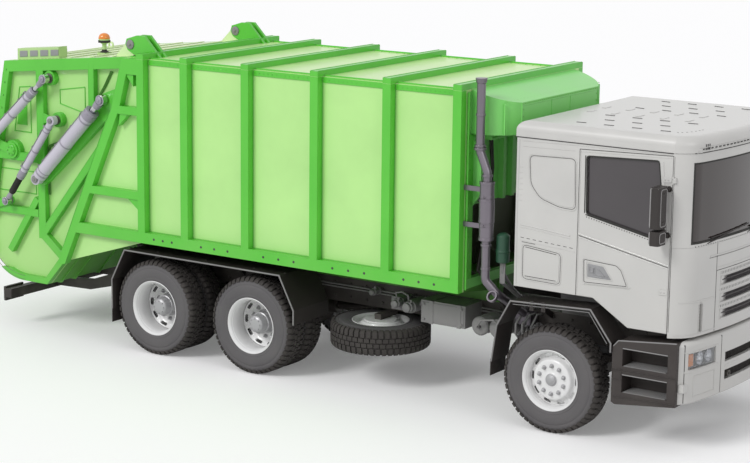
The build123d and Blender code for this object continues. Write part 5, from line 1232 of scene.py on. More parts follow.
for side in (-1, 1):
    pipe(
        bm,
        [
            (2.14, side * 0.70, 2.80), (2.16, side * 0.70, 2.50), (2.15, side * 0.72, 2.20),
            (2.13, side * 0.76, 1.9), (2.13, side * 0.90, 1.45), (2.15, side * 0.60, 1.25),
            (2.2, side * 0.45, 1.0),
        ],
        0.012, 10,
    )
    pipe(
        bm,
        [
            (2.14, side * 0.74, 2.80), (2.17, side * 0.74, 2.50), (2.16, side * 0.76, 2.20),
            (2.14, side * 0.80, 1.9), (2.14, side * 0.94, 1.47), (2.17, side * 0.64, 1.23),
            (2.22, side * 0.45, 0.96),
        ],
        0.012, 10,
    )
fasten("front_hydraulic_lines", bm, moulded_black, "truck")

# Ejector: worn steel pusher wall with stiffening ribs, scraped bright where the load slides.
# It stands at the front of the body.
worn_steel = weathered_finish(
    "worn_steel", linear(108, 112, 98), 0.42, metallic=0.55, wear=0.8, dust=0.6,
    dust_colour=linear(76, 62, 48), worn_colour=linear(168, 168, 164), grain_size=60.0, grain_depth=0.25,
)
dress(worn_steel, "ejector_plate")

# Tailgate: pale green side plates inside a bright welded frame, and a roof sheet with the rear hood, painted
# paler than the sides as painted light from above.
# The trough between the plates is worn steel outside the paint line.
tailgate_paint = two_tone_paint(
    "tailgate_paint", linear(166, 218, 128), frame_green, "Y", 1.042, dust_colour=body_dust,
    worn_colour=linear(60, 84, 40),
)
# The tailgate roof's paler green is painted light from above.
tailgate_roof_with_painted_light = weathered_finish(
    "tailgate_roof_with_painted_light", linear(212, 234, 178), 0.34, coat=0.25, wear=0.3, dust=0.3, dust_colour=body_dust,
    worn_colour=linear(90, 110, 70),
)
trough_paint = weathered_finish(
    "trough_paint", linear(96, 176, 66), 0.42, wear=0.7, dust=0.5, dust_colour=linear(96, 96, 64),
    worn_colour=linear(120, 124, 110),
)
dress(tailgate_paint, "tailgate_sides")
dress(tailgate_roof_with_painted_light, "tailgate_roof")
dress(trough_paint, "hopper_trough")
frame_lines = [
    ((-2.352, 3.325), (-2.512, 2.750), 0.110), ((-2.512, 2.780), (-3.357, 0.880), 0.110),
    ((-4.155, 3.140), (-4.535, 1.120), 0.100), ((-3.655, 3.180), (-3.655, 1.100), 0.110),
    ((-2.870, 3.250), (-2.870, 2.700), 0.085), ((-3.655, 2.035), (-4.420, 2.035), 0.100),
    ((-3.715, 1.390), (-4.560, 1.390), 0.090), ((-2.580, 2.760), (-3.660, 1.800), 0.170),
    ((-2.640, 2.390), (-3.655, 1.150), 0.090), ((-3.655, 1.150), (-3.332, 0.900), 0.095),
]
bm = bmesh.new()
for side in (-1, 1):
    for (x0, z0), (x1, z1), width in frame_lines:
        reach = math.hypot(x1 - x0, z1 - z0)
        off_x, off_z = -(z1 - z0) / reach * (width / 2 - 0.006), (x1 - x0) / reach * (width / 2 - 0.006)
        for sign in (-1, 1):
            pipe(
                bm,
                side_outline(
                    [
                        (x0 + sign * off_x + (x1 - x0) * 0.07, z0 + sign * off_z + (z1 - z0) * 0.07),
                        (x1 + sign * off_x - (x1 - x0) * 0.07, z1 + sign * off_z - (z1 - z0) * 0.07),
                    ],
                    side * 1.1085,
                ),
                0.0035, 6,
            )
fasten("tailgate_frame_lips", bm, frame_paint, "tailgate")
bm = bmesh.new()
for side in (-1, 1):
    for share in [0.05 + k * 0.075 for k in range(13)]:
        x = -2.512 + (-3.357 + 2.512) * share
        z = 2.780 + (0.880 - 2.780) * share
        nut(bm, (x, side * 1.1095, z), (0, side, 0), 0.020, 0.009)
        x = -4.155 + (-4.535 + 4.155) * share
        z = 3.140 + (1.120 - 3.140) * share
        if abs(z - 2.19) > 0.12 and abs(z - 1.42) > 0.12:
            nut(bm, (x, side * 1.1095, z), (0, side, 0), 0.018, 0.008)
    for x, z, radius in (
        (-3.50, 2.99, 0.085), (-3.39, 2.52, 0.085), (-3.64, 1.82, 0.085), (-4.42, 1.42, 0.085),
        (-4.10, 2.10, 0.120),
    ):
        turned_ring(
            bm,
            [(0.0, radius * 0.70), (0.0, radius - 0.004), (0.005, radius - 0.010), (0.005, radius * 0.70)],
            (x, side * 1.110, z), (0, side, 0), 32,
        )
    plate(bm, side_outline([(-3.60, 1.90), (-3.60, 2.06), (-3.44, 1.98)], side * 1.10), (0, side * 0.013, 0))
    plate(
        bm, side_outline([(-3.60, 2.46), (-3.60, 2.58), (-3.46, 2.54), (-3.46, 2.49)], side * 1.10),
        (0, side * 0.013, 0),
    )
fasten("tailgate_bolts", bm, frame_paint, "tailgate", edge=0.001)

# Tailgate sheet stiffeners: pressed swages, an inspection cover and the hydraulic pipes along the frame.
# Clips hold the pipes to the side plates.
bm = bmesh.new()
for side in (-1, 1):
    for line in (
        [(-3.02, 2.92), (-3.40, 2.86), (-3.40, 2.70), (-3.02, 2.62), (-3.02, 2.915)],
        [(-3.86, 2.86), (-4.03, 2.84), (-4.12, 2.32), (-3.86, 2.32), (-3.86, 2.855)],
        [(-3.80, 1.86), (-4.36, 1.86), (-4.40, 1.60), (-3.80, 1.60), (-3.80, 1.855)],
    ):
        pipe(bm, side_outline(line, side * 1.041), 0.0065, 8)
    plate(
        bm, side_outline([(-3.92, 2.78), (-4.01, 2.76), (-4.08, 2.40), (-3.92, 2.40)], side * 1.040),
        (0, side * 0.006, 0),
    )
    for x, z in ((-3.935, 2.76), (-3.995, 2.745), (-4.06, 2.42), (-3.935, 2.42)):
        nut(bm, (x, side * 1.0455, z), (0, side, 0), 0.014, 0.006)
fasten("tailgate_swages", bm, tailgate_paint, "tailgate", edge=0.001)
bm = bmesh.new()
for side in (-1, 1):
    for shift in (0.0, 0.022):
        pipe(
            bm,
            side_outline(
                [
                    (-2.60 - shift, 3.13), (-2.70 - shift, 2.96), (-3.04, 2.52 - shift),
                    (-3.30, 2.30 - shift), (-3.57 - shift, 2.20 - shift), (-3.575 - shift, 1.62),
                ],
                side * 1.051,
            ),
            0.008, 8,
        )
    for x, z in ((-2.80, 2.83), (-3.04, 2.51), (-3.30, 2.29), (-3.58, 1.95)):
        plate(bm, upright((x - 0.03, x + 0.018), side * 1.040, (z - 0.012, z + 0.012)), (0, side * 0.022, 0))
fasten("tailgate_pipes", bm, dark_green_paint, "tailgate", edge=0.0)

# Tailgate roof: ribs and rivets across the sheet, whose paler paint is painted light from above, with the
# light box and the round beacon on top.
# Two lifting eyes stand near the rear edge.
bm = bmesh.new()
roof_slope = (3.140 - 3.325) / (-4.200 + 2.302)


def gate_roof_height(x):
    """Height of the tailgate's roof sheet."""
    return 3.325 + (x + 2.302) * roof_slope


for x in (-2.62, -2.95, -3.28, -3.61, -3.94, -4.15):
    z = gate_roof_height(x)
    plate(
        bm,
        [
            (x - 0.03, -0.84 if x < -3.40 else -1.0, z), (x + 0.03, -0.84 if x < -3.40 else -1.0, z + 0.006),
            (x + 0.026, -0.84 if x < -3.40 else -1.0, z + 0.016),
            (x - 0.026, -0.84 if x < -3.40 else -1.0, z + 0.011),
        ],
        (0, 1.80 if x < -3.40 else 2.0, 0),
    )
for i in range(30):
    x = -2.45 - i * 0.058
    for y in (-1.006, 1.006):
        turned_solid(bm, [(0.0, 0.009), (0.005, 0.005)], (x, y, gate_roof_height(x)), (0, 0, 1), 8)
for y in (-0.55, 0.55):
    turned_ring(
        bm, [(-0.01, 0.022), (-0.01, 0.042), (0.01, 0.042), (0.01, 0.022)],
        (-4.02, y, gate_roof_height(-4.02) + 0.038), (0, 1, 0), 24,
    )
fasten("tailgate_roof_ribs", bm, tailgate_roof_with_painted_light, "tailgate", edge=0.002)
equipment_paint = weathered_finish(
    "equipment_paint", linear(176, 208, 140), 0.35, coat=0.2, wear=0.3, dust=0.25, dust_colour=body_dust,
    worn_colour=linear(90, 110, 70),
)
dress(equipment_paint, "roof_equipment")
bm = bmesh.new()
for share in (0.06, 0.31, 0.56, 0.81):
    x = -4.08 + 0.64 * share
    z = gate_roof_height(x)
    plate(
        bm,
        [
            (x, -1.0105, z + 0.030), (x + 0.12, -1.0105, z + 0.042), (x + 0.12, -1.0105, z + 0.112),
            (x, -1.0105, z + 0.100),
        ],
        (0, -0.006, 0),
    )
    plate(
        bm,
        [
            (x, -0.8695, z + 0.030), (x + 0.12, -0.8695, z + 0.042), (x + 0.12, -0.8695, z + 0.112),
            (x, -0.8695, z + 0.100),
        ],
        (0, 0.006, 0),
    )
fasten("roof_lamp_lenses", bm, lamp_housing, "tailgate", edge=0.004)
bm = bmesh.new()
beacon_z = gate_roof_height(-3.11)
turned_solid(
    bm, [(0.160, 0.040), (0.166, 0.062), (0.190, 0.0685), (0.222, 0.058), (0.240, 0.038), (0.2475, 0.014)],
    (-3.11, -0.60, beacon_z), (0, 0, 1), 36,
)
fasten("beacon_lens", bm, amber_lens, "tailgate")
bm = bmesh.new()
turned_ring(
    bm, [(0.138, 0.030), (0.138, 0.070), (0.160, 0.072), (0.166, 0.066), (0.166, 0.030)],
    (-3.11, -0.60, beacon_z), (0, 0, 1), 36,
)
turned_ring(
    bm, [(0.024, 0.0262), (0.024, 0.052), (0.034, 0.050), (0.040, 0.034), (0.060, 0.0262)],
    (-3.11, -0.60, beacon_z), (0, 0, 1), 30,
)
for k in range(4):
    angle = math.pi / 4 + k * math.pi / 2
    nut(
        bm, (-3.11 + 0.068 * math.cos(angle) * 0.9, -0.60 + 0.068 * math.sin(angle) * 0.9, beacon_z + 0.025),
        (0, 0, 1), 0.012, 0.006,
    )
fasten("beacon_base", bm, seal_rubber, "tailgate", edge=0.001)

# Hinge pins of the tailgate: capped ends outside the roof lugs, each held by a keeper plate.
# The lugs have grease nipples on top.
bm = bmesh.new()
for side in (-1, 1):
    for end in (-1, 1):
        y = side * 0.95 + end * 0.066
        turned_solid(
            bm, [(0.0, 0.052), (0.006, 0.055), (0.012, 0.052), (0.016, 0.040)], (-2.36, y, 3.45), (0, end, 0),
            32,
        )
        nut(bm, (-2.36, y + end * 0.014, 3.45), (0, end, 0), 0.030, 0.012)
    turned_solid(
        bm, [(0.0, 0.008), (0.012, 0.006), (0.018, 0.004)], (-2.36, side * 0.95, 3.508), (0, 0, 1), 8
    )
fasten("hinge_caps", bm, fitting_and_highlight_grey, "tailgate")

# Hopper trough: welded bands stiffen its curved back, and a wear bar with studs lies along the loading sill.
# Lifting eyes and a rubber lip finish the sill's ends.
dress(frame_paint, "lift_brackets")
dress(chassis_black, "crossmembers")
bm = bmesh.new()
for y in (-0.86, -0.62, -0.20, 0.20, 0.62, 0.86):
    band = []
    for radius, steps in ((0.6185, range(0, 13)), (0.645, range(12, -1, -1))):
        for step in steps:
            angle = math.radians(184 + step * 7)
            band.append((-3.96 + radius * math.cos(angle), 1.18 + radius * math.sin(angle)))
    plate(bm, side_outline(band, y - 0.012), (0, 0.024, 0))
    plate(
        bm,
        side_outline(
            [(-3.95, 0.536), (-3.60, 0.536), (-3.33, 0.842), (-3.318, 0.874), (-3.60, 0.561), (-3.95, 0.561)],
            y - 0.012,
        ),
        (0, 0.024, 0),
    )
fasten("trough_bands", bm, trough_paint, "tailgate", edge=0.002)
bm = bmesh.new()
for i in range(23):
    turned_solid(
        bm, [(0.0, 0.011), (0.004, 0.010), (0.007, 0.005)], (-4.555, -0.99 + i * 0.09, 1.230), (0, 0, 1), 10
    )
plate(bm, upright((-4.588, -4.592), -1.015, (1.165, 1.225)), (0, 2.03, 0))
for side in (-1, 1):
    for radius in (0.562, 0.606):
        arc = [
            (
                -3.96 + radius * math.cos(math.radians(183 + k * 8)),
                1.18 + radius * math.sin(math.radians(183 + k * 8)),
            )
            for k in range(12)
        ]
        pipe(bm, side_outline(arc, side * 1.1085), 0.0035, 6)
fasten("sill_wear_bar", bm, worn_steel, "tailgate", edge=0.0015)

# Packing gear: the carrier's box plate, its shaft and cranks in frame green, and the blade in scraped steel.
# Ribs stiffen the carrier's back, and a bolted wear edge runs along the blade's tip.
carrier_x, carrier_z = -4.10, 2.10
packing_foot, packing_head = (-4.400, 2.192), (-3.500, 2.990)
cylinder_y, pin_face_y, pin_nut_y = 1.195, 1.2425, 1.2515
dress(frame_paint, "packer_carrier")
dress(worn_steel, "packer_blade", "tailgate_pins")
bm = bmesh.new()
down = Vector((0.14, 0.0, -0.92)).normalized()
back = Vector((-0.92, 0.0, -0.14)).normalized()
shaft = Vector((carrier_x, 0.0, carrier_z))
for y in (-0.90, -0.60, -0.20, 0.20, 0.60, 0.90):
    rib = [
        shaft + down * 0.14 + back * 0.058, shaft + down * 0.20 + back * 0.082,
        shaft + down * 0.72 + back * 0.082, shaft + down * 0.80 + back * 0.058,
    ]
    plate(bm, [(p.x, y - 0.008, p.z) for p in rib], (0, 0.016, 0))
for share in (0.22, 0.72):
    low = shaft + down * share + back * 0.0585
    plate(
        bm,
        [
            (low.x, -0.985, low.z), (low.x + back.x * 0.012, -0.985, low.z + back.z * 0.012),
            (low.x + back.x * 0.012 + down.x * 0.05, -0.985, low.z + back.z * 0.012 + down.z * 0.05),
            (low.x + down.x * 0.05, -0.985, low.z + down.z * 0.05),
        ],
        (0, 1.97, 0),
    )
for side in (-1, 1):
    turned_solid(
        bm, [(0.0, 0.066), (0.010, 0.066), (0.014, 0.060)], (carrier_x, side * 1.137, carrier_z),
        (0, side, 0), 36,
    )
    for k in range(6):
        angle = math.pi * k / 3
        nut(
            bm, (carrier_x + 0.046 * math.cos(angle), side * 1.151, carrier_z + 0.046 * math.sin(angle)),
            (0, side, 0), 0.018, 0.010,
        )
    turned_solid(
        bm, [(0.0, 0.034), (0.006, 0.034), (0.010, 0.029)],
        (packing_foot[0], side * pin_face_y, packing_foot[1]), (0, side, 0), 28,
    )
    nut(bm, (packing_foot[0], side * pin_nut_y, packing_foot[1]), (0, side, 0), 0.020, 0.008)
fasten("carrier_ribs", bm, frame_paint, "carrier", edge=0.0015)
bm = bmesh.new()
blade_way = Vector((math.cos(math.radians(315)), 0.0, math.sin(math.radians(315))))
blade_up = Vector((-blade_way.z, 0.0, blade_way.x))
tip = Vector((-3.96, 0.0, 1.18)) + blade_way * 0.54
for face in (-1, 1):
    root = tip - blade_way * 0.085 + blade_up * (0.0225 * face)
    plate(
        bm,
        [
            (root.x, -1.0, root.z),
            (root.x + blade_up.x * 0.008 * face, -1.0, root.z + blade_up.z * 0.008 * face),
            (
                root.x + blade_up.x * 0.008 * face + blade_way.x * 0.080, -1.0,
                root.z + blade_up.z * 0.008 * face + blade_way.z * 0.080,
            ),
            (root.x + blade_way.x * 0.080, -1.0, root.z + blade_way.z * 0.080),
        ],
        (0, 2.0, 0),
    )
    for i in range(13):
        seat = root + blade_way * 0.04 + blade_up * (0.008 * face)
        turned_solid(
            bm, [(0.0, 0.013), (0.006, 0.010)], (seat.x, -0.93 + i * 0.155, seat.z), blade_up * face, 12
        )
fasten("blade_wear_edge", bm, worn_steel, "blade", edge=0.0015)

# Bin lifter: flame cut cranks and a square beam in frame green, with rubber rests behind the comb's teeth.
# Each crank turns on a capped pin.
lifter_x, lifter_z = -4.42, 1.42
bin_foot, bin_head = (-3.390, 2.520), (-4.127, 1.508)
dress(frame_paint, "bin_lifter")
bm = bmesh.new()
for side in (-1, 1):
    turned_solid(
        bm, [(0.0, 0.050), (0.006, 0.050), (0.010, 0.044)], (lifter_x, side * 1.157, lifter_z), (0, side, 0),
        32,
    )
    nut(bm, (lifter_x, side * 1.166, lifter_z), (0, side, 0), 0.026, 0.012)
    turned_ring(
        bm, [(0.0, 0.044), (0.0, 0.074), (0.005, 0.070), (0.005, 0.044)], (lifter_x, side * 1.137, lifter_z),
        (0, side, 0), 36,
    )
    turned_ring(
        bm, [(0.0, 0.020), (0.0, 0.046), (0.004, 0.043), (0.004, 0.020)],
        (bin_head[0], side * 1.137, bin_head[1]), (0, side, 0), 30,
    )
for i in range(12):
    nut(bm, (-4.6995, -0.99 + i * 0.18, 1.025), (1, 0, 0), 0.022, 0.006)
fasten("lifter_caps", bm, fitting_and_highlight_grey, "lifter", edge=0.001)
bm = bmesh.new()
for tooth in range(-5, 5):
    y = tooth * 0.18 + 0.09
    plate(
        bm,
        [
            (-4.632, y - 0.035, 1.005), (-4.622, y - 0.035, 1.010), (-4.622, y - 0.035, 1.090),
            (-4.632, y - 0.035, 1.095),
        ],
        (0, 0.07, 0),
    )
fasten("lifter_rests", bm, seal_rubber, "lifter", edge=0.003)

# Hydraulic cylinders: honed tubes in pale grey paint with glands, base eyes, ports and pipes, and chromed
# rods. The bin cylinders' rods wear a corrugated boot, and every pin ends in a bolted cap.
lift_foot, lift_head = (-3.640, 1.820), (-2.640, 2.820)
cylinder_paint = weathered_finish(
    "cylinder_paint", linear(188, 184, 196), 0.34, coat=0.2, wear=0.5, dust=0.3,
    dust_colour=linear(110, 98, 96), worn_colour=linear(110, 106, 112), edge_radius=0.004,
)
gland_paint = weathered_finish(
    "gland_paint", linear(150, 146, 158), 0.36, metallic=0.2, wear=0.5, dust=0.35,
    worn_colour=linear(90, 88, 92), edge_radius=0.003,
)
rod_chrome = weathered_finish(
    "rod_chrome", linear(204, 204, 208), 0.10, metallic=1.0, wear=0.2, dust=0.12, grain_size=700.0,
    grain_depth=0.02,
)
dress(cylinder_paint, "lift_barrels", "packing_barrels", "bin_barrels")
dress(rod_chrome, "lift_rods", "packing_rods", "bin_rods")
for kind, foot, head, barrel_radius, rod_radius, pin_radius, share in (
    ("lift", lift_foot, lift_head, 0.078, 0.040, 0.036, 0.86),
    ("packing", packing_foot, packing_head, 0.052, 0.028, 0.028, 0.82),
    ("bin", bin_foot, bin_head, 0.042, 0.022, 0.024, 0.70),
):
    reach = math.hypot(head[0] - foot[0], head[1] - foot[1])
    way = Vector((head[0] - foot[0], 0.0, head[1] - foot[1])) / reach
    upper = Vector((-way.z, 0.0, way.x))
    if upper.z < 0:
        upper = -upper
    barrel_end = reach * share
    bm = bmesh.new()
    for side in (-1, 1):
        base = Vector((foot[0], side * cylinder_y, foot[1]))
        # Gland with its lock ring, and the weld and band at the base
        outer = barrel_radius + (0.006 if kind == "packing" else 0.007 if kind == "bin" else 0.008)
        outer = min(outer, 0.0545 if kind != "lift" else 0.086)
        turned_ring(
            bm,
            [
                (barrel_end - 0.10, barrel_radius - 0.002), (barrel_end - 0.10, outer),
                (barrel_end - 0.030, outer), (barrel_end - 0.026, outer - 0.006),
                (barrel_end - 0.020, outer - 0.006), (barrel_end - 0.016, outer - 0.001),
                (barrel_end + 0.004, outer - 0.001), (barrel_end + 0.010, outer - 0.010),
                (barrel_end + 0.012, rod_radius + 0.008), (barrel_end + 0.002, rod_radius + 0.0005),
                (barrel_end - 0.002, barrel_radius - 0.002),
            ],
            base, way, 48,
        )
        for start, width in (
            (0.10, 0.018), (0.155, 0.010), (barrel_end - 0.16, 0.020), (barrel_end * 0.52, 0.016)
        ):
            turned_ring(
                bm,
                [
                    (start, barrel_radius - 0.001), (start, barrel_radius + 0.004),
                    (start + width, barrel_radius + 0.004), (start + width, barrel_radius - 0.001),
                ],
                base, way, 48,
            )
        # Gussets from the base eye to the tube
        for across in (-1, 1):
            corner = [
                base + way * (pin_radius + 0.022) + upper * across * (pin_radius + 0.016),
                base + way * 0.115 + upper * across * (barrel_radius - 0.002),
                base + way * 0.030 + upper * across * (pin_radius + 0.018),
            ]
            plate(bm, [(p.x, p.y - 0.012, p.z) for p in corner], (0, 0.024, 0))
    fasten(f"{kind}_glands", bm, gland_paint, f"{kind}_barrel_pair", edge=0.0012)
    bm = bmesh.new()
    for side in (-1, 1):
        base = Vector((foot[0], side * cylinder_y, foot[1]))
        offset = upper * (barrel_radius + 0.013)
        for start in (0.135, barrel_end - 0.125):
            turned_solid(
                bm, [(-0.006, 0.016), (0.012, 0.016), (0.014, 0.013), (0.026, 0.013)],
                base + way * start + upper * barrel_radius, upper, 12,
            )
        pipe(
            bm,
            [
                base + way * (barrel_end - 0.125) + upper * (barrel_radius + 0.018),
                base + way * (barrel_end - 0.150) + upper * (barrel_radius + 0.026),
                base + way * (barrel_end - 0.190) + offset, base + way * 0.26 + offset,
                base + way * 0.215 + upper * (barrel_radius + 0.020),
                base + way * 0.180 + upper * (barrel_radius + 0.020) + Vector((0, -side * 0.020, 0)),
            ],
            0.007, 8,
        )
        for spot in (0.36, 0.60):
            middle = base + way * (reach * spot) + offset
            plate(
                bm,
                [
                    tuple(middle + way * a + upper * b + Vector((0, -0.012, 0)))
                    for a, b in ((-0.012, -0.014), (0.012, -0.014), (0.012, 0.010), (-0.012, 0.010))
                ],
                (0, 0.024, 0),
            )
    fasten(f"{kind}_pipes", bm, fitting_and_highlight_grey, f"{kind}_barrel_pair", edge=0.0)
    bm = bmesh.new()
    for side in (-1, 1):
        eye = Vector((head[0], side * cylinder_y, head[1]))
        turned_solid(
            bm, [(0.0, pin_radius + 0.006), (0.006, pin_radius + 0.006), (0.010, pin_radius)],
            (eye.x, side * pin_face_y, eye.z), (0, side, 0), 30,
        )
        nut(bm, (eye.x, side * pin_nut_y, eye.z), (0, side, 0), pin_radius * 0.8, 0.009)
        for face in (-1, 1):
            turned_ring(
                bm,
                [
                    (0.0, pin_radius - 0.001), (0.0, pin_radius + 0.020), (0.004, pin_radius + 0.017),
                    (0.004, pin_radius - 0.001),
                ],
                (eye.x, eye.y + face * 0.036, eye.z), (0, face, 0), 36,
            )
        turned_ring(
            bm,
            [
                (-0.125, rod_radius - 0.001), (-0.120, rod_radius + 0.006), (-0.085, rod_radius + 0.010),
                (-0.050, rod_radius + 0.012), (-0.050, rod_radius - 0.001),
            ],
            eye, way, 36,
        )
    fasten(f"{kind}_rod_eyes", bm, gland_paint, f"{kind}_rod_pair", edge=0.001)
    bm = bmesh.new()
    for side in (-1, 1):
        base_y = side * pin_face_y
        if kind == "lift":
            centre = (foot[0], base_y, foot[1])
            turned_solid(bm, [(0.0, 0.042), (0.006, 0.042), (0.010, 0.036)], centre, (0, side, 0), 30)
            nut(bm, (foot[0], side * pin_nut_y, foot[1]), (0, side, 0), 0.026, 0.009)
        if kind == "bin":
            centre = (foot[0], base_y, foot[1])
            turned_solid(bm, [(0.0, 0.030), (0.006, 0.030), (0.010, 0.025)], centre, (0, side, 0), 30)
            nut(bm, (foot[0], side * pin_nut_y, foot[1]), (0, side, 0), 0.020, 0.009)
    if kind == "packing":
        bm.free()
    else:
        fasten(f"{kind}_pin_caps", bm, fitting_and_highlight_grey, "tailgate", edge=0.001)
bm = bmesh.new()
for side in (-1, 1):
    base = Vector((bin_foot[0], side * cylinder_y, bin_foot[1]))
    way = Vector((bin_head[0] - bin_foot[0], 0.0, bin_head[1] - bin_foot[1])).normalized()
    folds = [(0.892, 0.0225), (0.892, 0.034)]
    for k in range(15):
        folds += [(0.898 + k * 0.0145, 0.040), (0.9052 + k * 0.0145, 0.029)]
    folds += [(1.118, 0.034), (1.118, 0.0225)]
    turned_ring(bm, folds, base, way, 36)
fasten("bin_rod_boots", bm, seal_rubber, "bin_rod_pair")

# Rear lamps: a red, amber and white cluster in a black frame on each board of the underrun bar.
# Reflective strips mark the bar's rear face.
clear_lens = weathered_finish(
    "clear_lens", linear(214, 214, 212), 0.22, coat=0.5, wear=0.05, dust=0.15, grain_size=120.0,
    grain_depth=0.4,
)
bm = bmesh.new()
for side in (-1, 1):
    low_y, high_y = sorted((side * 0.915, side * 1.185))
    outline = facing(-4.210, (low_y, high_y), (0.318, 0.452))
    plate(bm, outline, (-0.016, 0, 0))
    for y in (0.925, 1.175):
        for z in (0.330, 0.440):
            nut(bm, (-4.226, side * y, z), (-1, 0, 0), 0.010, 0.004)
fasten("rear_lamp_frames", bm, moulded_black, "truck", edge=0.003)
for lens_name, lens_material, inner_y in (
    ("rear_red_lenses", red_lens, 0.937), ("rear_amber_lenses", amber_lens, 1.018),
    ("rear_white_lenses", clear_lens, 1.099),
):
    bm = bmesh.new()
    for side in (-1, 1):
        low_y, high_y = sorted((side * inner_y, side * (inner_y + 0.072)))
        plate(bm, facing(-4.226, (low_y, high_y), (0.335, 0.435)), (-0.010, 0, 0))
        for k in range(5):
            z = 0.345 + k * 0.0195
            plate(bm, facing(-4.236, (low_y + 0.005, high_y - 0.005), (z, z + 0.010)), (-0.002, 0, 0))
    fasten(lens_name, bm, lens_material, "truck", edge=0.003)
bm = bmesh.new()
for y in (-0.80, -0.50, 0.20, 0.50):
    plate(bm, facing(-4.180, (y, y + 0.30), (0.365, 0.425)), (-0.002, 0, 0))
fasten("rear_reflectors", bm, red_lens, "truck", edge=0.0008)

# Cab shell: pressed and welded steel box in pale grey paint, with a recessed side panel, swages and a hatch.
# Rubber strips close the gaps round each door.
dress(cab_paint, "cab_shell", "cab_front", "cab_roof")


def rounded(points, radius, steps=5):
    """Outline with each corner rounded off."""
    made = []
    for i, point in enumerate(points):
        point = Vector((point[0], point[1]))
        before = Vector(points[i - 1]) - point
        after = Vector(points[(i + 1) % len(points)]) - point
        cut = min(radius, before.length * 0.45, after.length * 0.45)
        start, finish = point + before.normalized() * cut, point + after.normalized() * cut
        for k in range(steps + 1):
            share = k / steps
            made.append(
                tuple(start * (1 - share) ** 2 + point * (2 * share * (1 - share)) + finish * share**2)
            )
    return made


def bead(bm, points, y, radius, closed=False, sides=8):
    """Rolled bead along a side view's line; a closed one ends where it starts."""
    if closed:
        points = points + [points[0], points[1]]
    pipe(bm, side_outline(points, y), radius, sides)


panel_line = rounded(
    [(2.854, 2.769), (3.381, 2.784), (3.395, 2.262), (3.213, 2.267), (2.985, 2.335), (2.872, 2.470)], 0.06
)
hatch_line = rounded([(2.805, 1.515), (3.245, 1.505), (3.250, 1.835), (2.802, 1.880)], 0.055)
bm = bmesh.new()
for side in (-1, 1):
    bead(bm, panel_line, side * 1.1995, 0.0055, True)
    bead(bm, hatch_line, side * 1.1995, 0.0045, True)
    low_panel = rounded(
        [(2.880, 2.745), (3.358, 2.758), (3.370, 2.292), (3.215, 2.294), (3.000, 2.358), (2.897, 2.480)], 0.05
    )
    plate(bm, side_outline(low_panel, side * 1.197), (0, side * 0.0062, 0))
    plate(
        bm,
        side_outline(
            rounded([(2.828, 1.540), (3.220, 1.532), (3.224, 1.812), (2.826, 1.853)], 0.045), side * 1.197
        ),
        (0, side * 0.0068, 0),
    )
    # Swage lines behind the door, the pillar strip and the corner's folded edge
    bead(bm, [(2.774, 2.066), (3.02, 2.048), (3.332, 2.016)], side * 1.1995, 0.0075)
    bead(bm, [(2.774, 2.040), (3.02, 2.022), (3.332, 1.990)], side * 1.1995, 0.0045)
    bead(bm, [(2.779, 1.907), (3.392, 1.865)], side * 1.1995, 0.0040)
    bead(bm, [(2.745, 1.47), (2.738, 2.2), (2.748, 2.905)], side * 1.1985, 0.0070)
    bead(bm, [(2.780, 2.895), (3.39, 2.905), (4.38, 2.915)], side * 1.1990, 0.0045)
    bead(bm, [(2.79, 2.84), (3.36, 2.85)], side * 1.1990, 0.0040)
fasten("cab_side_swages", bm, cab_paint, "cab", edge=0.001)
bm = bmesh.new()
for side in (-1, 1):
    # Gaps round the recessed panel, along the hatch and beside the corner post, and a dashed line of painted
    # shade in the crease groove
    bead(
        bm,
        rounded(
            [(2.866, 2.757), (3.369, 2.771), (3.382, 2.277), (3.214, 2.281), (2.993, 2.347), (2.885, 2.475)],
            0.055,
        ),
        side * 1.1975, 0.0042, True, 6,
    )
    bead(
        bm, rounded([(2.816, 1.527), (3.233, 1.518), (3.237, 1.824), (2.814, 1.867)], 0.050), side * 1.1975,
        0.0040, True, 6,
    )
    bead(bm, [(2.845, 1.846), (3.19, 1.812)], side * 1.2035, 0.0032, False, 6)
    bead(bm, [(2.845, 1.556), (3.19, 1.549)], side * 1.2035, 0.0032, False, 6)
    bead(bm, [(2.800, 1.893), (2.95, 1.885)], side * 1.1985, 0.0035, False, 6)
    # Dashed dark line between the swage lines: painted shade in the crease groove.
    for k in range(9):
        x = 2.785 + k * 0.068
        bead(bm, [(x, 1.937 - k * 0.0047), (x + 0.036, 1.9345 - k * 0.0047)], side * 1.1990, 0.0032, False, 6)
    bead(bm, [(4.4065, 1.22), (4.4065, 2.05), (4.4055, 2.90)], side * 1.1945, 0.0040, False, 6)
    bead(bm, [(3.409, 1.45), (3.409, 2.872)], side * 1.1930, 0.0042, False, 6)
    bead(bm, [(3.409, 2.874), (4.392, 2.904)], side * 1.1930, 0.0040, False, 6)
fasten("cab_side_seams_and_groove_shade", bm, seam_and_groove_shade_dark, "cab")
bm = bmesh.new()
for side in (-1, 1):
    # Air vent behind the recessed panel and the rear corner's drain moulding
    for k in range(7):
        bead(bm, [(2.752, 2.30 + k * 0.055), (2.790, 2.305 + k * 0.055)], side * 1.1985, 0.0040, False, 6)
    for z in (1.60, 2.20, 2.75):
        turned_solid(bm, [(0.0, 0.011), (0.004, 0.009)], (2.737, side * 1.15, z), (-1, 0, 0), 12)
for y in (-1.02, -0.68, -0.34, 0.0, 0.34, 0.68, 1.02):
    pipe(bm, [(2.7185, y, 1.52), (2.7185, y, 2.86)], 0.006, 8)
plate(bm, facing(2.7195, (-0.95, 0.95), (1.46, 1.49)), (-0.010, 0, 0))
fasten("cab_rear_swages", bm, cab_paint, "cab", edge=0.0015)

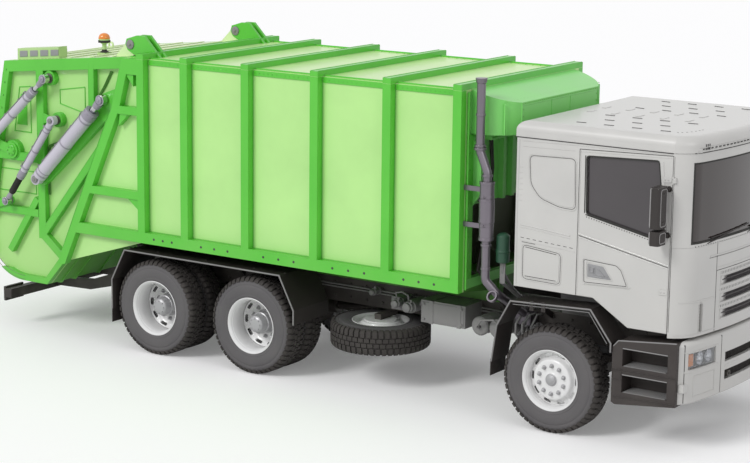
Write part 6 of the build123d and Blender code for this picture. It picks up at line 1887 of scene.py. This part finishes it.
# Cab roof: moulded lid with a dark joint below its lip, drip rails and pressed channels on top.
# The visor in front carries a row of small slots.
bm = bmesh.new()
for side in (-1, 1):
    bead(bm, [(2.716, 2.9285), (3.4, 2.9285), (4.395, 2.9285)], side * 1.2015, 0.0055, False, 8)
    for row_y, starts in (
        (0.93, (3.22, 3.52, 3.82, 4.12)), (0.63, (3.37, 3.67, 3.97)), (0.33, (3.22, 3.52, 3.82, 4.12))
    ):
        for x in starts:
            pipe(bm, [(x, side * row_y, 3.0835), (x + 0.10, side * (row_y - 0.01), 3.0835)], 0.0065, 8)
    for x, y in (
        (4.30, 0.93), (4.33, 0.90), (4.36, 0.86), (4.385, 0.81), (4.40, 0.75), (4.41, 0.69), (4.415, 0.63)
    ):
        turned_solid(bm, [(0.0, 0.009), (0.0015, 0.008)], (x, side * y, 3.0845), (0, 0, 1), 10)
rail = []
for k in range(25):
    y = -1.08 + k * 0.09
    rail.append((front_reach(0.008, 1.204, y), y, 2.9300))
pipe(bm, rail, 0.0055, 8)
fasten("cab_roof_joint", bm, seam_and_groove_shade_dark, "cab")
bm = bmesh.new()
for side in (-1, 1):
    bead(bm, [(2.72, 2.944), (3.4, 2.944), (4.395, 2.944)], side * 1.2005, 0.0045, False, 8)
    bead(bm, [(2.76, 2.992), (3.4, 2.993), (4.36, 2.990)], side * 1.2010, 0.0035, False, 8)
    for x in (2.95, 3.22, 3.49, 3.76, 4.03):
        plate(
            bm,
            [
                (x, side * 0.10, 3.0845), (x + 0.05, side * 0.10, 3.0845), (x + 0.044, side * 0.10, 3.0895),
                (x + 0.006, side * 0.10, 3.0895),
            ],
            (0, side * 0.13, 0),
        )
front_strip(bm, 0.005, 1.204, 2.938, 2.952, -1.06, 1.06, 0.003, 26)
front_strip(bm, 0.005, 1.204, 2.975, 2.983, -1.04, 1.04, 0.003, 26)
fasten("cab_roof_lips", bm, cab_paint, "cab", edge=0.001)
bm = bmesh.new()
for k in range(31):
    y = -0.98 + k * 1.96 / 30
    x = front_reach(0.005, 1.204, y)
    plate(bm, upright((x - 0.004, x + 0.0025), y - 0.022, (2.958, 2.969)), (0, 0.044, 0))
for side in (-1, 1):
    for k in range(3):
        y = side * (0.895 + k * 0.028)
        x = front_reach(0.005, 1.204, y)
        plate(bm, upright((x - 0.010, x + 0.002), y - 0.008, (2.945, 3.005)), (0, 0.016, 0))
fasten("visor_slots", bm, seam_and_groove_shade_dark, "cab", edge=0.0)

# Grille: three slots in the front panel with painted slats between them, and a dark corrugated mesh behind.
# A ledge and a capsule-shaped vent stand at each corner; the panel keeps a bare band above the slots.
grille_dark = weathered_finish(
    "grille_dark", linear(58, 54, 56), 0.5, wear=0.3, dust=0.35, dust_colour=linear(110, 106, 102),
    worn_colour=linear(150, 148, 148), grain_depth=0.2,
)
bm = bmesh.new()
for low_z, high_z in ((1.270, 1.355), (1.430, 1.515), (1.600, 1.685)):
    front_strip(bm, 0.052, 1.2, low_z - 0.004, high_z + 0.004, -0.592, 0.592, 0.0, 20)
    for k in range(59):
        y = -0.58 + k * 0.02
        x = front_reach(0.030, 1.2, y)
        plate(bm, upright((x - 0.020, x), y - 0.0035, (low_z, high_z)), (0, 0.007, 0))
    front_strip(
        bm, 0.026, 1.2, (low_z + high_z) / 2 - 0.005, (low_z + high_z) / 2 + 0.005, -0.585, 0.585, 0.0, 20
    )
fasten("grille_mesh", bm, grille_dark, "cab")
bm = bmesh.new()
for low_z, high_z in ((1.270, 1.355), (1.430, 1.515), (1.600, 1.685)):
    front_strip(bm, 0.010, 1.2, low_z - 0.009, low_z + 0.001, -0.600, 0.600, 0.0035, 24)
    front_strip(bm, 0.010, 1.2, high_z - 0.001, high_z + 0.009, -0.600, 0.600, 0.0035, 24)
    for y in (-0.600, 0.590):
        front_strip(bm, 0.010, 1.2, low_z - 0.009, high_z + 0.009, y, y + 0.010, 0.0035, 2)
for z in (1.392, 1.557, 1.722):
    front_strip(bm, 0.010, 1.2, z - 0.012, z + 0.012, -0.612, 0.612, 0.0030, 24)
front_strip(bm, 0.010, 1.2, 1.905, 1.920, -0.80, 0.80, 0.0030, 26)
front_strip(bm, 0.010, 1.2, 1.782, 1.790, -0.66, 0.66, 0.0025, 26)
for side in (-1, 1):
    front_strip(bm, 0.010, 1.2, 1.496, 1.512, side * 0.70, side * 1.16, 0.0035, 20)
    front_strip(bm, 0.010, 1.2, 1.185, 1.196, side * 0.66, side * 1.18, 0.0030, 20)
fasten("grille_frames", bm, cab_paint, "cab", edge=0.0025)
bm = bmesh.new()
for k in range(40):
    y = -0.585 + k * 0.03
    for z in (1.381, 1.546, 1.711):
        x = front_reach(0.0072, 1.2, y)
        plate(bm, upright((x - 0.004, x + 0.0008), y - 0.004, (z, z + 0.022)), (0, 0.008, 0))
for side in (-1, 1):
    # Seam between the middle panel and the corners, the corner vents and the step hole's cover
    front_strip(bm, 0.010, 1.2, 1.165, 2.025, side * 0.678, side * 0.684, 0.0012, 2)
    front_strip(bm, 0.060, 1.2, 1.190, 1.480, side * 0.895, side * 0.945, 0.0, 4)
    for k in range(9):
        z = 1.215 + k * 0.0285
        front_strip(bm, 0.030, 1.2, z, z + 0.008, side * 0.901, side * 0.939, 0.0, 3)
front_strip(bm, 0.010, 1.2, 1.755, 1.7605, -0.675, 0.675, 0.0012, 24)
front_strip(bm, 0.010, 1.2, 1.8945, 1.899, -0.81, 0.81, 0.0012, 24)
fasten("front_panel_seams", bm, seam_and_groove_shade_dark, "cab")
bm = bmesh.new()
for side in (-1, 1):
    capsule = []
    for k in range(9):
        angle = math.pi * k / 8
        capsule.append((0.920 + 0.030 * math.cos(angle), 1.455 + 0.026 * math.sin(angle)))
    for k in range(9):
        angle = math.pi + math.pi * k / 8
        capsule.append((0.920 + 0.030 * math.cos(angle), 1.215 + 0.026 * math.sin(angle)))
    ring = [(front_reach(0.0085, 1.2, y), side * y, z) for y, z in capsule]
    pipe(bm, ring + [ring[0], ring[1]], 0.0055, 8)
fasten("corner_vent_rims", bm, cab_paint, "cab")

# Windscreen: dark tinted curved glass bonded in black rubber, with two wipers parked along its foot.
# The glass is nearly black from outside, as the cab behind it is dark.
screen_glass = weathered_finish(
    "screen_glass", linear(50, 42, 40), 0.07, coat=0.6, wear=0.0, dust=0.12, dust_colour=linear(80, 74, 70),
    grain_size=3.0, grain_depth=0.01, edge_radius=0.001,
)
side_glass = weathered_finish(
    "side_glass", linear(68, 64, 66), 0.08, coat=0.5, wear=0.0, dust=0.12, dust_colour=linear(96, 92, 90),
    grain_size=3.0, grain_depth=0.01, edge_radius=0.001,
)
dress(screen_glass, "windscreen")
dress(side_glass, "door_glass_right", "door_glass_left")
bm = bmesh.new()
front_strip(bm, 0.018, 1.2, 2.056, 2.078, -1.080, 1.080, 0.0030, 30)
front_strip(bm, 0.018, 1.2, 2.822, 2.844, -1.080, 1.080, 0.0030, 30)
for side in (-1, 1):
    front_strip(bm, 0.018, 1.2, 2.056, 2.844, side * 1.058, side * 1.080, 0.0030, 3)
fasten("screen_rubber", bm, seal_rubber, "cab", edge=0.003)
bm = bmesh.new()
for pivot_y in (-0.86, -0.10):
    x = front_reach(0.012, 1.2, pivot_y)
    turned_solid(
        bm, [(-0.01, 0.024), (0.004, 0.024), (0.009, 0.017)], (x - 0.012, pivot_y, 2.043), (1, 0, 0.2), 20
    )
    tip_y = pivot_y + 0.72
    middle_y = pivot_y + 0.42
    pipe(
        bm,
        [
            (x - 0.003, pivot_y, 2.046), (front_reach(0.010, 1.2, pivot_y + 0.12), pivot_y + 0.12, 2.064),
            (front_reach(0.008, 1.2, middle_y), middle_y, 2.108),
        ],
        0.0075, 8,
    )
    blade = []
    for k in range(13):
        y = pivot_y + 0.06 + (tip_y - pivot_y) * k / 12
        blade.append((front_reach(0.0125, 1.2, y), y, 2.090 + 0.040 * k / 12))
    pipe(bm, blade, 0.0060, 6)
    for k in range(0, 12, 2):
        y = pivot_y + 0.09 + (tip_y - pivot_y) * k / 12
        px = front_reach(0.009, 1.2, y)
        turned_solid(bm, [(-0.006, 0.010), (0.004, 0.008)], (px, y, 2.091 + 0.040 * k / 12), (1, 0, 0), 8)
fasten("wipers", bm, moulded_black, "cab")
bm = bmesh.new()
for k in range(54):
    y = -1.03 + k * 2.06 / 53
    x = front_reach(0.012, 1.2, y)
    turned_solid(bm, [(-0.004, 0.0085), (0.0025, 0.0070)], (x, y, 2.0385), (1, 0, 0.3), 6)
fasten("scuttle_vents", bm, seam_and_groove_shade_dark, "cab")

# Doors: pressed steel skins with a slanted crease, a recessed handle and a rubber strip round the window.
# They hang on two pins at the corner post and carry the mirrors.
dress(cab_paint, "door_right", "door_left")
window_line = [(3.490, 2.815), (4.250, 2.845), (4.340, 2.080), (3.500, 2.255)]
for side_name, side in (("right", -1), ("left", 1)):
    door = f"{side_name}_door"
    bm = bmesh.new()
    bead(bm, rounded(window_line, 0.030), side * 1.1965, 0.0080, True)
    bead(bm, [(3.494, 2.246), (4.338, 2.070)], side * 1.2010, 0.0050)
    bead(bm, [(3.482, 2.262), (3.476, 2.818)], side * 1.2000, 0.0055)
    fasten(f"window_rubber_{side_name}", bm, seal_rubber, door)
    bm = bmesh.new()
    # Crease from the rear down to the front, with its lit lower edge, and the folded edge of the skin
    crease = [(3.422, 2.050), (3.473, 2.040), (3.95, 1.944), (4.386, 1.856)]
    bead(bm, crease, side * 1.1985, 0.0085)
    bead(bm, [(x, z - 0.030) for x, z in crease], side * 1.1990, 0.0055)
    bead(
        bm, [(3.424, 2.864), (3.424, 1.448), (3.60, 1.448), (3.985, 1.206), (4.386, 1.206), (4.386, 2.050)],
        side * 1.1985, 0.0045,
    )
    bead(bm, [(3.430, 2.852), (4.384, 2.882)], side * 1.1985, 0.0040)
    # Frame of the handle's recess
    recess = rounded([(3.489, 1.572), (3.481, 1.818), (3.845, 1.798), (3.903, 1.752), (3.973, 1.592)], 0.022)
    bead(bm, recess, side * 1.2000, 0.0055, True)
    bead(bm, [(3.49, 1.562), (3.985, 1.582), (3.996, 1.596)], side * 1.2000, 0.0045)
    inner = rounded([(3.52, 1.628), (3.52, 1.785), (3.705, 1.775), (3.812, 1.630)], 0.012)
    bead(bm, inner, side * 1.2000, 0.0040, True)
    # Outer pillar of the window, ahead of the glass
    bead(bm, [(4.292, 2.838), (4.372, 2.090)], side * 1.1985, 0.0060)
    fasten(f"door_swages_{side_name}", bm, cab_paint, door)
    bm = bmesh.new()
    # A dark line along the crease is painted shade in its groove.
    bead(bm, [(x, z - 0.0165) for x, z in crease], side * 1.1985, 0.0040, False, 6)
    bead(
        bm, rounded([(3.499, 1.584), (3.492, 1.806), (3.840, 1.787), (3.892, 1.745), (3.957, 1.600)], 0.018),
        side * 1.1985, 0.0035, True, 6,
    )
    for k in range(31):
        x = 3.505 + k * 0.0272
        z = 2.2335 - (x - 3.505) * 0.2095
        turned_solid(bm, [(-0.002, 0.0062), (0.0028, 0.0050)], (x, side * 1.200, z - 0.010), (0, side, 0), 8)
    fasten(f"door_seams_and_crease_shade_{side_name}", bm, seam_and_groove_shade_dark, door)
    bm = bmesh.new()
    # Handle: a flap with a finger grip, a lock barrel and the grip's cheeks
    plate(
        bm,
        side_outline(
            rounded([(3.532, 1.640), (3.532, 1.772), (3.700, 1.762), (3.792, 1.640)], 0.010), side * 1.1985
        ),
        (0, side * 0.004, 0),
    )
    bead(
        bm, [(3.556, 1.745), (3.556, 1.690), (3.598, 1.690), (3.598, 1.740)], side * 1.2035, 0.0060, False, 8
    )
    bead(
        bm, [(3.612, 1.742), (3.612, 1.672), (3.715, 1.668), (3.645, 1.735)], side * 1.2035, 0.0055, False, 8
    )
    bead(bm, [(3.600, 1.655), (3.700, 1.650)], side * 1.2035, 0.0045, False, 8)
    turned_ring(
        bm, [(0.0, 0.004), (0.0, 0.014), (0.006, 0.012), (0.006, 0.004)], (3.745, side * 1.2015, 1.668),
        (0, side, 0), 20,
    )
    fasten(f"door_handle_{side_name}", bm, lamp_housing, door, edge=0.0012)
    bm = bmesh.new()
    for hinge_z in (1.565, 2.645):
        plate(
            bm,
            side_outline(
                rounded(
                    [
                        (4.300, hinge_z), (4.300, hinge_z + 0.060), (4.388, hinge_z + 0.052),
                        (4.388, hinge_z + 0.008),
                    ],
                    0.010,
                ),
                side * 1.1995,
            ),
            (0, side * 0.006, 0),
        )
        for x in (4.318, 4.352):
            nut(bm, (x, side * 1.2055, hinge_z + 0.030), (0, side, 0), 0.013, 0.005)
    fasten(f"door_hinges_{side_name}", bm, cab_paint, door, edge=0.0012)
    bm = bmesh.new()
    # Inside trim with an arm rest and a pocket
    low_y, high_y = sorted((side * 1.118, side * 1.139))
    plate(
        bm,
        [
            (3.47, low_y, 1.50), (3.47, low_y, 2.215), (4.30, low_y, 2.050), (4.30, low_y, 1.30),
            (3.98, low_y, 1.30), (3.64, low_y, 1.50),
        ],
        (0, high_y - low_y, 0),
    )
    low_y, high_y = sorted((side * 1.060, side * 1.120))
    plate(
        bm, [(3.62, low_y, 1.80), (3.62, low_y, 1.86), (4.08, low_y, 1.87), (4.08, low_y, 1.81)],
        (0, high_y - low_y, 0),
    )
    fasten(f"door_trim_{side_name}", bm, moulded_black, door, edge=0.006)

# Mirrors: a large flat mirror above a wide angle one, in moulded housings with a grey rim, on a tube arm.
# The glass is set back in each housing and faces the rear.
dress(moulded_black, "mirror_right", "mirror_left")
mirror_rim = weathered_finish(
    "mirror_rim", linear(150, 148, 148), 0.4, wear=0.4, dust=0.2, worn_colour=linear(96, 94, 94),
    grain_depth=0.1,
)
mirror_glass = weathered_finish(
    "mirror_glass", linear(190, 194, 198), 0.04, metallic=1.0, wear=0.0, dust=0.1, grain_size=5.0,
    grain_depth=0.0, edge_radius=0.001,
)
for side_name, side in (("right", -1), ("left", 1)):
    door = f"{side_name}_door"
    bm = bmesh.new()
    for low_z, high_z in ((2.248, 2.622), (2.088, 2.207)):
        outline = rounded(
            [(side * 1.276, low_z), (side * 1.426, low_z), (side * 1.426, high_z), (side * 1.276, high_z)],
            0.026,
        )
        ring = [(4.2855, y, z) for y, z in outline]
        pipe(bm, ring + [ring[0], ring[1]], 0.0070, 8)
        ring = [
            (4.384, y, z)
            for y, z in rounded(
                [
                    (side * 1.290, low_z + 0.012), (side * 1.412, low_z + 0.012),
                    (side * 1.412, high_z - 0.012), (side * 1.290, high_z - 0.012),
                ],
                0.03,
            )
        ]
        pipe(bm, ring + [ring[0], ring[1]], 0.0045, 6)
    bead(bm, [(4.300, 2.622), (4.37, 2.622)], side * 1.4360, 0.0030, False, 6)
    fasten(f"mirror_rims_{side_name}", bm, mirror_rim, door)
    bm = bmesh.new()
    for low_z, high_z in ((2.258, 2.612), (2.096, 2.199)):
        outline = rounded(
            [(side * 1.284, low_z), (side * 1.418, low_z), (side * 1.418, high_z), (side * 1.284, high_z)],
            0.020,
        )
        plate(bm, [(4.2855, y, z) for y, z in outline], (-0.003, 0, 0))
    fasten(f"mirror_faces_{side_name}", bm, mirror_glass, door, edge=0.0008)
    bm = bmesh.new()
    for arm_z in (2.150, 2.590):
        turned_ring(
            bm, [(0.0, 0.015), (0.0, 0.030), (0.010, 0.026), (0.010, 0.015)], (4.364, side * 1.2005, arm_z),
            (0, side, 0), 24,
        )
        turned_ring(
            bm, [(0.0, 0.015), (0.0, 0.021), (0.014, 0.021), (0.014, 0.015)], (4.364, side * 1.238, arm_z),
            (0, side, 0), 24,
        )
    turned_ring(
        bm, [(0.0, 0.016), (0.0, 0.024), (0.016, 0.024), (0.016, 0.016)], (4.350, side * 1.300, 2.216),
        (0, 0, 1), 24,
    )
    for z in (2.30, 2.57):
        nut(bm, (4.3845, side * 1.351, z), (1, 0, 0), 0.016, 0.006)
    fasten(f"mirror_clamps_{side_name}", bm, moulded_black, door, edge=0.001)

# Dashboard: grained black moulding with a hooded instrument panel, vents and switches, and a two-spoke wheel.
# The steering wheel's rim is padded and stands on its column at the left seat.
dash_black = weathered_finish(
    "dash_black", linear(44, 42, 44), 0.62, wear=0.2, dust=0.3, dust_colour=linear(84, 80, 78),
    grain_size=700.0, grain_depth=0.4, edge_radius=0.008,
)
dress(dash_black, "dashboard")
bm = bmesh.new()
plate(bm, [(4.262, 0.42, 1.93), (4.255, 0.42, 2.02), (4.30, 0.42, 2.035), (4.30, 0.42, 1.93)], (0, 0.44, 0))
for y in (-0.90, -0.62, 0.02, 0.24):
    plate(bm, facing(4.258, (y, y + 0.13), (1.90, 1.97)), (0.016, 0, 0))
    for k in range(4):
        plate(bm, upright((4.252, 4.258), y + 0.008, (1.907 + k * 0.016, 1.911 + k * 0.016)), (0, 0.114, 0))
for y in (-0.40, -0.33, -0.26, -0.19, -0.12, -0.05):
    plate(
        bm, [(4.254, y, 1.905), (4.254, y + 0.035, 1.905), (4.258, y + 0.035, 1.955), (4.258, y, 1.955)],
        (0.012, 0, 0),
    )
fasten("dash_fittings", bm, dash_black, "cab", edge=0.003)
bm = bmesh.new()
for y, radius in ((0.53, 0.050), (0.66, 0.050), (0.77, 0.030)):
    turned_ring(
        bm, [(0.0, radius - 0.006), (0.0, radius), (0.006, radius), (0.006, radius - 0.006)],
        (4.2605, y, 1.975), (-1, 0, 0.1), 32,
    )
    turned_solid(bm, [(0.0, radius - 0.006), (0.002, radius - 0.006)], (4.2605, y, 1.975), (-1, 0, 0.1), 32)
    turned_solid(bm, [(0.002, 0.006), (0.005, 0.005)], (4.2605, y, 1.975), (-1, 0, 0.1), 12)
fasten("dash_dials", bm, lamp_housing, "cab")

# Seats: two crowned cushions, back rests and head rests in woven dark cloth, on steel boxes with rails.
# Piping runs round the cushions, and two sewn channels cross each of them.
seat_cloth = weathered_finish(
    "seat_cloth", linear(62, 62, 70), 0.88, wear=0.2, dust=0.25, dust_colour=linear(110, 106, 104),
    worn_colour=linear(92, 92, 98), grain_size=900.0, grain_depth=0.5, edge_radius=0.004,
)
links = seat_cloth.node_tree.links
make = seat_cloth.node_tree.nodes.new
place = make("ShaderNodeTexCoord")
weave = make("ShaderNodeTexWave")
weave.bands_direction = "DIAGONAL"
weave.inputs["Scale"].default_value = 110.0
weave.inputs["Distortion"].default_value = 1.5
weave_colour = make("ShaderNodeMix")
weave_colour.data_type = "RGBA"
weave_colour.inputs["A"].default_value = linear(50, 50, 58)
weave_colour.inputs["B"].default_value = linear(78, 78, 88)
links.new(place.outputs["Object"], weave.inputs["Vector"])
links.new(weave.outputs["Fac"], weave_colour.inputs["Factor"])
links.new(weave_colour.outputs["Result"], seat_cloth.node_tree.nodes["wear"].inputs["Colour"])
seat_cloth.node_tree.nodes["Principled BSDF"].inputs["Sheen Weight"].default_value = 0.3


def stuffed(name, outline, y_from, y_to, cap):
    """Padded piece: a side outline across the seat, swelled by cloth under pressure and capped."""
    bm = bmesh.new()
    plate(bm, side_outline(rounded(outline, 0.025, 4), y_from), (0, y_to - y_from, 0))
    piece = fasten(name, bm, seat_cloth, "cab")
    bpy.context.view_layer.objects.active = piece
    shrink = piece.modifiers.new("even_mesh", "REMESH")
    shrink.mode = "VOXEL"
    shrink.voxel_size = 0.010
    depsgraph = bpy.context.evaluated_depsgraph_get()
    even = bpy.data.meshes.new_from_object(piece.evaluated_get(depsgraph))
    piece.modifiers.clear()
    piece.data = even
    rest = [v.co.copy() for v in even.vertices]
    cloth = piece.modifiers.new("stuffing", "CLOTH")
    settings = cloth.settings
    settings.quality = 4
    settings.use_pressure = True
    settings.uniform_pressure_force = 4.0
    settings.effector_weights.gravity = 0.0
    cloth.point_cache.frame_start = 1
    cloth.point_cache.frame_end = 20
    for step in range(1, 21):
        scene.frame_set(step)
    depsgraph = bpy.context.evaluated_depsgraph_get()
    swelled = bpy.data.meshes.new_from_object(piece.evaluated_get(depsgraph))
    piece.modifiers.clear()
    scene.frame_set(1)
    for vertex, start in zip(swelled.vertices, rest):
        moved = vertex.co - start
        if moved.length > cap:
            vertex.co = start + moved.normalized() * cap
    piece.data = swelled
    swelled.polygons.foreach_set("use_smooth", [True] * len(swelled.polygons))
    crown = piece.modifiers.new("smooth_crown", "SUBSURF")
    crown.levels = crown.render_levels = 1
    depsgraph = bpy.context.evaluated_depsgraph_get()
    finished = bpy.data.meshes.new_from_object(piece.evaluated_get(depsgraph))
    piece.modifiers.clear()
    piece.data = finished
    finished.materials.clear()
    finished.materials.append(seat_cloth)
    finished.polygons.foreach_set("use_smooth", [True] * len(finished.polygons))
    return piece


cushion = [(3.085, 1.770), (3.618, 1.780), (3.622, 1.852), (3.085, 1.840)]
back_rest = [(3.080, 1.875), (3.160, 1.872), (3.108, 2.352), (3.018, 2.350)]
head_rest = [(3.070, 2.400), (3.118, 2.400), (3.108, 2.535), (3.056, 2.538)]
for side_name, side in (("right", -1), ("left", 1)):
    low_y, high_y = sorted((side * 0.440, side * 0.880))
    stuffed(f"seat_cushion_{side_name}", cushion, low_y, high_y, 0.022)
    stuffed(f"seat_back_{side_name}", back_rest, low_y, high_y, 0.022)
    low_y, high_y = sorted((side * 0.560, side * 0.760))
    stuffed(f"head_rest_{side_name}", head_rest, low_y, high_y, 0.016)
bm = bmesh.new()
for side in (-1, 1):
    low_y, high_y = sorted((side * 0.425, side * 0.895))
    plate(
        bm,
        side_outline(
            rounded([(3.155, 1.502), (3.555, 1.502), (3.555, 1.745), (3.155, 1.745)], 0.02, 3), low_y
        ),
        (0, high_y - low_y, 0),
    )
    for y in (0.45, 0.87):
        plate(
            bm, side_outline([(3.08, 1.745), (3.62, 1.752), (3.62, 1.768), (3.08, 1.762)], side * y),
            (0, 0.012, 0),
        )
    for y in (0.60, 0.72):
        pipe(bm, side_outline([(3.075, 2.34), (3.084, 2.45)], side * y), 0.006, 8)
    for k in range(8):
        plate(
            bm, upright((3.5555, 3.5585), side * 0.48 + side * k * 0.05, (1.53, 1.72)), (0, side * 0.018, 0)
        )
fasten("seat_boxes", bm, moulded_black, "cab", edge=0.003, stands_for=("seats",))
bm = bmesh.new()
for side in (-1, 1):
    for x in (3.24, 3.40):
        pipe(bm, [(x, side * 0.50, 1.866), (x, side * 0.82, 1.866)], 0.0045, 6)
    for low_x, low_z in ((3.158, 2.02), (3.142, 2.18)):
        pipe(bm, [(low_x, side * 0.50, low_z), (low_x, side * 0.82, low_z)], 0.0045, 6)
fasten("seat_piping", bm, seal_rubber, "cab")
bm = bmesh.new()
for side in (-1, 1):
    # Belt slung from the pillar, flat webbing with a buckle
    plate(
        bm,
        [
            (3.02, side * 1.118, 2.45), (3.068, side * 1.118, 2.45), (3.108, side * 1.118, 1.56),
            (3.060, side * 1.118, 1.56),
        ],
        (0, side * 0.002, 0),
    )
    plate(bm, upright((3.00, 3.09), side * 1.112, (2.44, 2.50)), (0, side * 0.022, 0))
    plate(bm, upright((3.055, 3.115), side * 1.110, (1.50, 1.60)), (0, side * 0.026, 0))
fasten("seat_belts", bm, seal_rubber, "cab", edge=0.001)
